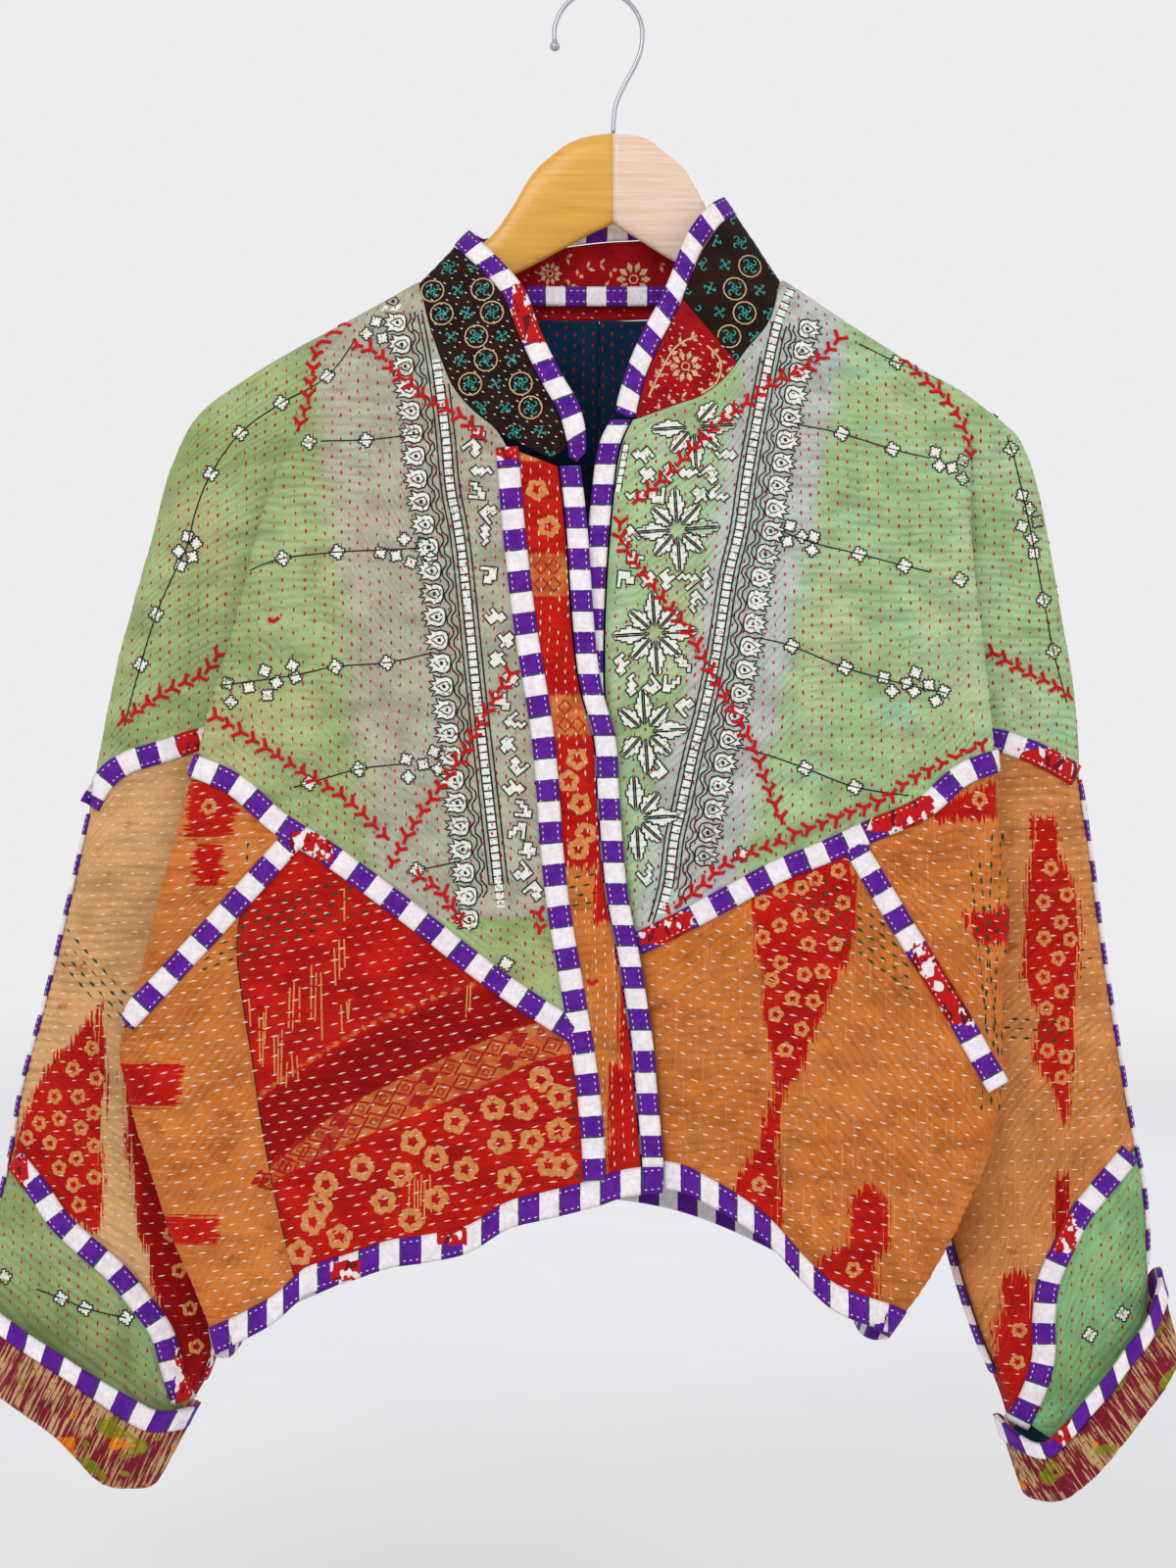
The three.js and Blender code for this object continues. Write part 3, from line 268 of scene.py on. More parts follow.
# %% Lines of the left half
left = SimpleNamespace(
    sign=1, yoke_end=-450,
    shoulder=[[105, -167], [122, -178], [144, -193], [167, -208], [189, -222], [212, -235], [242, -259]],
    overarm=[[242, -259], [253, -284], [261, -320], [269, -367], [276, -409], [279, -460], [286, -507],
        [293, -561], [301, -611], [310, -664], [316, -694], [318.5, -722], [318.5, -745], [320, -770],
        [323, -800]],
    underarm=[[-569, 185], [-590, 186], [-617, 187], [-646, 189], [-691, 194], [-721, 200], [-757, 210],
        [-786, 220], [-804, 228], [-820, 234], [-842, 240], [-872, 249]],
    edge=[[-234, 213], [-250, 217], [-283, 215], [-311, 213], [-345, 215], [-395, 220], [-447, 224],
        [-479, 225], [-507, 230], [-535, 232], [-575, 228], [-608, 228], [-631, 229], [-647, 226],
        [-675, 219], [-698, 209], [-721, 198], [-743, 186], [-771, 167], [-790, 155]],
    side=[[-240, 200], [-300, 186], [-380, 184], [-440, 184], [-520, 184], [-569, 183], [-597, 175],
        [-631, 170], [-687, 166], [-721, 162], [-765, 155], [-790, 148]],
    neck=[[19, -254], [30, -250], [44, -245], [60, -239], [74, -227], [84, -213], [97, -197], [102, -183],
        [105, -167]],
    centre=[[19, -254], [12, -270], [8, -300], [4, -351], [3, -407], [7, -463], [13, -519], [20, -554]],
    centre_low=[[20, -554], [27, -600], [32, -645], [36, -677]],
    yoke=[[20, -554], [38, -546], [60, -533], [83, -522], [105, -510], [128, -501], [142, -494],
        [172, -481], [195, -469], [212, -459]],
    sleeve_seam=[[198, -440], [225, -437], [237, -440], [251, -445], [265, -452], [279, -460]],
    pocket=[[142, -494], [168, -538], [190, -574], [206, -601], [217, -622]],
    petal=[[310, -671], [296, -687], [282, -701], [272, -717], [262, -737], [256, -754], [255, -773],
        [255, -793], [250, -813], [241, -836], [246, -852]],
    hem=[[36, -677], [47, -679], [58, -684], [77, -695], [97, -710], [116, -731], [135, -747], [145, -757]],
    cuff=[[324, -744], [312, -770], [300, -784], [290, -798], [276, -814], [265, -828], [251, -840],
        [231, -829]],
    turn_up=[[337, -792], [322, -810], [312, -821], [298, -838], [284, -855], [273, -866], [262, -874],
        [246, -876]],
)
# %% Back lines and derived lines
NECK_BACK = [[0, -189], [29, -189], [63, -185], [91, -178], [100, -173]]
PATCH_SEAM = [[199, -522], [203, -534], [205, -556], [201, -590], [196, -620], [190, -660],
              [181, -705], [172, -741]]
UNDERARM_Z = -569
HALVES = (("right", right), ("left", left))
for _, h in HALVES:
    h.outline = curve([[0, -158], *h.shoulder, *h.overarm[1:]]).points
    h.ridge = curve([[0, -158], *h.shoulder]).points
    h.edge_at, h.side_at, h.under_at = table(h.edge), table(h.side), table(h.underarm)
    h.over_at = table([[z, x] for x, z in h.overarm])
    h.ridge_z = table([[-x, z] for x, z in h.shoulder])

def back_yoke(h):
    return [[0, -585], [60, -560], [120, -520], [170, -487], [float(h.edge_at(-455)) - 24, -460]]

def back_hem(h):
    return [[0, -695], [50, -704], [100, -724], [h.hem[-1][0] - 12, h.hem[-1][1]]]

# %% [markdown]
# ## How the cloth hangs
# Front and back bow away from the plane of the hanger, most in the body and least in the sleeves.
# The depth grows smoothly from the shoulder ridge, with a few shallow waves. Working it out as a
# function of the plan place means that bindings, prints and stitches can be put on the same cloth.

# %% Depth of the layers
CLOTH = 1.8
GAP = 0.15
RIDGE = 8
TAPE, TAPE_LIFT, TAPE_THICK = 13, 0.8, 0.9
EDGE_SWELL = 0.5
LOOSE = 1.4
front = SimpleNamespace(way=-1, depth=40, reach=110, roll=6, sleeve=(2, 10, 14), inset=0)
back = SimpleNamespace(way=1, depth=30, reach=150, roll=5.5, sleeve=(0, 3, 6), inset=9)

def plane(x):
    return -8 * np.minimum(1, np.abs(x) / 220) ** 2

def body_y(h, f, x, z):
    d = distance_to(h.ridge, x, z)
    swell = 2.6 * np.sin(h.sign * x / 27 + 0.6) * ease(d / 330)
    under = 4.5 * ease((62 - x) / 26) * ease((-235 - z) / 60) if h.sign > 0 and f is front else 0
    return plane(x) + f.way * (RIDGE * bow(d / RIDGE) + f.depth * (1 - np.exp(-d / f.reach)) + swell) + under

def inner_x(h, z):
    return np.where(z > UNDERARM_Z, h.side_at(z) + 1.5, h.under_at(z))

def valley_y(f, x, z):
    return lerp(plane(x) + f.way * (RIDGE + f.sleeve[1] - 1), plane(x), ease((-440 - z) / 129))

def sleeve_y(h, f, x, z):
    d = distance_to(h.outline, x, z)
    top, mid, low = f.sleeve
    deep = np.where(z > -450, lerp(top, mid, ease((-220 - z) / 230)),
                    lerp(mid, low, ease((-450 - z) / 150)))
    full = plane(x) + f.way * (RIDGE * bow(d / RIDGE) + deep * (1 - np.exp(-d / 30)))
    near = bow((x - inner_x(h, z)) / lerp(45, 70, ease((-650 - z) / 120)))
    return np.where(z > -440, full, lerp(valley_y(f, x, z), full, near))

def turn(h, f, z):
    """Corner points of the turned-over edge at height z: front, out, round, in, back."""
    edge, side = h.edge_at(z) - f.inset, h.side_at(z)
    r = np.minimum(f.roll, (edge - side) * 0.42)
    y = body_y(h, f, edge - 2 * f.roll, z)
    y2 = y - f.way * 2 * r
    return [(edge - 2 * f.roll, y), (edge, y), (edge, y2), (side, y2), (side, valley_y(f, side, z))]

def rounded(corners, per_bend):
    """Columns of a rounded line through corner columns, the ends kept."""
    out = []
    for i in range(1, len(corners) - 1):
        a = corners[0] if i == 1 else (corners[i - 1] + corners[i]) / 2
        b = corners[i + 1] if i == len(corners) - 2 else (corners[i] + corners[i + 1]) / 2
        for k in range(1 if out else 0, per_bend + 1):
            t = k / per_bend
            out.append((1 - t) ** 2 * a + 2 * t * (1 - t) * corners[i] + t * t * b)
    return out

def body_point(h, f, p, u=None):
    x, z = p[..., 0], p[..., 1]
    return np.stack([h.sign * x, body_y(h, f, x, z), z], -1)

def sleeve_point(h, f, p, u=None):
    x, z = p[..., 0], p[..., 1]
    if u is not None:
        kept = np.maximum(x, inner_x(h, z) + 60 * (1 - u) ** 1.5 + 0.6)
        x = np.where((u > 0.3) & (u < 1), kept, x)
    return np.stack([h.sign * x, sleeve_y(h, f, x, z), z], -1)

def lobe_point(h, f, p, u=None):
    """Like body_point, but x past the edge is measured on round the roll of the fold."""
    x, z = p[..., 0], p[..., 1]
    start = h.edge_at(z) - f.inset - 2 * f.roll
    edge = start + 2 * f.roll + LOOSE
    side = h.side_at(z)
    r = np.minimum(f.roll, (edge - side) * 0.42) + LOOSE / 2
    y = body_y(h, f, np.minimum(x, start), z)
    t = 1 - np.sqrt(clamp((edge - x) / (edge - start)))
    on_front = y + f.way * (LOOSE / 2 * clamp(4 * t) * (1 - t) - r * t * t)
    s = clamp((x - edge) / (2 * r))
    round_x = (1 - s * s) * edge + s * s * (edge + side) / 2
    round_y = y - f.way * ((1 - s) ** 2 * r + 2 * s * (1 - s) * 2 * r + s * s * 2 * r)
    px = np.where(x <= edge, x, round_x)
    py = np.where(x <= start, y, np.where(x <= edge, on_front, round_y))
    return np.stack([h.sign * px, py, z], -1)

# %% [markdown]
# ## Ripples
# Running stitch gathers the layers, so the cloth between two rows puffs up and the rows sink.
# A seeded field of smooth noise bends the rows and fades them in and out, so no ripple runs
# straight from seam to seam. This is real relief in the mesh; only the weave is left to bump.

# %% Smooth noise and relief
dice = np.random.default_rng(1947)
FIELD = dice.random((256, 256))

def noise(x, z):
    """Smooth noise from 0 to 1 with features one unit wide."""
    i, j = np.floor(x).astype(int), np.floor(z).astype(int)
    a, b = ease(x - i), ease(z - j)
    f = lambda m, n: FIELD[(i + m) % 256, (j + n) % 256]
    return lerp(lerp(f(0, 0), f(1, 0), a), lerp(f(0, 1), f(1, 1), a), b)

ROW = 4.9
RIPPLE = 0.62

def ripples(x, y, z):
    """Height of the quilted cloth over its middle surface, in mm, never above the ripple's height."""
    s = x + 0.9 * y
    bend = 7.0 * noise(s / 34 + 9, z / 46) + 2.6 * noise(s / 13, z / 19 + 40)
    row = np.abs(np.sin(np.pi * (z + bend) / ROW)) ** 0.8
    strength = 0.45 + 0.75 * noise(s / 15 + 5, z / 8 + 3)
    crease = noise(s / 9 + 70, z / 5.5 + 20) - 0.5
    return RIPPLE * (row * strength - 0.5) + 0.55 * crease

def faint_ripples(x, y, z):
    """The relief of small stiff pieces."""
    return 0.6 * ripples(x, y, z)

# %% [markdown]
# ## Making a cloth wall
# Each cut piece is one closed mesh: an outer face, an inner face 1.8 mm behind it, and a narrow rim
# round the sides. A Solidify modifier would do the same, but here the relief has to fade out at the
# seams, so the two faces are made from the same grid of points.

# %% The wall maker
cloth_layers = []
AHEAD, BEHIND = np.array([0, -1.0, 0]), np.array([0, 1.0, 0])

def facing(f):
    return AHEAD if f is front else BEHIND

def normals_of(grid, ring=False):
    if ring:
        du = np.roll(grid, -1, 1) - np.roll(grid, 1, 1)
    else:
        du = np.gradient(grid, axis=1)
    n = np.cross(du, np.gradient(grid, axis=0))
    return n / np.maximum(np.linalg.norm(n, axis=-1, keepdims=True), 1e-9)

def grid_faces(nj, ni, ring, start=0, flip=False):
    cols = ni if ring else ni - 1
    j, i = np.meshgrid(np.arange(nj - 1), np.arange(cols), indexing="ij")
    a, b = start + j * ni + i, start + j * ni + (i + 1) % ni
    quads = np.stack([a, b, b + ni, a + ni], -1).reshape(-1, 4)
    return quads[:, ::-1] if flip else quads

def make_mesh(name, verts, faces, smooth=True):
    mesh = bpy.data.meshes.new(name)
    mesh.from_pydata((verts * MM).tolist(), [], faces if isinstance(faces, list) else faces.tolist())
    if smooth:
        mesh.polygons.foreach_set("use_smooth", np.ones(len(mesh.polygons), bool))
    obj = bpy.data.objects.new(name, mesh)
    bpy.context.collection.objects.link(obj)
    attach(obj, "root")
    return obj

def paint(obj, name, values):
    """Stores one number a vertex, which the finishes read by name."""
    layer = obj.data.attributes.new(name, "FLOAT", "POINT")
    layer.data.foreach_set("value", np.asarray(values, np.float32))

def wall(name, grid, toward, out=0.0, inn=-CLOTH, ring=False, flat=None, gap=GAP, relief=None,
         fade=3.0, along=None, layer=None):
    nj, ni = grid.shape[:2]
    grid = grid.copy()
    for axis, edges in ((0, (0, -1)), (1, () if ring else (0, -1))):
        rows = np.moveaxis(grid, axis, 0)
        for e, step in zip(edges, (1, -2)):
            away = rows[step] - rows[e]
            size = np.maximum(np.linalg.norm(away, axis=-1, keepdims=True), 1e-6)
            rows[e] += away / size * np.minimum(gap, size * 0.8)
    n = normals_of(grid, ring)
    if (n[1:-1].reshape(-1, 3) @ toward).mean() < 0:
        n = -n
    sunk = np.zeros((nj, ni))
    if relief is not None:
        across = np.concatenate([np.zeros((nj, 1)), np.cumsum(steps(grid, 1), 1)], 1)
        down = np.concatenate([np.zeros((1, ni)), np.cumsum(steps(grid, 0), 0)], 0)
        rim = np.minimum(down, down[-1:] - down)
        if not ring:
            rim = np.minimum(rim, np.minimum(across, across[:, -1:] - across))
        sunk = relief(grid[..., 0], grid[..., 1], grid[..., 2]) * ease(rim / fade)
    lean = n.copy()
    if flat is not None:
        lean[flat] *= (1, 0, 1)
        lean /= np.maximum(np.linalg.norm(lean, axis=-1, keepdims=True), 1e-9)
    outer = grid + lean * (out + sunk)[..., None]
    inner = grid + lean * (inn + 0.6 * sunk)[..., None]
    count = nj * ni
    faces = [grid_faces(nj, ni, ring), grid_faces(nj, ni, ring, count, True)]
    i = np.arange(ni if ring else ni - 1)
    for row, turned in ((0, True), (nj - 1, False)):
        a, b = row * ni + i, row * ni + (i + 1) % ni
        side = np.stack([a, b, b + count, a + count], -1)
        faces.append(side[:, ::-1] if turned else side)
    if not ring:
        j = np.arange(nj - 1)
        for col, turned in ((0, False), (ni - 1, True)):
            a, b = j * ni + col, (j + 1) * ni + col
            side = np.stack([a, b, b + count, a + count], -1)
            faces.append(side[:, ::-1] if turned else side)
    faces = np.concatenate(faces)
    verts = np.concatenate([outer.reshape(-1, 3), inner.reshape(-1, 3)])
    a, b, c, d = (verts[faces[:, k]] for k in range(4))
    volume = (a * np.cross(b, c)).sum() + (a * np.cross(c, d)).sum()
    if volume < 0:
        faces = faces[:, ::-1]
    obj = make_mesh(name, verts, faces)
    paint(obj, "sunk", np.concatenate([sunk.ravel(), sunk.ravel()]))
    paint(obj, "inside", np.repeat([0.0, 1.0], count))
    if along is not None:
        paint(obj, "along", np.tile(along.ravel(), 2))
        paint(obj, "across", np.tile(np.broadcast_to(np.linspace(-1, 1, ni), (nj, ni)).ravel(), 2))
    if layer:
        cloth_layers.append((layer, obj))
    return obj, outer

def grid_area(g):
    a, b, c, d = g[:-1, :-1], g[:-1, 1:], g[1:, 1:], g[1:, :-1]
    return 0.5 * (np.linalg.norm(np.cross(b - a, c - a), axis=-1)
                  + np.linalg.norm(np.cross(c - a, d - a), axis=-1)).sum()

quilted = lambda x, y, z: ripples(x, y, z)
print("ripple pitch", ROW, "mm, height", RIPPLE, "mm")
# %% [markdown]
# ## The upper panels
# On the real jacket body and sleeve are cut in one piece of green cloth, with no armhole seam. On
# the hanger the front falls over itself in a deep fold in front of the sleeve. Each row of points
# therefore runs from the middle out to the fold, round it and back in, and then out again along
# the sleeve.

# %% Rows and columns
COLUMN, ROW_STEP, BACK_STEP = 5.0, 1.65, 3.2
BEND = 4
made, flat_cut = {}, {}

def even(length, step):
    return np.linspace(0, 1, max(3, int(round(length / step)) + 1))

def cloth(name, grid, h, f, relief=None, **more):
    """Makes a cut piece and keeps its measured cloth size for the sheet list."""
    obj, outer = wall(name, grid, facing(f), relief=relief or quilted,
                      layer="front" if f is front else "back", **more)
    wide = steps(grid, 1).sum(1)
    tall = steps(grid, 0).sum(0)
    flat_cut[name] = (wide.max(), tall.max(), grid_area(grid))
    made[name] = obj
    return obj

def even_rows(key, rows, v):
    """More rows between key rows, without overshoot where the fold begins."""
    gap = np.diff(key)[:, None, None]
    rise = np.diff(rows, axis=0) / gap
    slope = np.zeros_like(rows)
    same = rise[:-1] * rise[1:] > 0
    a, b = 2 * gap[1:] + gap[:-1], gap[1:] + 2 * gap[:-1]
    with np.errstate(divide="ignore", invalid="ignore"):
        inner = (a + b) / (a / rise[:-1] + b / rise[1:])
    slope[1:-1] = np.where(same, inner, 0)
    slope[0], slope[-1] = rise[0], rise[-1]
    i = np.clip(np.searchsorted(key, v, side="right") - 1, 0, len(key) - 2)
    w = gap[i]
    t = ((v - key[i])[:, None, None]) / w
    h = t * t * (3 - 2 * t)
    bend = w * (t * (1 - t) ** 2 * slope[i] - t * t * (1 - t) * slope[i + 1])
    return rows[i] * (1 - h) + rows[i + 1] * h + bend

# From SLEEVE_FROM mm outward the front and back of the sleeve's top meet at the shoulder ridge, and
# part by no more than OPENING_SLOPE mm for each mm down. The back dips a little beside the fold.
SLEEVE_FROM = 104
OPENING_SLOPE = 0.8
BACK_DIP, DIP_WIDTH = 2.5, 16

def upper(h, f):
    offsets = np.array([-12, -7, -2, 3, 8, 14])
    xs = float(h.edge_at(-215)) - f.inset + offsets
    low = h.yoke_end if f is front else -458
    lows = [low, low + 4, -438, -438, -438, -438]

    def column(k, v):
        ridge_z = h.ridge_z(-xs[k])
        z = lerp(ridge_z, lows[k], v)
        full = ease((-z - 212) / 95) * ease((ridge_z - z) / 18)
        corners = turn(h, f, z)
        px = corners[3][0] + 12
        corners.append((px, sleeve_y(h, f, px, z)))
        flat_x = lerp(xs[k], h.edge_at(z) + offsets[k], clamp(v * 3))
        flat_y = lerp(body_y(h, f, flat_x, z), sleeve_y(h, f, flat_x, z), k / 5 * ease((ridge_z - z) / 12))
        x, y = corners[k]
        return np.stack([lerp(flat_x, x, full), lerp(flat_y, y, full), z], -1)

    def drawn(k):
        return lambda v: column(k, np.asarray(v, float))[..., [0, 2]]

    def ridge(x0, x1):
        between = [p for p in h.shoulder if x0 + 3 < p[0] < x1 - 3]
        return curve([[x0, float(h.ridge_z(-x0))], *between, [x1, float(h.ridge_z(-x1))]])

    neck = curve(h.neck if f is front else NECK_BACK + [h.shoulder[0]])
    seam_end = drawn(0)(1.0)
    seam = curve((h.yoke if f is front else back_yoke(h))[:-1] + [list(seam_end)])
    centre = curve(h.centre if f is front else [[0, -189], [0, -585]])
    body = patch(joined(neck, ridge(h.shoulder[0][0], xs[0])), seam, centre, drawn(0))
    arm = curve([p for p in h.overarm if p[1] > h.sleeve_seam[-1][1] - 1])
    tip = h.shoulder[-1]
    whole = arm_seam(h)
    start = 11 / whole.length
    sleeve = patch(ridge(xs[5], tip[0]), lambda t: whole(lerp(start, 1, t)), drawn(5), arm)
    step = ROW_STEP if f is front else BACK_STEP
    key = np.array([0, 0.008, 0.028, 0.08, 0.18, 0.34, 0.42, 0.5, 0.58, 0.66, 0.75, 0.84, 0.92, 1])
    u = np.linspace(0, 1, int(200 / COLUMN) + 1)[:-1]
    left_part = body_point(h, f, body(*np.meshgrid(u, key)))
    bends = np.stack(rounded([column(k, key) for k in range(6)], BEND), 1) * (h.sign, 1, 1)
    out = 1 - (1 - np.linspace(0.06, 1, 18)) ** 1.35
    uu, vv = np.meshgrid(out, key)
    right_part = sleeve_point(h, f, sleeve(uu, vv), uu)
    v = np.concatenate([[0, 0.004, 0.01, 0.018, 0.028, 0.04], np.linspace(0.052, 1, int(330 / step))])
    grid = even_rows(key, np.concatenate([left_part, bends, right_part], 1), v)
    x = h.sign * grid[..., 0]
    dip = 0.0 if f is front else BACK_DIP * np.exp(-((x - xs[3]) / DIP_WIDTH) ** 2)
    grid[..., 2] = np.minimum(grid[..., 2], h.ridge_z(-x) - dip)
    down = grid[0, :, 2] - grid[..., 2]
    bulge = f.way * (grid[..., 1] - plane(x))
    most = RIDGE * bow(down / RIDGE) + OPENING_SLOPE * down + 1.0
    grid[..., 1] -= f.way * np.where(x[0] > SLEEVE_FROM, np.maximum(bulge - most, 0), 0)
    flat = np.zeros(grid.shape[:2], bool)
    flat[0] = grid[0, :, 0] * h.sign > SLEEVE_FROM
    flat[:, -1] = True
    return grid, flat

def arm_seam(h):
    side = float(h.side_at(-438))
    return curve([[side + 1.5, -438], [side + 12, -438], *h.sleeve_seam[1:]])

for name, h in HALVES:
    for where, f in (("front", front), ("back", back)):
        grid, flat = upper(h, f)
        piece = cloth(f"{where}_upper_{name}_cloth", grid, h, f, flat=flat)
        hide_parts(f"{where}_upper_{name}")
        print(piece.name, grid.shape[:2])

# %% [markdown]
# ## The lower panels
# Below the slanting seam the front is orange and red ikat. The outer panel also turns over at the
# fold, so it ends in the same rounded edge. Its rows follow the hem.

# %% Lower panels of front and back
def turned(h, f, top, line, lows, inner, tops, columns, rows):
    def column(k, v):
        z = lerp(tops[k], lows[k], v)
        x, y = turn(h, f, z)[k]
        return np.stack([x, y, z], -1)

    def first(v):
        return column(0, np.asarray(v, float))[..., [0, 2]]

    parts = [curve(part + ([list(first(0.0))] if k == len(top) - 1 else [])) for k, part in enumerate(top)]
    upper_line = parts[0] if len(parts) == 1 else joined(*parts)
    body = patch(upper_line, curve(line + [list(first(1.0))]), inner, first)
    v = np.linspace(0, 1, rows)
    u = np.linspace(0, 1, columns + 1)[:-1]
    flat_part = body_point(h, f, body(*np.meshgrid(u, v)))
    bends = np.stack(rounded([column(k, v) for k in range(5)], BEND), 1) * (h.sign, 1, 1)
    return np.concatenate([flat_part, bends], 1)

def lying(h, f, point, top, bottom, inner, outer, us, vs):
    u, v = np.meshgrid(us, vs)
    return point(h, f, patch(top, bottom, inner, outer)(u, v), u)

def hem_z(h):
    return [h.hem[-1][1] + w for w in (0, -4, -7, -8, -8)]

def panel(name, node, h, f, grid, **more):
    piece = cloth(name, grid, h, f, **more)
    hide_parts(node)
    return piece

panel("front_lower_right_cloth", "front_lower_right", right, front, lying(
    right, front, body_point, curve(right.yoke[:7]), curve(right.hem[:8] + [[172, -741]]),
    curve(right.centre_low), curve([[171, -491], [185, -506.5], *PATCH_SEAM]),
    even(172, COLUMN), even(190, ROW_STEP)))
panel("side_strip_right_cloth", "side_strip_right", right, front, turned(
    right, front, [[[203, -528], [238, -566]]], [[173, -742], [186, -753]], hem_z(right),
    curve([[202.4, -528]] + [[x + 0.3, z] for x, z in PATCH_SEAM[2:]]),
    [-591, -601, -606, -606, -606], 13, 112))
panel("pocket_side_right_cloth", "pocket_side_right", right, front, turned(
    right, front, [[[177, -487.5], [197, -474]]], [[179, -497], [205, -525.5], [238, -562]],
    [-588, -598, -603, -603, -603], curve([[177, -487.5], [178, -492], [179, -497]]),
    [-455, -448, -440, -440, -440], 12, 84))
panel("front_lower_left_cloth", "front_lower_left", left, front, turned(
    left, front, [[[x, z - 0.6] for x, z in left.yoke[:7]], left.pocket[:4]], left.hem[:-1], hem_z(left),
    curve(left.centre_low), [-624, -634, -640, -640, -640], 36, 114))
panel("pocket_side_left_cloth", "pocket_side_left", left, front, turned(
    left, front, [[[149, -491], [172, -481], [195, -469]]],
    [[151, -503], [170, -534], [192, -570], [207, -597]], [-619, -630, -637, -637, -637],
    curve([[149, -491], [150, -497], [151, -503]]), [-456, -448, -440, -440, -440], 13, 98))
for name, h in HALVES:
    panel(f"back_lower_{name}_cloth", f"back_lower_{name}", h, back, turned(
        h, back, [[[x, z - 1] for x, z in back_yoke(h)[:-1]]], back_hem(h)[:-1], hem_z(h),
        curve([[0, -586], [0, -695]]), [-462, -454, -440, -440, -440], 38, 80))

# %% [markdown]
# ## Sleeves
# Below the sleeve seam the orange cloth makes a tube, flat on the hanger. A green petal is set into
# its lower front. The end is turned up into a cuff that shows the lining.

# %% Sleeves and petals
PETAL_SHARE = 0.93

for name, h in HALVES:
    seam_end = h.sleeve_seam[-1]
    whole = arm_seam(h)
    seam = lambda t, w=whole: w(1 - np.asarray(t, float)) - (0, 0.9)
    side_line = [[x + 1.5, z] for z, x in h.side if UNDERARM_Z < z < -441]
    cuff_in = [float(h.under_at(-838)), -838]
    under_line = [[x, z] for z, x in h.underarm if z > -836]
    def arm_line(z1, h=h, seam=seam, end=seam_end):
        return [list(seam(0.0))] + [p for p in h.overarm if z1 + 3 < p[1] < end[1] - 5]
    petal_top = h.petal[0]
    inner = curve([list(seam(1.0)), *side_line, *under_line, cuff_in])
    low = [[x, z - 13] for x, z in h.cuff]
    low_arm = [float(h.over_at(low[0][1])), low[0][1]]
    petal_seam = curve(h.petal[:-1] + [cuff_in])
    us = np.concatenate([[0, 0.006, 0.016, 0.03, 0.05], np.linspace(0.075, 1, 20)])
    vs = even(370, ROW_STEP)
    grid = lying(h, front, sleeve_point, seam, petal_seam,
                 curve(arm_line(petal_top[1]) + [petal_top]), inner, us, vs)
    flat = np.zeros(grid.shape[:2], bool)
    flat[:, 0] = True
    flat[len(vs) // 3:, -1] = True
    panel(f"sleeve_front_{name}_cloth", f"sleeve_front_{name}", h, front, grid, flat=flat, gap=0.25)
    vs = even(370, BACK_STEP)
    grid = lying(h, back, sleeve_point, seam, curve([low_arm, *low[1:-1], cuff_in]),
                 curve(arm_line(low[0][1]) + [low_arm]), inner, us, vs)
    flat = np.zeros(grid.shape[:2], bool)
    flat[:, 0] = True
    flat[len(vs) // 3:, -1] = True
    panel(f"sleeve_back_{name}_cloth", f"sleeve_back_{name}", h, back, grid, flat=flat, gap=0.25)
    if h is left:
        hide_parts("sleeve_back_underarm_left")
    petal_end = petal_seam(PETAL_SHARE)
    petal_low = [petal_end[0] + 2.5, petal_end[1] - 4]
    arm_low = [p for p in h.overarm if low_arm[1] + 3 < p[1] < petal_top[1] - 6]
    us = np.concatenate([[0, 0.006, 0.016, 0.03, 0.05], np.linspace(0.075, 1, 19)])
    grid = lying(h, front, sleeve_point, lambda t, s=petal_seam: s(np.asarray(t) * PETAL_SHARE),
                 curve([low_arm, *low[1:-2], petal_low]), curve([petal_top, *arm_low, low_arm]),
                 curve([petal_end, petal_low]), us, even(120, ROW_STEP))
    flat = np.zeros(grid.shape[:2], bool)
    flat[:, 0] = True
    panel(f"sleeve_petal_{name}_cloth", f"sleeve_petal_{name}", h, front, grid, flat=flat, gap=0.25)

# %% Turned-up cuffs
def ring_row(h, share, inset, wide, count=84):
    t = np.arange(count) / count
    angle = 2 * np.pi * t
    f = (1 - np.cos(angle)) / 2
    p = lerp(curve(h.cuff)(f), curve(h.turn_up)(f), share)
    across = np.array(h.cuff[-1], float) - h.cuff[0]
    across /= np.linalg.norm(across)
    p = p + across * (inset * np.cos(angle))[:, None]
    s = np.sin(angle)
    depth = np.where(s > 0, 29 + wide, 22 + wide) - inset
    y = plane(p[:, 0]) - np.sign(s) * depth * np.abs(s) ** 0.8
    return np.stack([h.sign * p[:, 0], y, p[:, 1]], -1)

def between_rows(rows, per):
    """More rows between the given [share, inset, wide] rows, on a smooth line."""
    line = curve(rows)
    return [tuple(line(t)) for t in np.linspace(0, 1, per)]

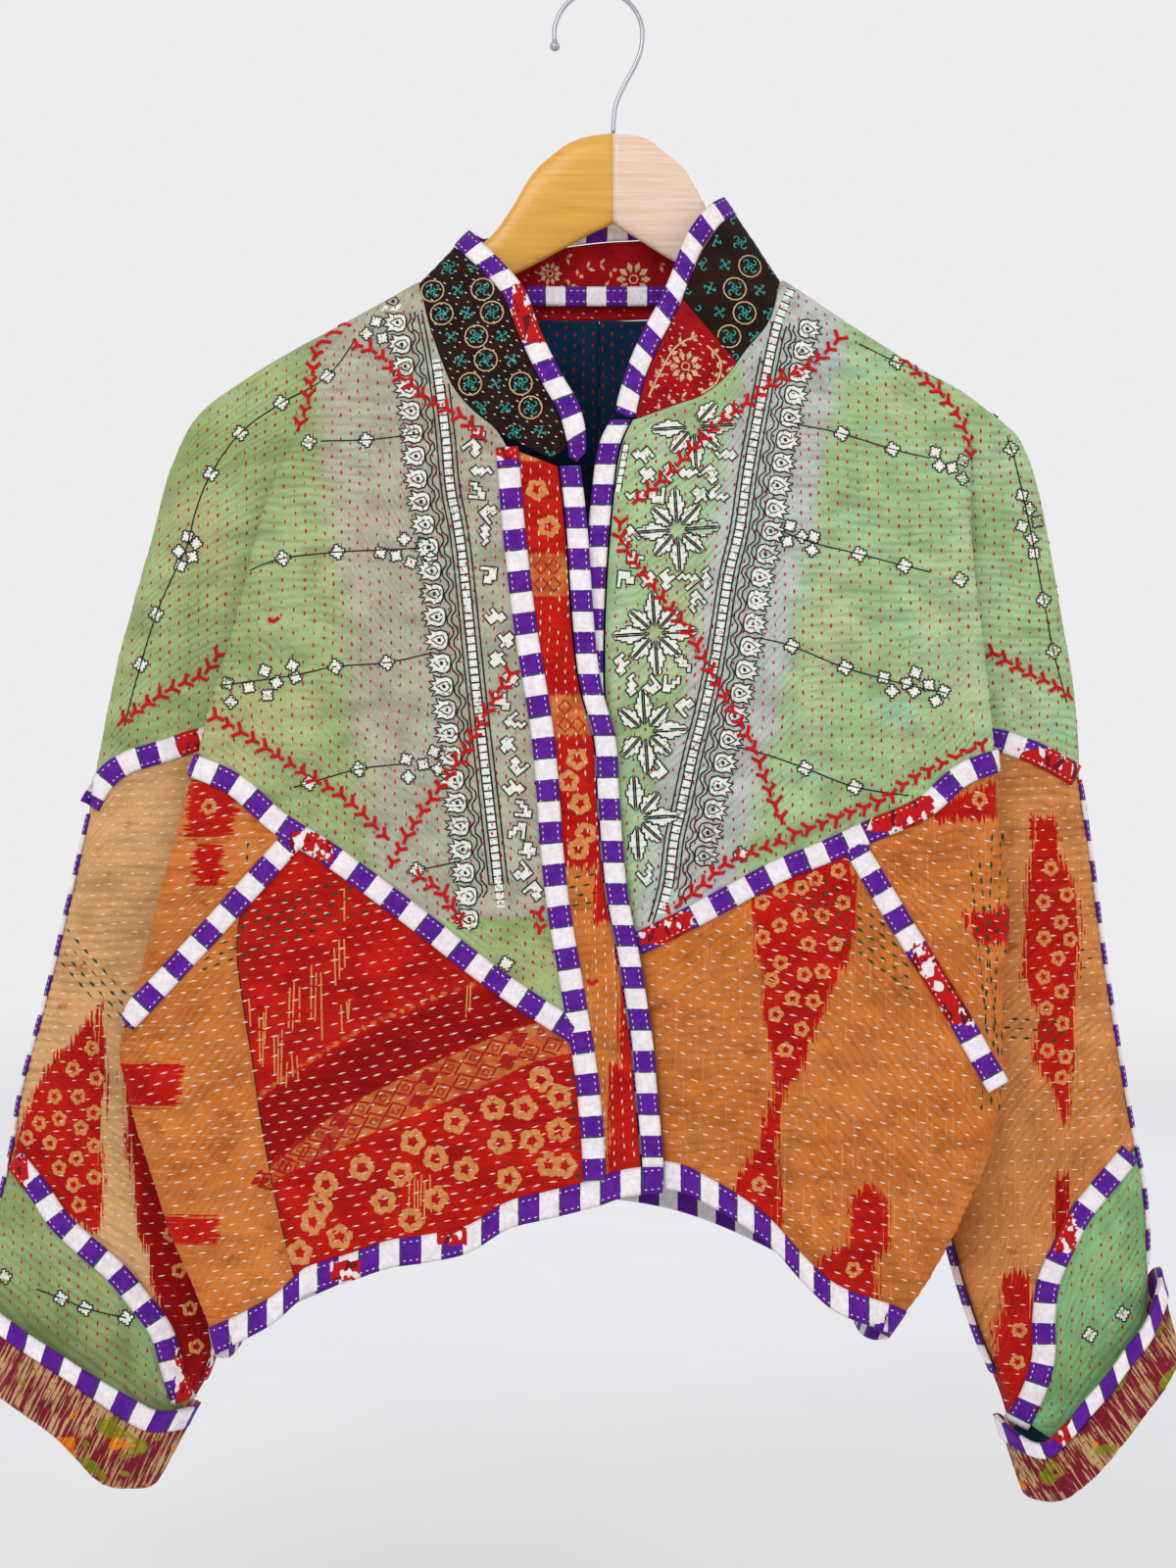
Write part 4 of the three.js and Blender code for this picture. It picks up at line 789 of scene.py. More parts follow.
BOUND = 0.27
for name, h in HALVES:
    rows = np.stack([ring_row(h, s, 0, 5 * s) for s in np.linspace(0, BOUND, 9)])
    run = np.concatenate([[0], np.cumsum(np.linalg.norm(np.diff(rows[4], axis=0), axis=-1))])
    swell = lambda x, y, z: 0.35 * np.sin(np.pi * np.linspace(0, 1, x.shape[0]))[:, None] + 0 * x
    piece, _ = wall(f"binding_cuff_{name}_tape", rows, AHEAD, ring=True, out=EDGE_SWELL,
                    inn=-CLOTH - EDGE_SWELL, relief=swell, fade=0.1, layer="front")
    paint(piece, "along", np.tile(np.broadcast_to(run, rows.shape[:2]).ravel(), 2))
    paint(piece, "across", np.tile(np.repeat(np.linspace(-1, 1, 9), rows.shape[1]), 2))
    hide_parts(f"binding_cuff_{name}")
    made[f"binding_cuff_{name}"] = piece
    shape = between_rows([[BOUND, 0, 1.3], [0.6, 0, 3], [0.95, 0.6, 4.8], [1, 2.8, 5],
                          [0.95, 5, 4.8], [0.42, 5.6, 2]], 46)
    rows = np.stack([ring_row(h, *r) for r in shape])
    piece, _ = wall(f"turn_up_{name}_cloth", rows, AHEAD, ring=True, relief=faint_ripples,
                    layer="front")
    wide = steps(rows, 1).sum(1).max()
    flat_cut[piece.name] = (wide, steps(rows, 0).sum(0).max(), grid_area(rows))
    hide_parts(f"turn_up_{name}")
    made[piece.name] = piece
print("cloth pieces so far:", len(made))
# %% [markdown]
# ## The stand collar
# The collar stands from the neck seam up to a bound edge. It is drawn from one table that gives,
# for each place round the neck, the seam and the free edge. Brown cloth covers the two fronts and
# red cloth the back, as on the real one.

# %% Neck table: x and z of the seam, then x, y and z of the free edge
NECK = np.array([
    [-11, -281, -8, -34, -274], [-29, -275, -8, -33, -261], [-56, -262, -12, -32, -245],
    [-74, -247, -21, -30, -229], [-85, -233, -29, -28, -213], [-92, -216, -36, -26, -197],
    [-98, -199, -43, -23, -178], [-102, -183, -56, -17, -161], [-105, -169, -76, -2, -139],
    [-91, -178, -69, 12, -141], [-63, -185, -55, 14, -139], [-29, -189, -29, 15, -134],
    [0, -189, 2, 15, -130], [30, -188, 21, 15, -129], [63, -185, 44, 14, -128],
    [91, -177, 62, 12, -125], [105, -167, 73, -2, -120], [102, -183, 62, -17, -129],
    [97, -197, 50, -22, -146], [84, -213, 43, -24, -164], [74, -227, 35, -26, -183],
    [60, -239, 25, -27, -202], [44, -245, 17, -28, -220], [30, -250, 11, -28, -239],
    [19, -254, 9, -28, -249],
], float)

# %% Collar and its bound edge
def neck_place(t):
    n = len(NECK) - 1
    i = min(n - 1, int(math.floor(t)))
    w = t - i
    p = [NECK[min(n, max(0, k))] for k in (i - 1, i, i + 1, i + 2)]
    x, z = lerp(NECK[i][:2], NECK[i + 1][:2], w)
    edge = 0.5 * (2 * p[1] + (p[2] - p[0]) * w + (2 * p[0] - 5 * p[1] + 4 * p[2] - p[3]) * w * w
                  + (3 * p[1] - p[0] - 3 * p[2] + p[3]) * w ** 3)[2:]
    h = right if x < 0 else left
    y = float(body_y(h, back if 8 < t < 16 else front, np.array([abs(x)]), np.array([z]))[0])
    return np.array([x, y, z]), edge

def collar_rows(a, b, low, high, across, step=0.09):
    """Rows round the neck from a to b; low and high give the share from seam to edge."""
    places = np.linspace(a, b, int((b - a) / step) + 1)
    rows = []
    for t in places:
        seam, edge = neck_place(t)
        size = np.linalg.norm(edge - seam)
        rows.append([lerp(seam, edge, s) for s in np.linspace(low(size), high(size), across)])
    rows = np.array(rows)
    kernel = np.array([1, 4, 6, 4, 1]) / 16
    padded = np.pad(rows, ((2, 2), (0, 0), (0, 0)), mode="edge")
    soft = sum(padded[k:k + len(rows)] * kernel[k] for k in range(5))
    soft[:2], soft[-2:] = rows[:2], rows[-2:]
    return soft

collar_top = lambda size: max(0.2, 1 - TAPE / size)
for name, a, b in (("collar_brown_right", 0.9, 8.5), ("collar_red_back", 8.5, 15.7),
                   ("collar_brown_left", 15.7, 19.5), ("collar_red_left", 19.5, 23.7)):
    rows = collar_rows(a, b, lambda size: -0.5 / size, collar_top, 26)
    toward = np.array([-np.sign(11.5 - (a + b) / 2), -0.3, 0])
    piece, _ = wall(name + "_cloth", rows, toward, relief=faint_ripples, layer="front")
    flat_cut[piece.name] = (steps(rows, 0).sum(0).max(),
                            steps(rows, 1).sum(1).max(), grid_area(rows))
    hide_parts(name)
    made[piece.name] = piece

def domed(height):
    """Relief of a folded tape: full in the middle, thin at its two sides."""
    def rise(x, y, z):
        w = np.linspace(-1, 1, x.shape[1])
        pucker = 0.22 * (noise(x / 5 + 3, z / 5 + 9) - 0.5)
        return height * (1 - np.abs(w) ** 4)[None, :] - 0.5 * height + pucker
    return rise

def run_of(grid):
    mid = grid[:, grid.shape[1] // 2]
    run = np.concatenate([[0], np.cumsum(steps(mid, 0))])
    return np.broadcast_to(run[:, None], grid.shape[:2])

tapes = {}

def bind(name, grid, toward, node=None, out=EDGE_SWELL, inn=-CLOTH - EDGE_SWELL, layer="front", start=0.0):
    piece, outer = wall(name, grid, toward, out=out, inn=inn, relief=domed(0.7), fade=0.4, gap=0.02,
                        along=run_of(grid) + start, layer=layer)
    if node:
        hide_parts(node)
    made[name] = piece
    tapes[name] = (outer, run_of(grid)[:, 0] + start)
    return piece

rows = collar_rows(0.2, 23.9, lambda size: collar_top(size) + 0.5 / size, lambda size: 1.0, 9, 0.045)
bind("binding_collar_tape", rows, AHEAD, "binding_collar")

# %% [markdown]
# ## Front band and bindings
# A narrow red band runs down the right front between two bindings. All the bindings are cut from
# one striped cotton, folded and sewn along both sides. They are strips on a plan line: some lie
# over a seam and some fold round a free edge.

# %% Band and edge bindings
BAND_EDGE = [[11, -281], [7, -317], [3, -375], [-1, -407], [-9, -438], [-11, -470], [-15, -519],
             [-21, -552], [-25, -575], [-30, -608], [-32, -631], [-35, -664], [-36, -679]]
STEP = 2.2

def shifted(points, by):
    return [[x + by, z] for x, z in points]

band_in = curve(shifted(BAND_EDGE, TAPE))
band_seam = curve(shifted(right.centre + right.centre_low[1:], -0.8))
panel("front_band_cloth", "front_band", right, front, lying(
    right, front, body_point, curve([[53, -271], [24, -282]]), curve([[2.6, -687], [-23, -679]]),
    band_seam, band_in, even(24, 3.0), even(410, ROW_STEP)), fade=1.5)

def edging(h, f, point, cloth_line, free, ends=(0.08, 1)):
    t = even(free.length, STEP)
    w = np.linspace(*ends, 9)
    a, b = cloth_line(t)[:, None], free(t)[:, None]
    return point(h, f, lerp(a, b, w[None, :, None]))

def tape(h, f, point, points, width=TAPE, across=9):
    line = curve(points)
    t = even(line.length, STEP)
    a, b = line(t - 0.01), line(t + 0.01)
    n = np.stack([-(b - a)[:, 1], (b - a)[:, 0]], -1)
    n /= np.linalg.norm(n, axis=-1, keepdims=True)
    w = np.linspace(-width / 2, width / 2, across)
    return point(h, f, line(t)[:, None] + n[:, None] * w[None, :, None])

def bind_seam(name, node, h, f, point, points, start=0.0, layer="front"):
    grid = tape(h, f, point, points)
    return bind(name, grid, facing(f), node, out=TAPE_LIFT + 0.6 * TAPE_THICK, inn=0.15, layer=layer,
                start=start)

bind("binding_band_edge_tape", edging(right, front, body_point, band_in, curve(BAND_EDGE)), AHEAD,
     "binding_band_edge")
bind_seam("binding_band_seam_tape", "binding_band_seam", right, front, body_point,
          right.centre + right.centre_low[1:])
left_edge = left.centre + left.centre_low[1:]
bind("binding_front_left_tape", edging(left, front, body_point, curve(left_edge),
                                       curve(shifted(left_edge, -TAPE))), AHEAD, "binding_front_left",
     start=9)

# %% Bindings over seams
def part_of(points, a, b):
    return curve(points)(np.linspace(a, b, 9)).tolist()

for name, h in HALVES:
    edge = float(h.edge_at(h.yoke_end))
    bind_seam(f"binding_yoke_{name}_tape", f"binding_yoke_{name}", h, front, lobe_point,
              part_of(h.yoke[:-1] + [[edge - 14, h.yoke_end - 3], [edge + 9, h.yoke_end + 3]],
                      0.01 if h is right else 0.005, 1))
    pocket_end = [[249, -577], [268, -597]] if h is right else [[211, -610], [224, -633]]
    bind_seam(f"binding_pocket_{name}_tape", f"binding_pocket_{name}", h, front, lobe_point,
              part_of(h.pocket[:-1] + pocket_end, 0.02, 1), start=5)
    bind_seam(f"binding_sleeve_{name}_tape", f"binding_sleeve_{name}", h, front, sleeve_point,
              part_of([[h.sleeve_seam[0][0] + 2, -438]] + h.sleeve_seam[1:], 0, 0.95), start=3)
    bind_seam(f"binding_petal_{name}_tape", f"binding_petal_{name}", h, front, sleeve_point,
              part_of(h.petal, 0.03, 0.9), start=7)

def rim_tape(h, points, inward):
    line = curve(points)
    t = even(line.length, STEP)
    w = np.linspace(-1, 1, 11)
    p = line(t)[:, None] + np.stack([inward * (2.5 * w * w + 0.001), 0 * w], -1)[None]
    return np.where((w < 0)[None, :, None], sleeve_point(h, front, p), sleeve_point(h, back, p))

for name, h in HALVES:
    end, top = h.sleeve_seam[-1], h.cuff[0][1] + 3
    line = [end] + [p for p in h.overarm if top + 4 < p[1] < end[1] - 4] + [[float(h.over_at(top)), top]]
    bind(f"binding_overarm_{name}_tape", rim_tape(h, line, -1), np.array([h.sign, 0, 0]),
         f"binding_overarm_{name}", out=TAPE_LIFT + 0.6 * TAPE_THICK, inn=0.3)
    under = [[x, z] for z, x in h.underarm if -815 < z < -630]
    bind(f"binding_underarm_{name}_tape", rim_tape(h, under, 1), np.array([-h.sign, 0, 0]),
         f"binding_underarm_{name}", out=TAPE_LIFT + 0.6 * TAPE_THICK, inn=0.3, start=11)

# %% Hem and back bindings
def hem_edge(h, f, line):
    z0 = hem_z(h)
    first = turn(h, f, np.array(z0[0], float))[0]
    top = curve([*line, [float(first[0]), z0[0]]])
    u = even(top.length, STEP)[:-1]
    rows = []
    for w in np.linspace(-0.06 if f is front else 0.1, 1, 9):
        p = top(u)
        row = list(body_point(h, f, np.stack([p[:, 0], p[:, 1] - 15 * w], -1)))
        corners = []
        for k in range(5):
            z = z0[k] - 14 * w
            x, y = turn(h, f, np.array(z, float))[k]
            corners.append(np.array([x, y, z], float))
        row += [c * (h.sign, 1, 1) for c in rounded(corners, BEND)]
        rows.append(row)
    return np.swapaxes(np.array(rows), 0, 1)

bind("binding_hem_right_tape", hem_edge(right, front,
                                        [[-35.5, -678.6], [-14, -681.2], *right.hem[:8], [172, -741],
                                         [186, -753]]), AHEAD, "binding_hem_right")
bind("binding_hem_left_tape", hem_edge(left, front, left.hem[:-1]), AHEAD, "binding_hem_left", start=14)
for name, h in HALVES:
    bind(f"binding_hem_back_{name}_tape", hem_edge(h, back, back_hem(h)[:-1]), BEHIND,
         f"binding_hem_back_{name}", layer="back")
    bind_seam(f"binding_back_yoke_{name}_tape", f"binding_back_yoke_{name}", h, back, body_point,
              part_of(back_yoke(h), 0.06, 1), layer="back")
bind_seam("binding_back_middle_tape", "binding_back_middle", right, back, body_point,
          [[0, -191], [0, -400], [0, -694]], layer="back")

# %% [markdown]
# The inside of the back neck has its own binding, sewn over the seam between collar and lining.
# It is only seen through the neck, above the teal lining.

# %% Back neck binding
def inner_neck():
    t = even(96, STEP)
    x = lerp(-44.0, 50.0, t)
    z = -170.0 - 0 * t
    w = np.linspace(0, -11.5, 7)
    grid = np.zeros((len(t), 7, 3))
    for j in range(len(t)):
        for i in range(7):
            zz = z[j] + w[i]
            h = right if x[j] < 0 else left
            y = float(body_y(h, back, np.array([abs(x[j])]), np.array([min(zz, -185.0)]))[0])
            grid[j, i] = (x[j], y - 4.2, zz)
    return grid

bind("binding_neck_inside_tape", inner_neck(), AHEAD, None, out=0.6, inn=-0.9)
print("bindings:", len(tapes))

# %% [markdown]
# ## The hanger
# Two turned wooden arms are glued at the neck, with a wire hook. The photograph shows their crowned
# faces and the glue line, so the arms are lofted from measured top and bottom edges with a rounded
# section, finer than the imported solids.

# %% Hanger arms
WOOD = 12
ARMS = {
    "right": (-1, [[8, -82, -135], [-7, -84, -142], [-18, -88, -148], [-29, -96, -154],
                   [-40, -107, -160], [-52, -127, -166], [-63, -142, -171], [-80, -156, -179],
                   [-105, -173, -190], [-125, -184, -200], [-144, -196, -209], [-175, -215, -226],
                   [-206, -235.5, -244], [-222, -243, -248]]),
    "left": (1, [[8, -82, -135], [27, -85, -147], [38, -93, -154], [49, -102, -160], [56, -113, -164],
                 [64, -128, -169], [74, -141, -176], [88, -155, -184], [105, -171, -193],
                 [122, -182, -205], [144, -197, -217], [167, -213, -229], [189, -227, -240],
                 [212, -240, -250]]),
}

def hanger_arm(rows, sign):
    sections, around = 90, 40
    line = curve(rows)(np.linspace(0, 1, sections))
    a = 2 * np.pi * np.arange(around) / around
    soft = lambda v: np.sign(v) * np.abs(v) ** 0.72
    thick = np.full(sections, WOOD / 2.0)
    thick[-3:] *= (0.97, 0.85, 0.6)
    half = (line[:, 1] - line[:, 2]) / 2
    half[0] -= 0.25
    x = line[:, 0] + np.where(np.arange(sections) == 0, sign * 0.12, 0)
    y = plane(x)[:, None] + thick[:, None] * soft(np.sin(a))[None]
    z = ((line[:, 1] + line[:, 2]) / 2)[:, None] + half[:, None] * soft(np.cos(a))[None]
    verts = np.stack([np.broadcast_to(x[:, None], y.shape), y, z], -1).reshape(-1, 3)
    faces = [list(q) for q in grid_faces(sections, around, True)]
    faces.append(list(range(around))[::-1])
    faces.append([(sections - 1) * around + i for i in range(around)])
    if sign > 0:
        faces = [q[::-1] for q in faces]
    return verts, faces

for name, (sign, rows) in ARMS.items():
    verts, faces = hanger_arm(rows, sign)
    piece = make_mesh(f"hanger_arm_{name}_wood", verts, faces)
    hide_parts(f"hanger_arm_{name}")
    made[piece.name] = piece

# %% The wire hook, with a bead on its end
WIRE = 1.4
BEND_RADIUS = 25.8
stem = curve([[8, -81.7], [8.4, -74], [10, -64], [15, -53], [20.5, -43], [24, -34], [25.1, -27]])
turns = np.radians(np.linspace(6, 186, 70))
arc = np.stack([-0.6 + BEND_RADIUS * np.cos(turns), -BEND_RADIUS + WIRE + BEND_RADIUS * np.sin(turns)], -1)
tip = arc[-1] + (0.2, -2)
bead = [(0.1, 2.2), (0.6, 2.7), (1.4, 3.0), (2.2, 3.1), (3.0, 3.0), (3.8, 2.5), (4.4, 1.9), (4.8, 1.2),
        (5.0, 0.5)]
centre = np.concatenate([stem(np.linspace(0, 1, 40)), arc, [tip - (0, d) for d, _ in bead]])
sizes = np.array([WIRE] * 110 + [s for _, s in bead])
along = np.gradient(centre, axis=0)
along /= np.linalg.norm(along, axis=1, keepdims=True)
a = 2 * np.pi * np.arange(18) / 18
ring_x = -along[:, 1][:, None] * np.cos(a) * sizes[:, None] + centre[:, :1]
ring_z = along[:, 0][:, None] * np.cos(a) * sizes[:, None] + centre[:, 1:]
verts = np.stack([ring_x, np.sin(a) * sizes[:, None], ring_z], -1).reshape(-1, 3)
faces = [list(q)[::-1] for q in grid_faces(len(centre), 18, True)]
faces += [list(range(18)), [(len(centre) - 1) * 18 + i for i in range(18)][::-1]]
hook = make_mesh("hanger_hook_wire", verts, faces)
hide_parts("hanger_hook")
made[hook.name] = hook
print("hook length", round(float(np.linalg.norm(np.diff(centre, axis=0), axis=1).sum())), "mm")
# %% [markdown]
# ## Finishes
# Each cloth gets one procedural material. Numbers painted on the mesh (how deep the ripple is, how
# far a point lies inside a dyed shape, how far along a binding it is) steer the colour, so the dye
# follows the cloth and no picture is needed. Very fine weave is bump; everything larger is mesh.
# The ripple depth darkens the cloth in its hollows: that part of the colour is painted shade.

# %% Node helpers
def dye(r, g, b):
    """A colour read as 0 to 255 screen values, turned into light values."""
    c = [v / 255 for v in (r, g, b)]
    return tuple(v / 12.92 if v <= 0.04045 else ((v + 0.055) / 1.055) ** 2.4 for v in c) + (1.0,)

class Finish:
    def __init__(self, name):
        self.material = bpy.data.materials.new(name)
        self.material.use_nodes = True
        self.tree = self.material.node_tree
        self.shader = self.tree.nodes["Principled BSDF"]
        scale = self.add("ShaderNodeVectorMath", operation="MULTIPLY")
        scale.inputs[1].default_value = (1000, 1000, 1000)
        self.join(self.add("ShaderNodeTexCoord").outputs["Object"], scale.inputs[0])
        self.place = scale.outputs[0]

    def add(self, kind, **settings):
        node = self.tree.nodes.new(kind)
        for key, value in settings.items():
            setattr(node, key, value)
        return node

    def join(self, a, b):
        if isinstance(a, (int, float)):
            b.default_value = a
        elif isinstance(a, tuple):
            b.default_value = a
        else:
            self.tree.links.new(a, b)

    def painted(self, name):
        return self.add("ShaderNodeAttribute", attribute_name=name).outputs["Fac"]

    def calc(self, how, a, b=0.0, clamp=False):
        node = self.add("ShaderNodeMath", operation=how, use_clamp=clamp)
        self.join(a, node.inputs[0])
        self.join(b, node.inputs[1])
        return node.outputs[0]

    def spread(self, value, lo, hi, a=0.0, b=1.0, smooth=True):
        node = self.add("ShaderNodeMapRange", interpolation_type="SMOOTHSTEP" if smooth else "LINEAR")
        for k, v in enumerate((value, lo, hi, a, b)):
            self.join(v, node.inputs[k])
        return node.outputs[0]

    def cloud(self, size, detail=2.0, rough=0.5, shift=0.0):
        """Noise whose features have this size in mm along x, y and z."""
        scale = self.add("ShaderNodeVectorMath", operation="MULTIPLY_ADD")
        scale.inputs[1].default_value = tuple(1 / s for s in size)
        scale.inputs[2].default_value = (shift, shift * 0.7, -shift)
        self.join(self.place, scale.inputs[0])
        node = self.add("ShaderNodeTexNoise")
        self.join(scale.outputs[0], node.inputs["Vector"])
        node.inputs["Scale"].default_value = 1.0
        node.inputs["Detail"].default_value = detail
        node.inputs["Roughness"].default_value = rough
        return node.outputs["Fac"]

    def mixed(self, share, a, b, how="MIX"):
        node = self.add("ShaderNodeMix", data_type="RGBA", blend_type=how)
        self.join(share, node.inputs["Factor"])
        self.join(a, node.inputs["A"])
        self.join(b, node.inputs["B"])
        return node.outputs["Result"]

    def shaded(self, colour, value):
        """Colour times a plain number."""
        grey = self.add("ShaderNodeCombineColor")
        for k in range(3):
            self.join(value, grey.inputs[k])
        return self.mixed(1.0, colour, grey.outputs[0], "MULTIPLY")

    def relief(self, height, depth_mm, strength=0.6):
        node = self.add("ShaderNodeBump")
        node.inputs["Strength"].default_value = strength
        node.inputs["Distance"].default_value = depth_mm * MM
        self.join(height, node.inputs["Height"])
        self.join(node.outputs[0], self.shader.inputs["Normal"])

    def mottled(self, cloud, lo, hi, a, b):
        """Two colours in soft blots of noise."""
        return self.mixed(self.spread(self.cloud(*cloud), lo, hi), a, b)

    def swing(self, cloud, size):
        """Noise that swings to both sides of zero."""
        return self.calc("MULTIPLY", self.calc("SUBTRACT", self.cloud(*cloud), 0.5), size)

    def done(self, colour, rough=0.88, sheen=0.03):
        self.join(colour, self.shader.inputs["Base Color"])
        self.shader.inputs["Roughness"].default_value = rough
        self.shader.inputs["Sheen Weight"].default_value = sheen
        self.shader.inputs["Sheen Roughness"].default_value = 0.5
        self.shader.inputs["Specular IOR Level"].default_value = 0.14
        return self.material

def woven(fin, colour, depth=0.12):
    """Adds random wear of the threads, painted shade in the stitched hollows and painted light on the ripple
    crests, and a weave bump to a cloth colour.
    """
    warp = fin.cloud((0.55, 0.55, 3.2), 1.0, 0.5, 3.1)
    weft = fin.cloud((3.2, 3.2, 0.55), 1.0, 0.5, 9.4)
    threads = fin.calc("ADD", fin.calc("MULTIPLY", warp, 0.5), fin.calc("MULTIPLY", weft, 0.5))
    wear_and_shade = fin.cloud((26, 26, 18), 3.0, 0.6, 5.0)
    # Painted shade and light: the colour darkens where the ripple sinks and brightens a little on its
    # crests.
    painted_well_shade = fin.spread(fin.painted("sunk"), -0.6, 0.4, 0.64, 1.07)
    value = fin.calc("MULTIPLY", painted_well_shade, fin.spread(threads, 0.25, 0.75, 0.82, 1.16, False))
    value = fin.calc("MULTIPLY", value, fin.spread(wear_and_shade, 0.25, 0.75, 0.9, 1.1, False))
    fin.relief(threads, depth, 0.55)
    return fin.shaded(colour, value)

def lined(fin, outside, lining):
    """Outside colour on the face, lining colour on the inner face."""
    return fin.mixed(fin.spread(fin.painted("inside"), 0.4, 0.6), outside, lining)

# %% [markdown]
# ### Green print
# The old green cotton is mottled from wear, and it turns grey and beige near the printed borders.
# The lining behind it is teal.

# %% Green cloth
def green_cloth(name, tint):
    """Mottled green cloth; tint multiplies red, green and blue. The two halves differ in tint, and the
    darker petal tints are painted shade of the turned-up sleeve ends.
    """
    fin = Finish(name)

    # Applies the tint; on the petals this darkening is painted shade.
    def wear_and_shade(*rgb):
        return dye(*(c * t for c, t in zip(rgb, tint)))

    leaf = fin.mottled(((60, 60, 45), 3, 0.6), 0.35, 0.65, wear_and_shade(150, 172, 112), wear_and_shade(166, 186, 132))
    leaf = fin.mottled(((34, 34, 70), 2, 0.5, 7), 0.5, 0.8, leaf, wear_and_shade(176, 179, 126))
    leaf = fin.mottled(((48, 48, 30), 2, 0.5, 21), 0.56, 0.78, leaf, wear_and_shade(152, 186, 140))
    grey = fin.mottled(((22, 22, 40), 3, 0.6, 13), 0.4, 0.65, wear_and_shade(178, 173, 154), wear_and_shade(176, 180, 162))
    grey = fin.mottled(((16, 16, 30), 2, 0.6, 31), 0.55, 0.75, grey, wear_and_shade(190, 176, 166))
    faded = fin.calc("ADD", fin.painted("border"), fin.swing(((14, 14, 26), 3), 0.7))
    colour = fin.mixed(fin.spread(faded, 0.25, 0.75), leaf, grey)
    colour = lined(fin, colour, dye(12, 48, 76))
    return fin.done(woven(fin, colour))

# %% [markdown]
# ### Ikat cloths
# Ikat yarn is dyed before weaving, so the red shapes have feathered edges that run with the yarn.
# The mesh carries the distance to each shape's edge, and stretched noise moves that edge in and out.

# %% Orange, tan and red cloth
def ikat_cloth(name, upright=True, pale=0.0):
    fin = Finish(name)
    yarn = (1.1, 1.1, 40) if upright else (40, 40, 1.1)

    def ground_dye(strong, faded):
        return dye(*(lerp(a, b, pale) for a, b in zip(strong, faded)))

    ground = fin.mixed(fin.spread(fin.cloud((45, 45, 30), 3, 0.6), 0.35, 0.65),
                       ground_dye((196, 108, 44), (204, 146, 90)),
                       ground_dye((208, 122, 56), (214, 158, 104)))
    ground = fin.mottled((yarn, 2, 0.6, 4), 0.52, 0.72, ground, ground_dye((212, 138, 74), (214, 158, 100)))
    ground = fin.mottled(((20, 20, 12), 3, 0.6, 17), 0.58, 0.75, ground,
                         ground_dye((176, 92, 36), (186, 110, 54)))
    red = fin.mottled(((30, 30, 22), 3, 0.6, 8), 0.35, 0.65, dye(176, 12, 6), dye(192, 24, 12))
    red = fin.mottled((yarn, 2, 0.6, 12), 0.6, 0.8, red, dye(196, 40, 20))
    red = fin.mixed(fin.painted("dark"), red, dye(150, 4, 4))
    tan = fin.mottled(((9, 9, 9), 2, 0.5, 6), 0.4, 0.62, dye(208, 124, 62), dye(196, 88, 44))
    feather = fin.swing((yarn, 1, 0.5, 25), 15.0)
    fray = fin.swing(((3, 3, 3), 2, 0.5, 2), 2.4)
    inside_dye = fin.calc("ADD", fin.painted("ikat"), fin.calc("ADD", feather, fray))
    colour = fin.mixed(fin.spread(inside_dye, -0.7, 0.7), ground, red)
    inside_tan = fin.calc("ADD", fin.painted("tan"), fray)
    colour = fin.mixed(fin.calc("MULTIPLY", fin.spread(inside_tan, -0.6, 0.6), 0.9), colour, tan)
    colour = lined(fin, colour, dye(26, 60, 74))
    return fin.done(woven(fin, colour))

# %% [markdown]
# ### Collar cloths, bindings and cuffs
# The collar prints are simple grounds here; their motifs are laid on later. The binding is striped
# by its painted length, purple and white with a thin slate line, and has a few red printed joins.

# %% Collar grounds
def ground_cloth(name, a, b, lining):
    fin = Finish(name)
    colour = fin.mottled(((14, 14, 14), 3, 0.6), 0.35, 0.65, a, b)
    colour = lined(fin, colour, lining)
    return fin.done(woven(fin, colour))

# %% Striped binding
STRIPE = 12.0

def striped_cloth():
    fin = Finish("striped_binding")
    wobble = fin.swing(((4, 4, 4), 1), 0.7)
    along = fin.calc("ADD", fin.painted("along"), wobble)
    turn_mm = fin.calc("WRAP", along, 0.0)
    turn_mm.node.inputs[1].default_value = 2 * STRIPE
    turn_mm.node.inputs[2].default_value = 0.0
    purple = fin.mottled(((6, 6, 6), 3), 0.35, 0.65, dye(82, 20, 138), dye(98, 30, 152))
    white = fin.mottled(((7, 7, 7), 3, 0.5, 5), 0.35, 0.65, dye(238, 228, 232), dye(246, 240, 242))
    colour = fin.mixed(fin.spread(turn_mm, STRIPE - 0.15, STRIPE + 0.15), purple, white)
    line = fin.spread(fin.calc("ABSOLUTE", fin.calc("SUBTRACT", turn_mm, STRIPE)), 0.35, 0.75, 1.0, 0.0)
    colour = fin.mixed(line, colour, dye(62, 64, 92))
    flower = fin.mottled(((6, 6, 8), 1, 0.4, 14), 0.58, 0.61, dye(190, 16, 18), dye(240, 230, 232))
    flower = fin.mottled(((4, 4, 7), 1, 0.4, 44), 0.58, 0.62, flower, dye(110, 8, 22))
    colour = fin.mixed(fin.spread(fin.painted("flower"), 0.45, 0.55), colour, flower)
    # Painted shade: the tape darkens towards its two folded sides. With the same noise as its pucker bump,
    # it is darker in the pucker hollows and lighter on the rises.
    fold = fin.spread(fin.calc("ABSOLUTE", fin.painted("across")), 0.7, 1.0, 1.0, 0.78)
    painted_pucker_shade = fin.spread(fin.cloud((2.6, 2.6, 2.6), 2, 0.6, 3), 0.3, 0.7, 0.9, 1.06)
    fine = fin.cloud((0.5, 0.5, 0.5), 1, 0.5, 6)
    fin.relief(fin.calc("ADD", fin.calc("MULTIPLY", fin.cloud((2.6, 2.6, 2.6), 2, 0.6, 3), 4.0), fine),
               0.12, 0.5)
    return fin.done(fin.shaded(colour, fin.calc("MULTIPLY", fold, painted_pucker_shade)), 0.75, 0.08)

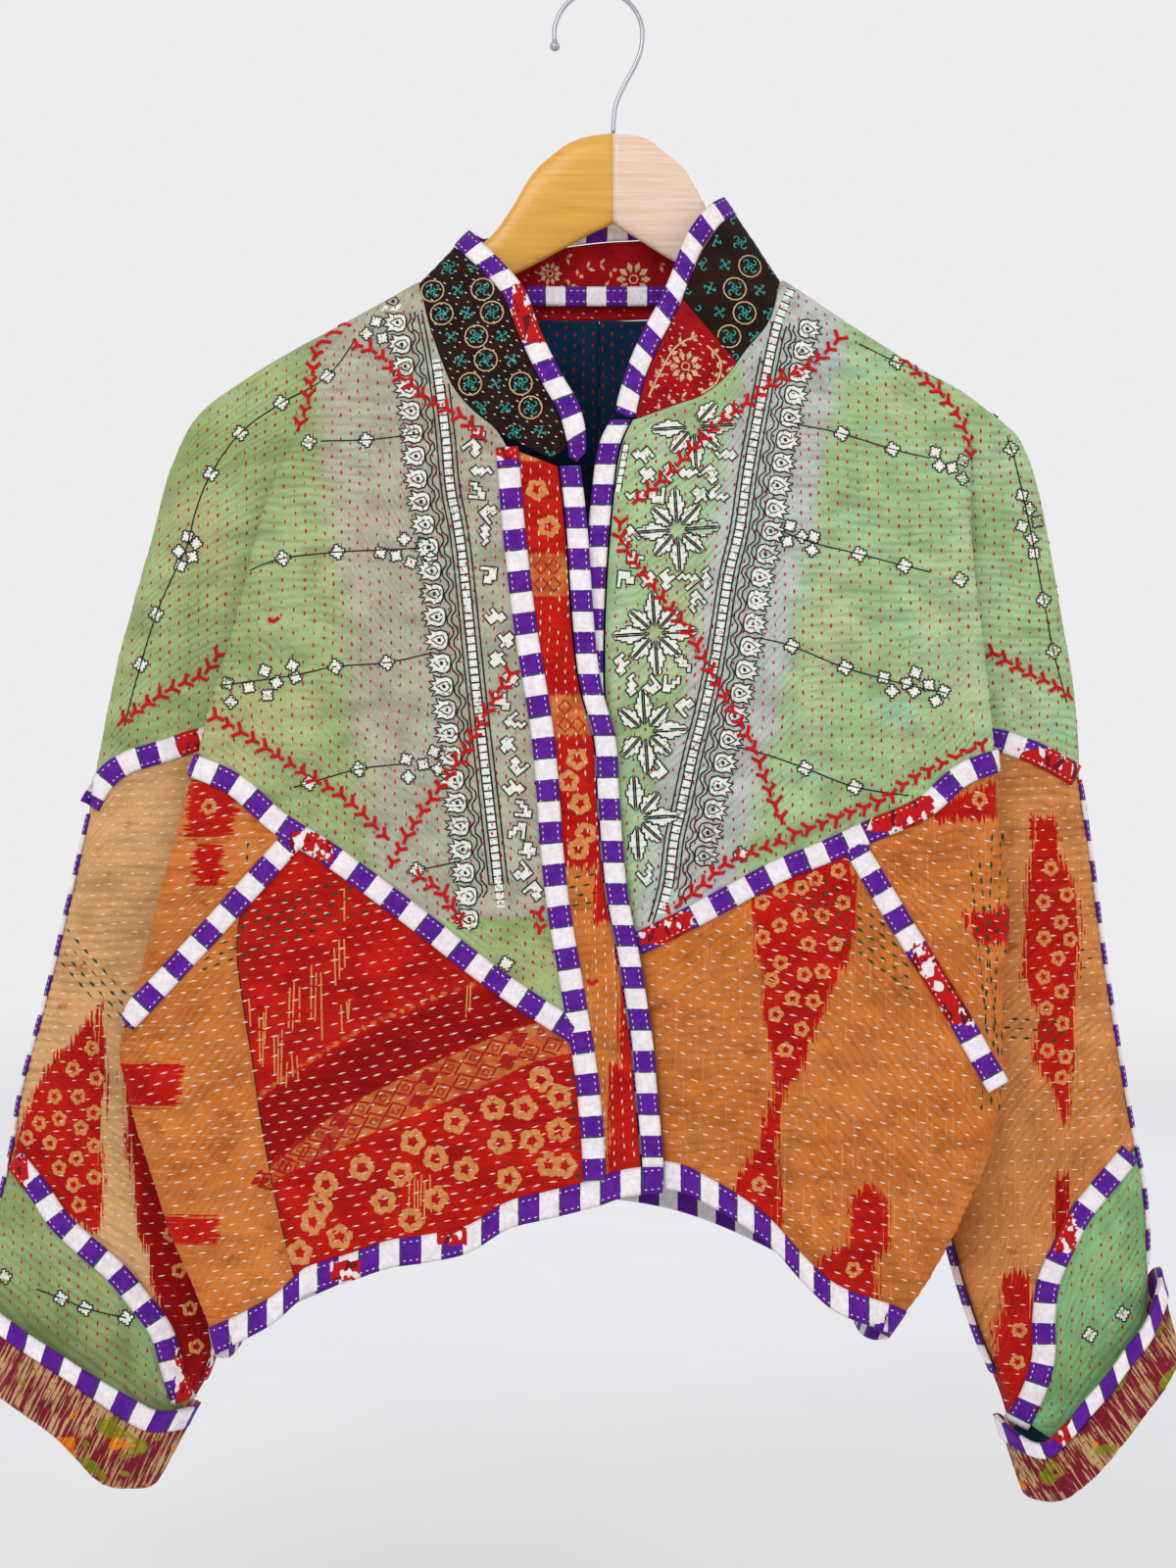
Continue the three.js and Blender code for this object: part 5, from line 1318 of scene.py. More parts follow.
# %% Cuff lining cloth
def cuff_cloth(name, lean, maroon):
    """Maroon and beige yarn stripes round the cuff's depth; lean turns them, maroon widens the dark ones."""
    fin = Finish(name)
    turned_place = fin.add("ShaderNodeVectorRotate", rotation_type="AXIS_ANGLE")
    turned_place.inputs["Axis"].default_value = (0, 1, 0)
    turned_place.inputs["Angle"].default_value = lean
    fin.join(fin.place, turned_place.inputs["Vector"])
    fin.place = turned_place.outputs[0]
    yarn = fin.cloud((1.3, 3.0, 26), 2, 0.6, 4)
    blocks = fin.cloud((24, 40, 30), 2, 0.5, 11)
    mix = fin.calc("ADD", yarn, fin.calc("MULTIPLY", fin.calc("SUBTRACT", blocks, 0.5), 0.55))
    colour = fin.mixed(fin.spread(mix, maroon - 0.04, maroon + 0.04), dye(124, 26, 44), dye(196, 160, 112))
    olive = fin.spread(fin.cloud((30, 40, 18), 2, 0.5, 33), 0.6, 0.63)
    colour = fin.mixed(olive, colour, fin.mixed(fin.spread(yarn, 0.4, 0.6), dye(112, 112, 24),
                                                dye(158, 146, 40)))
    orange = fin.spread(fin.cloud((20, 30, 14), 2, 0.5, 52), 0.645, 0.665)
    colour = fin.mixed(orange, colour, fin.mixed(fin.spread(yarn, 0.4, 0.6), dye(214, 96, 16),
                                                 dye(232, 150, 40)))
    return fin.done(woven(fin, colour))

# %% Wood, wire and thread
def wood_finish(name, a, b):
    fin = Finish(name)
    grain = fin.cloud((60, 12, 2.2), 4, 0.65, 3)
    colour = fin.mixed(fin.spread(grain, 0.32, 0.68), a, b)
    colour = fin.mottled(((40, 10, 0.7), 2, 0.5, 8), 0.6, 0.85, colour, dye(176, 104, 36))
    fin.relief(grain, 0.05, 0.3)
    fin.join(colour, fin.shader.inputs["Base Color"])
    fin.shader.inputs["Roughness"].default_value = 0.3
    fin.shader.inputs["Coat Weight"].default_value = 0.5
    fin.shader.inputs["Coat Roughness"].default_value = 0.16
    return fin.material

def wire_finish():
    fin = Finish("steel")
    fin.shader.inputs["Metallic"].default_value = 1.0
    scuff = fin.cloud((3, 3, 3), 3, 0.6)
    fin.join(fin.mixed(scuff, dye(150, 153, 158), dye(196, 199, 204)), fin.shader.inputs["Base Color"])
    fin.join(fin.spread(scuff, 0.3, 0.7, 0.16, 0.32), fin.shader.inputs["Roughness"])
    return fin.material

def thread(name, a, b, rough=0.7):
    fin = Finish(name)
    colour = fin.mottled(((2.5, 2.5, 2.5), 2, 0.6), 0.35, 0.65, a, b)
    return fin.done(colour, rough, 0.1)

# %% [markdown]
# The floor is plain: a pale, matt, slightly uneven plaster that fades into the room far off.

# %% Floor finish
fin = Finish("pale_floor")
fin.join(fin.mixed(fin.cloud((300, 300, 300), 3), dye(226, 228, 230), dye(236, 237, 238)),
         fin.shader.inputs["Base Color"])
fin.shader.inputs["Roughness"].default_value = 0.9
fin.shader.inputs["Specular IOR Level"].default_value = 0.0
distance_out = fin.add("ShaderNodeVectorMath", operation="LENGTH")
fin.join(fin.place, distance_out.inputs[0])
far_off = fin.spread(distance_out.outputs["Value"], 1800, 5200)
fin.join(fin.mixed(far_off, (0, 0, 0, 1), ROOM_COLOUR), fin.shader.inputs["Emission Color"])
fin.shader.inputs["Emission Strength"].default_value = ROOM_STRENGTH
fin.join(fin.mixed(far_off, fin.shader.inputs["Base Color"].links[0].from_socket, (0, 0, 0, 1)),
         fin.shader.inputs["Base Color"])
floor.data.materials.append(fin.material)
# %% [markdown]
# ## Where the dye lies
# Dyed shapes were read off the photograph as simple outlines, in picture points. Each cloth vertex
# stores its distance in mm to the nearest outline, positive inside.

# %% Distance to dyed shapes
def box_px(x0, y0, x1, y1):
    return [(x0, y0), (x1, y0), (x1, y1), (x0, y1)]

def inside_distance(shapes, x, z):
    """Signed distance in mm to the nearest of several plan outlines."""
    best = np.full(np.shape(x), -60.0)
    for shape in shapes:
        p = np.array([plan(*q) for q in shape])
        edge = np.concatenate([p, p[:1]])
        d = distance_to(edge, x, z)
        inside = np.zeros(np.shape(x), bool)
        for (ax, az), (bx, bz) in zip(edge[:-1], edge[1:]):
            cross = (az > z) != (bz > z)
            if abs(bz - az) > 1e-9:
                inside ^= cross & (x < ax + (z - az) * (bx - ax) / (bz - az))
        best = np.maximum(best, np.where(inside, d, -d))
    return best

RED_SHAPES = {
    "side_strip_right_cloth": [box_px(120, 1080, 190, 1125), box_px(140, 1236, 226, 1264)],
    "pocket_side_right_cloth": [box_px(194, 795, 243, 857), box_px(203, 857, 231, 904)],
    "front_lower_left_cloth": [
        [(768, 880), (764, 913), (767, 944), (773, 978), (777, 1028), (786, 1062), (788, 1098), (778, 1140),
         (773, 1166), (757, 1190), (742, 1216), (770, 1240), (794, 1250), (795, 1197), (794, 1166),
         (795, 1143), (800, 1107), (814, 1098), (828, 1056), (839, 1028), (849, 1000), (863, 981),
         (871, 941), (873, 905), (864, 862)],
        [(886, 1200), (864, 1219), (862, 1264), (830, 1284), (826, 1326), (893, 1330), (892, 1281),
         (902, 1264), (900, 1219)]],
    "pocket_side_left_cloth": [[(947, 822), (1015, 796), (1013, 835), (950, 838)],
                               [(975, 930), (1030, 922), (1030, 962), (989, 960)]],
    "sleeve_front_left_cloth": [
        [(1058, 833), (1080, 833), (1085, 865), (1100, 905), (1107, 950), (1104, 995), (1098, 1040),
         (1100, 1085), (1090, 1154), (1076, 1110), (1056, 1080), (1062, 1040), (1046, 995), (1050, 906),
         (1056, 865)],
        [(1024, 1305), (1053, 1300), (1056, 1346), (1067, 1350), (1067, 1450), (1019, 1450), (1019, 1350),
         (1027, 1346)],
        box_px(1078, 1199, 1092, 1275)],
    "sleeve_front_right_cloth": [
        [(100, 1019), (80, 1052), (59, 1075), (44, 1093), (29, 1116), (15, 1150), (4, 1182), (30, 1215),
         (62, 1240), (98, 1262), (103, 1218), (106, 1100)],
        [(137, 1060), (127, 1100), (128, 1160), (140, 1260), (160, 1340), (178, 1400), (198, 1450),
         (222, 1380), (214, 1300), (180, 1200), (150, 1120)]],
    "front_band_cloth": [box_px(480, 445, 700, 567), box_px(480, 608, 700, 711), box_px(480, 750, 700, 884),
                         box_px(606, 884, 700, 940), [(626, 930), (660, 930), (665, 1085), (634, 1085)],
                         [(622, 1085), (670, 1085), (670, 1215), (618, 1215)]],
}
LATTICE_TOP = [(262, 1198), (302, 1169), (344, 1133), (386, 1110), (428, 1090), (484, 1065), (527, 1048),
               (552, 1041), (600, 1030)]
LATTICE_LOW = [(262, 1226), (288, 1197), (344, 1169), (400, 1144), (456, 1121), (498, 1104), (541, 1082),
               (600, 1068)]
THIN_CURVE = [(262, 1116), (302, 1088), (344, 1060), (386, 1037), (428, 1020), (456, 1009), (520, 990)]
TAN_SHAPES = {
    "front_lower_right_cloth": [LATTICE_TOP + LATTICE_LOW[::-1],
                                THIN_CURVE + [(x, y + 5) for x, y in THIN_CURVE[::-1]]],
    "front_band_cloth": [box_px(480, 567, 700, 609), box_px(480, 711, 700, 750),
                         box_px(500, 440, 700, 470)],
}
DARK_SHAPES = {"front_lower_right_cloth": [[(x, y + 8) for x, y in THIN_CURVE] + LATTICE_TOP[::-1]],
               "sleeve_front_right_cloth": RED_SHAPES["sleeve_front_right_cloth"][1:],
               "sleeve_front_left_cloth": RED_SHAPES["sleeve_front_left_cloth"][2:]}
BACK_FROM = {"back_lower_right_cloth": ("side_strip_right_cloth", "pocket_side_right_cloth"),
             "back_lower_left_cloth": ("front_lower_left_cloth", "pocket_side_left_cloth"),
             "sleeve_back_left_cloth": ("sleeve_front_left_cloth",),
             "sleeve_back_right_cloth": ("sleeve_front_right_cloth",)}

LADDER_RIGHT = [(424, 275), (431, 303), (441, 350), (449, 400), (455, 450), (460, 500), (471, 560),
                (486, 700), (500, 820), (512, 925)]
LADDER_LEFT = [(810, 288), (795, 327), (786, 365), (774, 424), (763, 483), (754, 542), (743, 588),
               (729, 673), (717, 729), (706, 771), (694, 827), (687, 858), (681, 904), (668, 950)]

def border_share(h, x, z):
    """1 in the grey-beige cloth near a printed border, 0 in the clear green."""
    rows = [plan(*p) for p in (LADDER_RIGHT if h is right else LADDER_LEFT)]
    line = table([[q[1], q[0]] for q in rows])
    away = (x - line(z)) * h.sign / PIXEL
    near, fade = (66, 120) if h is right else (34, 80)
    outer = 1 - ease((away - near) / fade)
    within = 0.75 if h is right else 0.28
    share = np.where(away > 0, outer, lerp(1.0, within, ease(-away / 40)))
    if h is right:
        top = table([[plan(444, 0)[0], plan(0, 936)[1]], [plan(559, 0)[0], plan(0, 915)[1]]])
        share = share * (1 - np.where(z < top(x), 1.0, 0.0))
    return share

def coords_of(obj):
    co = np.empty(len(obj.data.vertices) * 3, np.float32)
    obj.data.vertices.foreach_get("co", co)
    return co.reshape(-1, 3) / MM

for name, obj in made.items():
    co = coords_of(obj)
    x, z = co[:, 0], co[:, 2]
    if "upper" in name:
        paint(obj, "border", border_share(right if "right" in name else left, x, z))
    elif any(k in name for k in ("lower", "strip", "pocket_side", "sleeve_front", "sleeve_back",
                                 "band_cloth")):
        sources = BACK_FROM.get(name, (name,))
        shapes = [s for k in sources for s in RED_SHAPES.get(k, [])]
        whole = name == "front_lower_right_cloth"
        paint(obj, "ikat", np.full(len(x), 40.0) if whole else inside_distance(shapes, x, z))
        tan = TAN_SHAPES.get(name)
        paint(obj, "tan", inside_distance(tan, x, z) if tan else np.full(len(x), -40.0))
        dark = [s for k in sources for s in DARK_SHAPES.get(k, [])]
        paint(obj, "dark", ease(inside_distance(dark, x, z) / 5 + 0.5) if dark else np.zeros(len(x)))

# %% Red joins in the bindings
FLOWER_BITS = [(300, 848, 342, 878), (880, 812, 948, 848), (652, 930, 706, 962), (926, 962, 988, 1042),
               (1042, 764, 1115, 802), (178, 742, 210, 770), (1078, 1240, 1100, 1280),
               (176, 1380, 230, 1442), (522, 286, 560, 348), (505, 436, 535, 470), (340, 1280, 372, 1300),
               (448, 1248, 476, 1266), (1060, 1440, 1090, 1470), (0, 1180, 24, 1216)]
for name, obj in made.items():
    if "along" in obj.data.attributes:
        co = coords_of(obj)
        px, py = co[:, 0] / PIXEL + MIDDLE_PX, -co[:, 2] / PIXEL - TOP_PX
        mask = np.zeros(len(co))
        for x0, y0, x1, y1 in FLOWER_BITS:
            mask = np.maximum(mask, (px > x0) & (px < x1) & (py > y0) & (py < y1) & (co[:, 1] < 6))
        paint(obj, "flower", mask)

# %% Give every piece its finish
finishes = {
    "green_right": green_cloth("green_right", (1, 1, 0.98)),
    "green_left": green_cloth("green_left", (1.04, 1.085, 1.16)),
    # The petal tints are darker copies of the green: painted shade of the turned-up sleeve ends.
    "petal_right": green_cloth("petal_right", (0.9, 0.92, 0.88)),
    "petal_left": green_cloth("petal_left", (0.82, 0.98, 0.94)), "ikat_up": ikat_cloth("ikat_orange"),
    "ikat_flat": ikat_cloth("ikat_red", upright=False),
    "sleeve_right": ikat_cloth("ikat_sleeve_right", pale=1.3),
    "sleeve_left": ikat_cloth("ikat_sleeve_left", pale=0.4),
    "brown": ground_cloth("brown_turquoise", dye(30, 14, 6), dye(44, 22, 12), dye(165, 12, 20)),
    "red": ground_cloth("kalamkari_red", dye(148, 8, 14), dye(172, 12, 20), dye(165, 12, 20)),
    "tape": striped_cloth(), "cuff_left": cuff_cloth("cuff_ikat_left", 0.62, 0.55),
    "cuff_right": cuff_cloth("cuff_ikat_right", -0.45, 0.51),
    # The wearer's left arm gets a pale, pinkish copy of the golden wood: a painted glare.
    "wood_left_painted_glare": wood_finish("wood_pale", dye(230, 192, 164), dye(240, 212, 194)),
    "wood_right": wood_finish("wood_golden", dye(218, 154, 36), dye(228, 170, 52)), "wire": wire_finish(),
}
PLAN_OF_FINISH = [
    ("tape", "tape", "striped_binding"), ("binding", "tape", "striped_binding"),
    ("upper_right", "green_right", "green_print"), ("upper_left", "green_left", "green_print"),
    ("petal_right", "petal_right", "green_print"), ("petal_left", "petal_left", "green_print"),
    ("sleeve_front_right", "sleeve_right", "ikat_orange"),
    ("sleeve_back_right", "sleeve_right", "ikat_orange"), ("sleeve_", "sleeve_left", "ikat_orange"),
    ("front_lower_right", "ikat_flat", "ikat_red"), ("side_strip", "ikat_flat", "ikat_orange"),
    ("pocket_side_right", "ikat_flat", "ikat_orange"), ("back_lower_right", "ikat_flat", "ikat_orange"),
    ("front_band", "ikat_up", "ikat_red"), ("lower", "ikat_up", "ikat_orange"),
    ("pocket", "ikat_up", "ikat_orange"), ("brown", "brown", "brown_turquoise"),
    ("collar_red", "red", "kalamkari_red"), ("turn_up_left", "cuff_left", "cuff_ikat"),
    ("turn_up_right", "cuff_right", "cuff_ikat"), ("arm_left", "wood_left_painted_glare", "wood"),
    ("arm_right", "wood_right", "wood"), ("hook", "wire", "steel"),
]
for name, obj in made.items():
    finish, slot = next((f, s) for word, f, s in PLAN_OF_FINISH if word in name)
    obj.data.materials.append(finishes[finish])
print("finishes:", len(finishes))
# %% [markdown]
# ## Laying things on the cloth
# Prints and stitches are drawn in picture points, then dropped on to the finished cloth by casting
# a ray from in front, or from behind for the back. Each comes back with the place and the slope of
# the cloth, so a line follows every ripple. A printed line is a very low ridge, and a motif a thin
# plate, so both are closed meshes.

# %% Rays on to the cloth
def every_surface():
    verts, faces, owner = [], [], []
    count = 0
    for name, obj in made.items():
        co = coords_of(obj)
        verts.append(co)
        for p in obj.data.polygons:
            faces.append([v + count for v in p.vertices])
        owner += [name] * len(obj.data.polygons)
        count += len(co)
    return BVHTree.FromPolygons(np.concatenate(verts).tolist(), faces), owner

cloth_tree, owner_of = every_surface()
print("surfaces to lay on:", len(owner_of), "faces")

def drop(points, side="front"):
    """Place, normal and owner under each plan point; None where nothing is hit."""
    way = 1 if side == "front" else -1
    found = []
    for x, z in points:
        place, normal, index, _ = cloth_tree.ray_cast((x, -300 * way, z), (0, way, 0))
        if place is None:
            return None
        if normal[1] * way > 0:
            normal = -normal
        found.append((place, normal, owner_of[index]))
    return found

class Layer:
    """One mesh of many small pieces in one finish."""
    def __init__(self, name, finish, slot):
        self.name, self.finish, self.slot = name, finish, slot
        self.verts, self.faces = [], []

    def put(self, verts, faces):
        n = len(self.verts)
        self.verts += [tuple(v) for v in verts]
        self.faces += [tuple(n + i for i in f) for f in faces]

    def make(self):
        obj = make_mesh(self.name, np.array(self.verts, float), self.faces, smooth=False)
        obj.data.materials.append(self.finish)
        return obj

def resampled(points, step, closed=False):
    p = np.array(list(points) + ([points[0]] if closed else []), float)
    run = np.concatenate([[0], np.cumsum(np.linalg.norm(np.diff(p, axis=0), axis=1))])
    places = []
    for i in range(len(p) - 1):
        n = max(1, int(math.ceil((run[i + 1] - run[i]) / step)))
        places += [lerp(p[i], p[i + 1], k / n) for k in range(n)]
    return np.array(places if closed else places + [p[-1]])

def same_cloth(hits, only, reach=6.0):
    """Are all the places on wanted cloth, and on one surface?"""
    depth = [h[0][1] for h in hits]
    wanted = all(any(word in h[2] for word in only) and "tape" not in h[2] for h in hits)
    return wanted and max(depth) - min(depth) < reach

CLOTH = ("_cloth",)
BACK_SPACING = 1.8

def inked(layer, points, width=1.0, height=0.3, closed=False, side="front", step=2.2, only=CLOTH):
    """A printed line or a thick thread along plan points (mm), flat on top with sloping sides."""
    line = resampled(points, step if side == "front" else BACK_SPACING * step, closed)
    if len(line) < 2:
        return False
    ahead = np.roll(line, -1, 0) - np.roll(line, 1, 0)
    if not closed:
        ahead[0], ahead[-1] = line[1] - line[0], line[-1] - line[-2]
    ahead /= np.maximum(np.linalg.norm(ahead, axis=1, keepdims=True), 1e-6)
    n = np.stack([-ahead[:, 1], ahead[:, 0]], -1) * width / 2
    hits = drop(line, side)
    if hits is None or not same_cloth(hits, only):
        return False
    rows = []
    for (place, normal, _), (nx, nz) in zip(hits, n):
        flat = Vector((nx, 0, nz))
        flat = flat - normal * flat.dot(normal)
        up, down = place + normal * height, place - normal * 0.15
        rows += [down + flat, up + flat * 0.72, up - flat * 0.72, down - flat]
    m = len(line)
    faces = []
    for i in range(m if closed else m - 1):
        a, b = 4 * i, 4 * ((i + 1) % m)
        faces += [(a + k, a + (k + 1) % 4, b + (k + 1) % 4, b + k) for k in range(4)]
    if not closed:
        faces += [(3, 2, 1, 0), tuple(4 * m - 4 + k for k in range(4))]
    if side == "back":
        faces = [f[::-1] for f in faces]
    layer.put(rows, faces)
    return True

def filled(layer, shape, height=0.14, side="front", only=CLOTH, band=1.25):
    """A printed area: low level strips between the crossings of an outline, so it follows the ripples."""
    p = np.array(shape, float)
    q = np.roll(p, -1, 0)
    low, high = p[:, 1].min(), p[:, 1].max()
    count = max(2, int(round((high - low) / band)))
    rows = np.linspace(low, high, count + 1)
    done = 0
    for z0, z1 in zip(rows[:-1], rows[1:]):
        z = (z0 + z1) / 2
        cross = (p[:, 1] > z) != (q[:, 1] > z)
        xs = np.sort((p[:, 0] + (z - p[:, 1]) * (q[:, 0] - p[:, 0]) / (q[:, 1] - p[:, 1] + 1e-12))[cross])
        for x0, x1 in zip(xs[::2], xs[1::2]):
            if x1 - x0 < 0.25:
                continue
            hits = drop([(x0, z0), (x1, z0), (x1, z1), (x0, z1)], side)
            if hits is None or not same_cloth(hits, only):
                continue
            top = [place + normal * height for place, normal, _ in hits]
            base = [place - normal * 0.15 for place, normal, _ in hits]
            sides = [(4 + k, 4 + (k + 1) % 4, (k + 1) % 4, k) for k in range(4)]
            faces = [(0, 1, 2, 3), (7, 6, 5, 4)] + sides
            if side == "back":
                faces = [f[::-1] for f in faces]
            layer.put(top + base, faces)
            done += 1
    return done

# %% [markdown]
# ## The green cloth's print
# The print is a common hand-block border: a ladder with a row of small lotus heads, a field of
# stepped shapes with eight-armed stars, and thin garlands with little crosses. It is drawn white
# with black lines. All of it is made from a few generic outlines set along measured lines.

# %% Motif outlines
def stepped_cross(r=4.4):
    a, b, c = r, r * 0.62, r * 0.28
    return [(a, c), (b, c), (b, b), (c, b), (c, a), (-c, a), (-c, b), (-b, b), (-b, c), (-a, c), (-a, -c),
            (-b, -c), (-b, -b), (-c, -b), (-c, -a), (c, -a), (c, -b), (b, -b), (b, -c), (a, -c)]

STEPPED = [
    [(0, 0), (2, 0), (2, 1), (3, 1), (3, 2), (4, 2), (4, 4), (3, 4), (3, 3), (2, 3), (2, 2), (1, 2), (1, 4),
     (0, 4)],
    [(0, 0), (4, 0), (4, 1), (2, 1), (2, 2), (3, 2), (3, 4), (1, 4), (1, 3), (0, 3)],
    [(0, 1), (1, 1), (1, 0), (3, 0), (3, 1), (4, 1), (4, 3), (2, 3), (2, 4), (1, 4), (1, 2), (0, 2)],
    [(0, 0), (2, 0), (2, 1), (4, 1), (4, 2), (3, 2), (3, 3), (4, 3), (4, 4), (1, 4), (1, 2), (0, 2)],
    [(0, 2), (1, 2), (1, 1), (2, 1), (2, 0), (4, 0), (4, 2), (3, 2), (3, 3), (1, 3), (1, 4), (0, 4)],
]

def moved(shape, at, angle=0.0, size=1.0, centre=(0, 0)):
    c, s = math.cos(angle), math.sin(angle)
    out = []
    for x, y in shape:
        x, y = (x - centre[0]) * size, (y - centre[1]) * size
        out.append((at[0] + c * x - s * y, at[1] + s * x + c * y))
    return out

inks = {
    "white": thread("print_white", dye(226, 228, 214), dye(242, 242, 234), 0.85),
    "black": thread("print_black", dye(20, 26, 24), dye(38, 44, 40), 0.85),
}

GREEN = ("upper", "petal")
INK = 1.2

def motif(pair, shape, side, line=INK):
    """White ground with a black line along its edge."""
    white, black = pair
    if inked(black, shape, line, 0.38, True, side, 3.0, GREEN):
        filled(white, shape, 0.16, side, GREEN)

def px_line(points):
    return [plan(*p) for p in points]

GARLANDS = [
    ([(278, 463), (314, 450), (373, 448), (428, 442)], [(314, 450), (373, 448)]),
    ([(255, 582), (289, 570), (345, 564), (392, 562), (430, 560)], [(289, 570), (345, 564)]),
    ([(228, 700), (300, 690), (344, 681), (396, 677), (441, 667)], [(344, 681), (396, 677)]),
    ([(250, 820), (273, 812), (318, 799), (368, 785), (410, 780)], [(273, 812), (318, 799), (368, 785)]),
    ([(370, 893), (391, 890), (427, 887), (472, 878)], [(391, 890), (427, 887)]),
    ([(500, 992), (517, 982), (561, 965)], [(517, 982), (561, 965)]),
    ([(360, 340), (331, 379), (283, 406), (241, 438), (211, 480), (195, 520), (187, 553), (170, 590),
      (155, 625), (139, 677), (122, 740)], [(331, 379), (283, 406), (241, 438), (211, 480), (155, 625),
                                            (139, 677)]),
    ([(800, 428), (822, 433), (860, 441), (912, 457), (950, 466)], [(860, 441), (912, 457)]),
    ([(790, 540), (832, 555), (876, 566), (922, 578), (979, 592), (1000, 602)],
     [(876, 566), (922, 578), (979, 592)]),
    ([(775, 652), (807, 660), (861, 682), (925, 700), (980, 712), (1009, 723)], [(807, 660), (861, 682)]),
    ([(740, 760), (780, 770), (820, 784), (870, 803), (925, 812)], [(820, 784), (870, 803)]),
    ([(710, 860), (755, 871), (800, 880)], [(755, 871)]),
    ([(880, 345), (919, 364), (968, 384), (1017, 407), (1037, 454), (1055, 530), (1070, 610), (1080, 663),
      (1094, 716)], [(919, 364), (968, 384), (1037, 454), (1070, 610), (1080, 663)]),
    ([(-10, 1300), (0, 1307), (60, 1327), (85, 1337), (127, 1347)],
     [(0, 1307), (60, 1327), (85, 1337), (127, 1347)]),
    ([(1090, 1372), (1115, 1365), (1150, 1345), (1165, 1336)], [(1115, 1365), (1150, 1345)]),
]
CLUSTERS = [
    [(389, 565), (413, 551), (405, 568), (420, 575)], [(432, 556), (440, 570)],
    [(234, 698), (238, 717), (256, 702), (272, 685), (284, 697), (275, 710), (300, 680), (303, 692)],
    [(416, 775), (418, 793), (433, 780), (444, 767), (448, 785)],
    [(187, 545), (178, 560), (192, 566), (180, 575), (196, 552)],
    [(381, 322), (371, 335), (388, 340)],
    [(956, 460), (960, 474), (973, 476), (985, 468), (984, 487), (992, 478)],
    [(806, 537), (818, 548), (803, 553), (830, 548), (828, 562)],
    [(900, 692), (908, 706), (923, 698), (932, 687), (930, 706), (945, 700), (960, 706), (952, 716)],
    [(1048, 502), (1056, 516), (1064, 529), (1048, 534), (1058, 547), (1060, 562)],
]

def green_print(pair, side):
    white, black = pair
    for line, flowers in GARLANDS:
        smooth = curve(px_line(line))
        pieces = max(1, int(smooth.length / 26))
        for k in range(pieces):
            part = smooth(np.linspace(k / pieces, (k + 1) / pieces, 12))
            inked(black, part.tolist(), 0.95, 0.3, False, side, 2.6, GREEN)
        for f in flowers:
            motif(pair, moved(stepped_cross(), plan(*f), 0.2), side)
    for group in CLUSTERS:
        for k, f in enumerate(group):
            motif(pair, moved(stepped_cross(3.9), plan(*f), 0.55 + k), side)

# %% Ladder, lotus row and lattice
def lotus(at, angle):
    """A lotus head with an eye, opening away from the ladder (along +x before turning)."""
    cup = [(-4.4, -2.4), (-3.2, -4.8), (0.2, -5.8), (3.2, -4.8), (7.4, -6.0), (5.4, -2.8), (9.4, -2.2),
           (6.6, 0), (9.4, 2.2), (5.4, 2.8), (7.4, 6.0), (3.2, 4.8), (0.2, 5.8), (-3.2, 4.8), (-4.4, 2.4)]
    eye = [(-2.8, 0), (-1.0, -2.9), (2.0, -2.2), (5.2, 0), (2.0, 2.2), (-1.0, 2.9)]
    dot = [(-1.0, 0), (0.7, -1.0), (2.4, 0), (0.7, 1.0)]
    return [moved(s, at, angle) for s in (cup, eye, dot)]

def ladder(pair, rows_px, outward, lotus_px, side, width=5.4, pitch=4.4):
    """Two rails with rungs between, a thin line each side, two wavy lines and a row of lotus heads."""
    white, black = pair
    line = curve([plan(*p) for p in rows_px])
    count = int(line.length / pitch)
    share = np.linspace(0, 1, count + 1)
    mid = line(share)
    ahead = np.gradient(mid, axis=0)
    ahead /= np.linalg.norm(ahead, axis=1, keepdims=True)
    n = np.stack([-ahead[:, 1], ahead[:, 0]], -1)
    n *= np.sign(n[:, :1] * outward + 1e-9)
    for k in range(count):
        a, b, na, nb = mid[k], mid[k + 1], n[k] * width / 2, n[k + 1] * width / 2
        cell = [tuple(a + na * 0.8), tuple(b + nb * 0.8), tuple(b - nb * 0.8), tuple(a - na * 0.8)]
        if filled(white, cell, 0.14, side, GREEN, 2.4):
            inked(black, [tuple(a + na), tuple(a - na)], 1.05, 0.34, False, side, 3, GREEN)
    for k in range(0, count - 4, 5):
        for off in (width / 2, -width / 2, width / 2 + 2.6, -width / 2 - 2.6):
            part = [tuple(mid[j] + n[j] * off) for j in range(k, min(count, k + 6))]
            inked(black, part, 1.05, 0.34, False, side, 3, GREEN)
    wave = np.linspace(0, 1, int(line.length / 3.3))
    middle = line(wave)
    out = np.stack([np.interp(wave, share, n[:, 0]), np.interp(wave, share, n[:, 1])], -1)
    for off in (8.3, 10.9):
        zig = off + 1.4 * np.where(np.arange(len(wave)) % 4 < 2, 1, -1)
        pts = middle + out * zig[:, None]
        for k in range(0, len(pts) - 6, 6):
            inked(black, [tuple(p) for p in pts[k:k + 7]], 1.0, 0.32, False, side, 3, GREEN)
    for (x, y), towards in lotus_px:
        cup, eye, dot = lotus(plan(x, y), towards)
        if filled(white, cup, 0.14, side, GREEN):
            inked(black, cup, 1.1, 0.36, True, side, 2.6, GREEN)
            inked(black, eye, 0.9, 0.34, True, side, 2.0, GREEN)
            filled(black, dot, 0.34, side, GREEN, 0.8)

def lotus_right():
    y = np.arange(300, 940, 23.6)
    ladder_x = np.interp(y, [p[1] for p in LADDER_RIGHT], [p[0] for p in LADDER_RIGHT])
    x = ladder_x - 31
    return [((a, b), math.pi - 0.06) for a, b in zip(x, y)]

def lotus_left():
    y = np.arange(330, 880, 23.6)
    ladder_x = np.interp(y, [p[1] for p in LADDER_LEFT], [p[0] for p in LADDER_LEFT])
    x = ladder_x + 31
    return [((a, b), -0.12) for a, b in zip(x, y)]

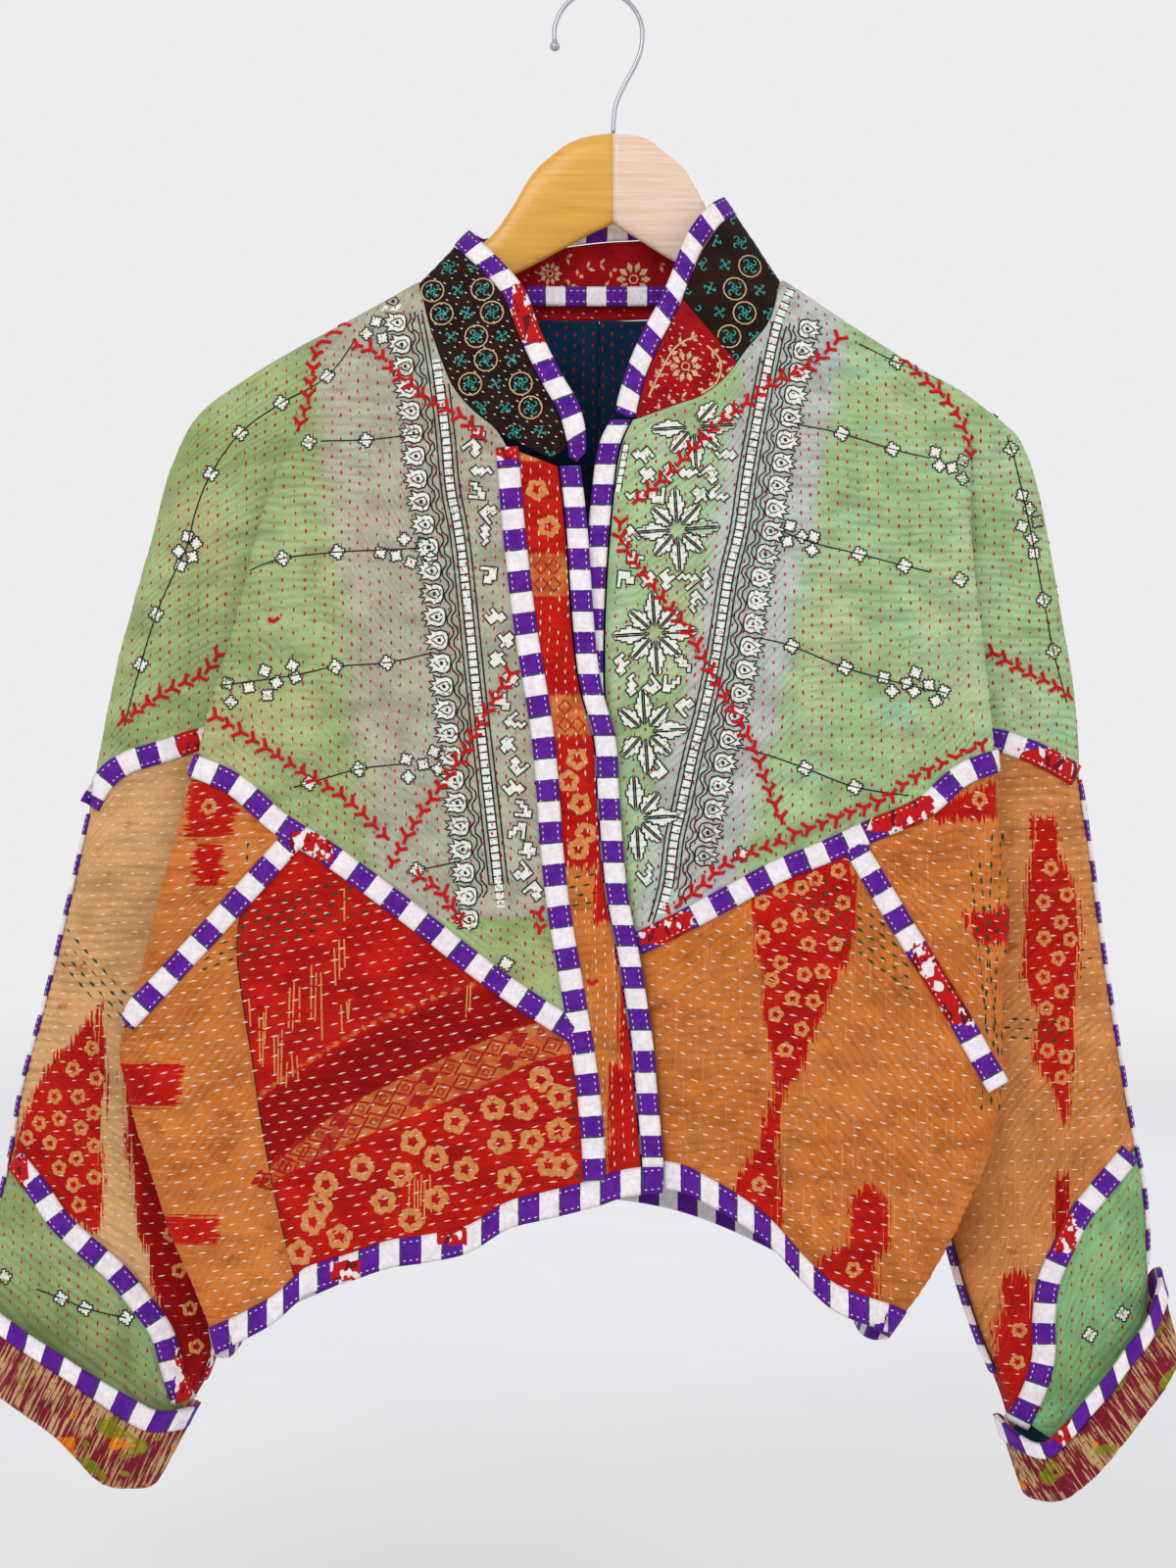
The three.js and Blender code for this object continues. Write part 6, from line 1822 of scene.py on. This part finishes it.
STARS = [(708, 435), (691, 541), (668, 647), (658, 747), (649, 835)]

def half_leaf(length, width):
    """One stepped half of a star's arm, along +x beside its spine."""
    return [(4.0, 0.6), (length * 0.34, width * 0.7), (length * 0.34, width), (length * 0.52, width),
            (length * 0.52, width * 1.3), (length * 0.66, width * 1.3), (length * 0.66, width * 0.95),
            (length * 0.8, width * 0.95), (length * 0.8, width * 0.65), (length * 0.92, width * 0.65),
            (length, 0.6)]

def star(pair, at, side, size=1.0):
    for k in range(8):
        length = (24.5 if k % 2 == 0 else 19.5) * size
        for flip in (1, -1):
            leaf = [(x, y * flip) for x, y in half_leaf(length, 4.0 * size)]
            motif(pair, moved(leaf, plan(*at), k * math.pi / 4 + 0.06), side, line=1.0)

def lattice(pair, left_edge, right_edge, y0, y1, side, skip, seed, pitch=(21.0, 21.5), size=2.5):
    """Stepped pieces set in rough rows between two edges, all in picture points."""
    roll = np.random.default_rng(seed)
    for j, y in enumerate(np.arange(y0, y1, pitch[1])):
        lo, hi = left_edge(y), right_edge(y)
        for x in np.arange(lo + (pitch[0] / 2 if j % 2 else 2), hi, pitch[0]):
            px, py = x + roll.uniform(-1.5, 1.5), y + roll.uniform(-1.5, 1.5)
            shape = STEPPED[roll.integers(len(STEPPED))]
            angle = roll.integers(4) * math.pi / 2 + math.pi / 4 * (roll.random() < 0.7) - 0.1
            if any(math.hypot(px - sx, py - sy) < r for sx, sy, r in skip):
                continue
            motif(pair, moved(shape, plan(px, py), angle, size, (2, 2)), side, line=1.1)

def line_at(points, shift=0.0):
    ys, xs = [p[1] for p in points], [p[0] for p in points]
    return lambda y: float(np.interp(y, ys, xs)) + shift

BAND_LEFT_PX = [(525, 440), (515, 470), (525, 600), (545, 700), (560, 830), (575, 960), (585, 1060)]
FRONT_EDGE_PX = [(640, 420), (616, 560), (610, 640), (612, 760), (630, 850), (640, 930), (648, 985)]
for side in ("front", "back"):
    pair = (Layer(f"print_white_{side}", inks["white"], "green_print"),
            Layer(f"print_black_{side}", inks["black"], "green_print"))
    green_print(pair, side)
    ladder(pair, LADDER_RIGHT, -1, lotus_right(), side)
    ladder(pair, LADDER_LEFT, 1, lotus_left(), side)
    lattice(pair, line_at(LADDER_RIGHT, 24), line_at(BAND_LEFT_PX, -10), 330, 925, side, [], 5)
    skip = [(x, y, 41) for x, y in STARS]
    lattice(pair, line_at(FRONT_EDGE_PX, 22), line_at(LADDER_LEFT, -20), 420, 945, side, skip, 8)
    for at in STARS:
        star(pair, at, side)
    thin = curve([plan(*p) for p in FRONT_EDGE_PX])
    pts = thin(np.linspace(0, 1, 70))
    for k in range(69):
        near, far = [pts[k] + (1.0, 0), pts[k + 1] + (1.0, 0)], [pts[k] + (4.4, 0), pts[k + 1] + (4.4, 0)]
        if filled(pair[0], [near[0], near[1], far[1], far[0]], 0.14, side, GREEN, 2.6):
            for rail in (near, far, [near[0], far[0]]):
                inked(pair[1], rail, 0.75, 0.3, False, side, 6, GREEN)
    for layer in pair:
        obj = layer.make()
        print(obj.name, len(obj.data.polygons), "faces")

# %% [markdown]
# ## Block-printed flowers on the red
# The red cloth carries tan ring flowers and a band of small diamonds. Each flower is a ring with
# five soft lobes.

# %% Ring flowers, diamonds and broken strokes
IKAT = ("lower", "strip", "pocket_side", "sleeve_front", "sleeve_back", "band")

def ring_flower(layer, at, r, side, only=IKAT):
    """Five-lobed ring, as a broad low line halfway between its inner and outer outlines."""
    a = np.linspace(0, 2 * np.pi, 20, endpoint=False)
    turn = (at[0] * 1.7 + at[1]) % 2
    mid = r * (0.68 + 0.13 * np.cos(5 * (a + turn)))
    c = plan(*at)
    inked(layer, [(c[0] + m * math.cos(t), c[1] + m * math.sin(t)) for m, t in zip(mid, a)], r * 0.58,
          0.22, True, side, 3, only)

FLOWERS_RED = [(552, 1099), (504, 1128), (536, 1128), (571, 1116), (466, 1141), (423, 1161), (511, 1163),
               (543, 1161), (570, 1150), (446, 1178), (372, 1187), (411, 1193), (476, 1190), (520, 1200),
               (549, 1214), (576, 1186), (336, 1203), (394, 1221), (446, 1219), (421, 1240), (323, 1241),
               (350, 1256), (476, 1240), (505, 1228), (310, 1272), (345, 1285), (385, 1262), (560, 1185),
               (530, 1225), (330, 1225)]
FLOWERS_BAND = [(548, 500), (560, 538), (532, 520), (589, 775), (580, 797), (592, 820), (604, 790),
                (598, 850), (590, 866), (575, 760), (608, 900)]
FLOWERS_IKAT = [(853, 888), (830, 896), (795, 908), (816, 905), (776, 920), (858, 920), (814, 933),
                (837, 933), (794, 943), (823, 962), (850, 962), (777, 955), (795, 981), (786, 998),
                (819, 993), (837, 990), (807, 1017), (828, 1020), (790, 1033), (816, 1048), (800, 1069),
                (773, 1205), (868, 1290), (995, 816), (217, 823), (1076, 887), (1093, 914), (1068, 921),
                (1086, 942), (1068, 958), (1083, 979), (1096, 960), (1067, 998), (1086, 1013),
                (1070, 1030), (1087, 1046), (1071, 1073), (1090, 1080), (1086, 1101), (1043, 1361),
                (1042, 1395), (1045, 1425), (91, 1071), (71, 1093), (96, 1102), (52, 1121), (77, 1121),
                (93, 1137), (57, 1144), (35, 1149), (80, 1153), (22, 1165), (47, 1169), (94, 1171),
                (75, 1184), (32, 1188), (57, 1194), (49, 1211), (72, 1211), (94, 1203), (78, 1232),
                (150, 1190), (163, 1228), (172, 1262), (180, 1300), (190, 1340), (196, 1380)]
tan_ink = thread("print_tan", dye(212, 148, 88), dye(200, 124, 66), 0.85)
red_ink = thread("print_red", dye(176, 30, 18), dye(158, 20, 16), 0.85)
for side in ("front", "back"):
    tan, red = Layer(f"print_tan_{side}", tan_ink, "ikat_red"), Layer(f"print_red_{side}", red_ink,
                                                                      "ikat_red")
    for at in FLOWERS_RED:
        ring_flower(tan, at, 7.4, side)
    for at in FLOWERS_BAND:
        ring_flower(tan, at, 6.4, side, ("band",) if side == "front" else IKAT)
    for at in FLOWERS_IKAT:
        ring_flower(tan, at, 4.6, side)
    top, low = curve(px_line(LATTICE_TOP)), curve(px_line(LATTICE_LOW))
    for k in range(15):
        for row in range(2):
            share = (k + 0.5 + 0.5 * row) / 15.5
            a, b = top(share), low(share)
            c = lerp(a, b, 0.26 + 0.46 * row)
            diamond = [(6.6, 0), (0, 5.0), (-6.6, 0), (0, -5.0)]
            if (k * 7 + row * 3) % 4 == 0:
                filled(red, moved(diamond, c, 0.4), 0.2, side, IKAT)
            else:
                inked(red, moved(diamond, c, 0.4), 1.4, 0.25, True, side, 4, IKAT)
                inked(red, moved([(2.4, 0), (0, 1.9), (-2.4, 0), (0, -1.9)], c, 0.4), 0.8, 0.25, True,
                      side, 3, IKAT)
    for y in (588, 731):
        for x in range(-30, 48, 13):
            for row in (-9, 9):
                c = plan(line_at(BAND_LEFT_PX, 45)(y) + x, y + row)
                inked(red, moved([(3.9, 0), (0, 4.2), (-3.9, 0), (0, -4.2)], c), 1.0, 0.24, True, side, 4,
                      ("band",) if side == "front" else IKAT)
    strokes = [(300, 1000, 60), (322, 985, 70), (345, 960, 44), (355, 900, 50), (400, 905, 44),
               (412, 915, 60), (436, 930, 58), (352, 1018, 30), (268, 1030, 60), (283, 1050, 62),
               (298, 1075, 40), (478, 1000, 40), (420, 1195, 40), (432, 1200, 50), (388, 1235, 42),
               (376, 1240, 50), (250, 1020, 40)]
    roll = np.random.default_rng(12)
    for x, y, tall in strokes:
        for k in range(3):
            x1 = x + k * 4.2 + roll.uniform(-1, 1)
            y1, t = y + roll.uniform(-6, 6), tall * roll.uniform(0.6, 1)
            inked(tan, [plan(x1, y1), plan(x1 + roll.uniform(-2, 2), y1 + t)], 1.1, 0.18, False, side, 3,
                  ("lower_right",))
    for layer in (tan, red):
        obj = layer.make()
        print(obj.name, len(obj.data.polygons), "faces")

# %% [markdown]
# ## The collar's prints
# The brown patches are printed with turquoise rounds and little curled crosses. The red patches
# carry beige curved stems with leaves and an open flower, in the manner of painted cotton.

# %% Rounds, crosses, stems and flowers
collar_inks = {"turquoise": thread("print_turquoise", dye(32, 128, 124), dye(58, 164, 154), 0.85),
               "beige": thread("print_beige", dye(196, 160, 118), dye(216, 184, 140), 0.85)}
turquoise = Layer("print_turquoise", collar_inks["turquoise"], "brown_turquoise")
beige = Layer("print_beige", collar_inks["beige"], "kalamkari_red")
BROWN, RED = ("collar_brown",), ("collar_red",)

def circle(at, r, count=14, start=0.0, sweep=2 * math.pi):
    return [(at[0] + r * math.cos(start + sweep * k / count),
             at[1] + r * math.sin(start + sweep * k / count)) for k in range(count + (sweep < 6.2))]

def collar_round(at):
    inked(beige, circle(at, 6.6), 0.9, 0.26, True, "front", 3, BROWN)
    for k in range(4):
        a = math.pi / 4 + k * math.pi / 2
        c = (at[0] + 3.0 * math.cos(a), at[1] + 3.0 * math.sin(a))
        inked(turquoise, circle(c, 1.5, 7, a + 2.4, 4.6), 0.95, 0.3, False, "front", 2, BROWN)
    inked(turquoise, [(at[0] - 1, at[1]), (at[0] + 1, at[1])], 1.3, 0.3, False, "front", 2, BROWN)

def curled_cross(at, turn):
    for k in range(4):
        a = turn + k * math.pi / 2
        tip = (at[0] + 3.6 * math.cos(a), at[1] + 3.6 * math.sin(a))
        inked(turquoise, [at, tip], 0.95, 0.3, False, "front", 2, BROWN)
        side_tip = (tip[0] + 1.9 * math.cos(a + 2.2), tip[1] + 1.9 * math.sin(a + 2.2))
        inked(turquoise, [tip, side_tip], 0.9, 0.3, False, "front", 2, BROWN)

for j, py in enumerate(range(215, 470, 25)):
    for i, px in enumerate(range(425, 840, 26)):
        at = plan(px + (13 if j % 2 else 0) - (py - 300) * 0.12, py)
        if (i + j) % 2:
            collar_round(at)
        else:
            curled_cross(at, 0.5 + 0.3 * (i % 3))

def open_flower(at, r):
    for k in range(10):
        a = 2 * math.pi * k / 10
        petal = moved([(r * 0.38, 0), (r * 0.7, r * 0.17), (r, 0), (r * 0.7, -r * 0.17)], at, a)
        filled(beige, petal, 0.22, "front", RED, 0.9)
    inked(beige, circle(at, r * 0.24, 8), 1.0, 0.24, True, "front", 2, RED)

def stem(points_px):
    line = curve(px_line(points_px))
    inked(beige, line(np.linspace(0, 1, 14)).tolist(), 1.25, 0.26, False, "front", 2.4, RED)
    for t in np.linspace(0.12, 0.92, max(3, int(line.length / 7))):
        at, ahead = line(t), line(min(1, t + 0.03)) - line(max(0, t - 0.03))
        a = math.atan2(ahead[1], ahead[0])
        for lean in (0.8, -0.8):
            filled(beige, moved([(0.4, 0), (2.4, 0.95), (4.6, 0), (2.4, -0.95)], at, a + lean), 0.2,
                   "front", RED, 0.9)

for flower, r in (((648, 268), 10.5), ((700, 372), 9.5), ((560, 262), 7.0)):
    open_flower(plan(*flower), r)
for points in ([(575, 282), (592, 262), (612, 252), (628, 262)],
               [(668, 250), (690, 262), (684, 284), (664, 292)],
               [(600, 288), (618, 276), (630, 286), (646, 292)],
               [(662, 404), (672, 382), (690, 352), (712, 340)],
               [(722, 350), (736, 366), (732, 388), (716, 400)], [(668, 422), (690, 404), (712, 410)],
               [(730, 340), (752, 352), (748, 376)], [(545, 250), (556, 240), (580, 246)]):
    stem(points)
for layer in (turquoise, beige):
    obj = layer.make()
    print(obj.name, len(obj.data.polygons), "faces")
# %% [markdown]
# ## Running stitch
# Every panel is quilted with small running stitches: short red ones down the green cloth, longer
# white ones across the orange and red. A stitch is a thread that dives into the cloth at both ends,
# so each is a little spindle that stands proud in its middle. Each is placed on the cloth it hits.

# %% One stitch
SPINDLE = [(0, 1, 2), (0, 2, 3), (0, 3, 1), (4, 2, 1), (4, 3, 2), (4, 1, 3)]

SPINDLE_SHARE, SPINDLE_OVER = 0.62, 0.08

def stitch(layer, at, angle, length, width, side, want, height=0.45):
    c, s = math.cos(angle) * length / 2, math.sin(angle) * length / 2
    hits = drop([(at[0] - c, at[1] - s), (at[0] + c, at[1] + s)], side)
    if hits is None or not all(any(w in h[2] for w in want) for h in hits):
        return
    (a, na, _), (b, nb, _) = hits
    if (b - a).length > length * 2.2:
        return
    n = (na + nb).normalized()
    across = (b - a).cross(n).normalized() * (width * SPINDLE_SHARE)
    mid, over = a.lerp(b, 0.5), (b - a) * SPINDLE_OVER
    layer.put([a - over - n * 0.1, mid + across - n * 0.05, mid + n * height, mid - across - n * 0.05,
               b + over - n * 0.1], SPINDLE)

def quilting(layer, want, region, rows, pitch, length, width, side, slope=0.0, upright=False, seed=3,
             wander=1.2, height=0.5):
    """Rows of stitches over a plan region (x0, z0, x1, z1 in mm), for the cloths named in want."""
    roll = np.random.default_rng(seed)
    x0, z0, x1, z1 = region
    long0, long1, across0, across1 = (z0, z1, x0, x1) if upright else (x0, x1, z0, z1)
    shift = 0
    for r, q in enumerate(np.arange(across0, across1, rows)):
        start = (pitch / 2 if r % 2 else 0) + roll.uniform(-0.8, 0.8)
        for p in np.arange(long0 + start, long1, pitch):
            if roll.random() < 0.04:
                continue
            bend = wander * 2.6 * (float(noise(p / 45 + seed, q / 33 + 7)) - 0.5)
            pp, qq = p + roll.uniform(-0.9, 0.9), q + bend + roll.uniform(-0.35, 0.35)
            at = (qq, pp) if upright else (pp, qq + slope * (pp - x0))
            angle = (math.pi / 2 if upright else math.atan(slope)) + roll.uniform(-0.12, 0.12)
            size = length * roll.uniform(0.75, 1.2)
            stitch(layer, at, angle, size, width, side, want, height)

threads = {
    "red": thread("thread_red", dye(206, 16, 18), dye(176, 8, 14)),
    "white": thread("thread_white", dye(236, 214, 190), dye(250, 240, 226)),
    "green": thread("thread_green", dye(14, 56, 26), dye(22, 78, 36)),
}
ALL = (-400, -880, 360, -120)
for side in ("front", "back"):
    red = Layer(f"stitches_red_{side}", threads["red"], "green_print")
    quilting(red, ("upper", "sleeve_petal"), ALL, 5.6, 6.8, 3.0, 1.15, side, upright=True, seed=3,
             wander=2.2, height=0.6)
    red.make()
    white = Layer(f"stitches_white_{side}", threads["white"], "ikat_orange")
    quilting(white, ("front_lower_right", "side_strip", "pocket_side_right", "back_lower_right"),
             (-280, -900, 30, -440), 5.6, 8.4, 4.6, 0.8, side, slope=0.22, seed=4, wander=2.0)
    quilting(white, ("front_lower_left", "pocket_side_left", "back_lower_left"),
             (0, -760, 280, -380), 5.8, 8.4, 4.2, 0.8, side, slope=-0.28, seed=5, wander=2.0)
    quilting(white, ("sleeve_front", "sleeve_back"), (-400, -880, 360, -430), 5.8, 8.2, 3.8, 0.75, side,
             slope=0.05, seed=6, wander=2.0)
    quilting(white, ("front_band",), (-60, -700, 40, -270), 5.2, 6.4, 3.4, 0.75, side, upright=True, seed=7)
    quilting(white, ("collar_brown", "collar_red"), (-120, -290, 120, -115), 4.6, 5.6, 2.1, 0.75, side,
             slope=-0.5 if side == "front" else 0.3, seed=8)
    white.make()
    if side == "front":
        print("red:", len(red.faces), "white:", len(white.faces), "faces")

# %% Dark green and cuff stitches
green = Layer("stitches_green", threads["green"], "ikat_red")
GREEN_ROWS = [((205, 975), (400, 905), 5), ((575, 915), (640, 905), 4), ((812, 906), (930, 995), 5),
              ((48, 962), (124, 1040), 4), ((1018, 1053), (1096, 1060), 3), ((1107, 985), (1133, 983), 3),
              ((583, 1071), (590, 1214), 2), ((252, 857), (246, 960), 1), ((1012, 850), (1000, 1130), 3),
              ((985, 880), (1005, 1090), 2)]
for (ax, ay), (bx, by), rows in GREEN_ROWS:
    a, b = np.array(plan(ax, ay)), np.array(plan(bx, by))
    size = np.linalg.norm(b - a)
    d = (b - a) / size
    n = np.array([-d[1], d[0]])
    for r in range(rows):
        for k, p in enumerate(np.arange(2 + (r % 2) * 4, size, 8.0)):
            at = a + d * p - n * (r - rows / 2) * 5.2
            stitch(green, at, math.atan2(d[1], d[0]), 5.4, 1.4, "front",
                   ("lower", "sleeve_front", "sleeve_back", "strip", "pocket_side", "front_band"), 0.55)
green.make()
cuff = Layer("stitches_cuff", threads["red"], "cuff_ikat")
CUFF_ROWS = (((-400, -880, -230, -720), -0.62), ((230, -1000, 360, -560), 0.8))
both = [(side, *rows) for side in ("front", "back") for rows in CUFF_ROWS]
for k, (side, region, slope) in enumerate(both):
    quilting(cuff, ("turn_up",), region, 6.0, 6.0, 2.4, 0.7, side, slope=slope, seed=9 + k)
cuff.make()

# %% [markdown]
# ## Embroidery
# Thick red thread is worked over the green in rows of Y-shaped stitches, along the folds, across
# the chest and above the seams. Each is a stem with two arms, in raised thread.

# %% Rows of Y stitches
EMBROIDERY = [
    [(217, 728), (267, 759), (318, 792), (357, 816), (399, 857)],
    [(525, 683), (497, 726), (474, 768), (447, 807), (422, 843), (402, 880)],
    [(424, 891), (453, 911), (472, 942)],
    [(355, 345), (378, 353), (390, 362), (401, 379), (415, 387), (433, 404), (457, 417), (474, 427),
     (497, 452)],
    [(352, 318), (334, 332), (320, 348), (314, 380), (309, 410), (297, 443)],
    [(223, 662), (204, 687), (175, 700), (148, 716), (111, 741)],
    [(918, 345), (941, 376), (962, 395), (980, 420), (991, 446), (995, 470)],
    [(863, 335), (844, 356), (822, 373), (792, 386), (770, 404), (734, 431), (709, 454), (689, 476),
     (667, 496), (644, 515)],
    [(633, 527), (634, 552), (650, 577), (678, 614), (703, 647), (726, 689), (743, 720), (757, 743),
     (771, 771), (782, 802), (802, 848)],
    [(803, 852), (835, 841), (871, 827), (900, 815), (924, 797), (956, 780), (984, 768), (1003, 756)],
    [(1010, 662), (1050, 684), (1076, 696), (1101, 712)],
    [(800, 856), (770, 868), (740, 880), (712, 905), (684, 930), (662, 948)],
    [(548, 925), (552, 940), (548, 960)],
]
Y_STEP = 8.4

def y_row(layer, points, side, seed):
    roll = np.random.default_rng(seed)
    line = curve(px_line(points))
    for k, t in enumerate(np.arange(Y_STEP / 2, line.length, Y_STEP) / line.length):
        at, ahead = line(t), line(t + 0.01) - line(t - 0.01)
        angle = math.atan2(ahead[1], ahead[0]) + roll.uniform(-0.25, 0.25)
        size = roll.uniform(0.85, 1.2)
        for shape in ([(-0.6, 0), (3.8, 0)], [(-0.2, 0), (-3.6, 3.9)], [(-0.2, 0), (-3.4, -3.9)]):
            inked(layer, moved(shape, at, angle, size), 2.3, 1.0, False, side, 2.4, GREEN)

for side in ("front", "back"):
    yarn = Layer(f"embroidery_{side}", threads["red"], "green_print")
    for k, row in enumerate(EMBROIDERY):
        y_row(yarn, row, side, 40 + k)
    if side == "front":
        for x, y, w in ((280, 633, 4), (604, 1000, 1)):
            inked(yarn, [plan(x - 5, y - 1), plan(x, y + 2), plan(x + 6, y - 2)], 2.4, 0.9, False, side, 2)
    obj = yarn.make()
    print(obj.name, len(obj.data.polygons), "faces")

# %% Stitching along the bindings
sewn = Layer("stitches_binding", threads["white"], "striped_binding")
EDGE_STITCH, EDGE_PITCH = 2.3, 3.6
for name, (outer, run) in tapes.items():
    normals = normals_of(outer)
    size = run - run[0]
    for column, inner in ((1, 2), (-2, -3)):
        line = lerp(outer[:, column], outer[:, inner], 0.35)
        for p in np.arange(1.2, size[-1] - EDGE_STITCH, EDGE_PITCH):
            a, b = [Vector([np.interp(q, size, line[:, c]) for c in range(3)]) for q in (p,
                                                                                         p + EDGE_STITCH)]
            up = Vector(normals[min(int(np.searchsorted(size, p)), len(size) - 1), column])
            near = cloth_tree.find_nearest(a)
            if near[1] is not None and near[1].dot(up) < 0:
                up = -up
            across, mid = (b - a).cross(up).normalized() * 0.4, a.lerp(b, 0.5)
            sewn.put([a - up * 0.1, mid + across, mid + up * 0.4, mid - across, b - up * 0.1], SPINDLE)
obj = sewn.make()
print(obj.name, len(obj.data.polygons), "faces")

print({k: [round(float(x)) for x in v] for k, v in flat_cut.items()})
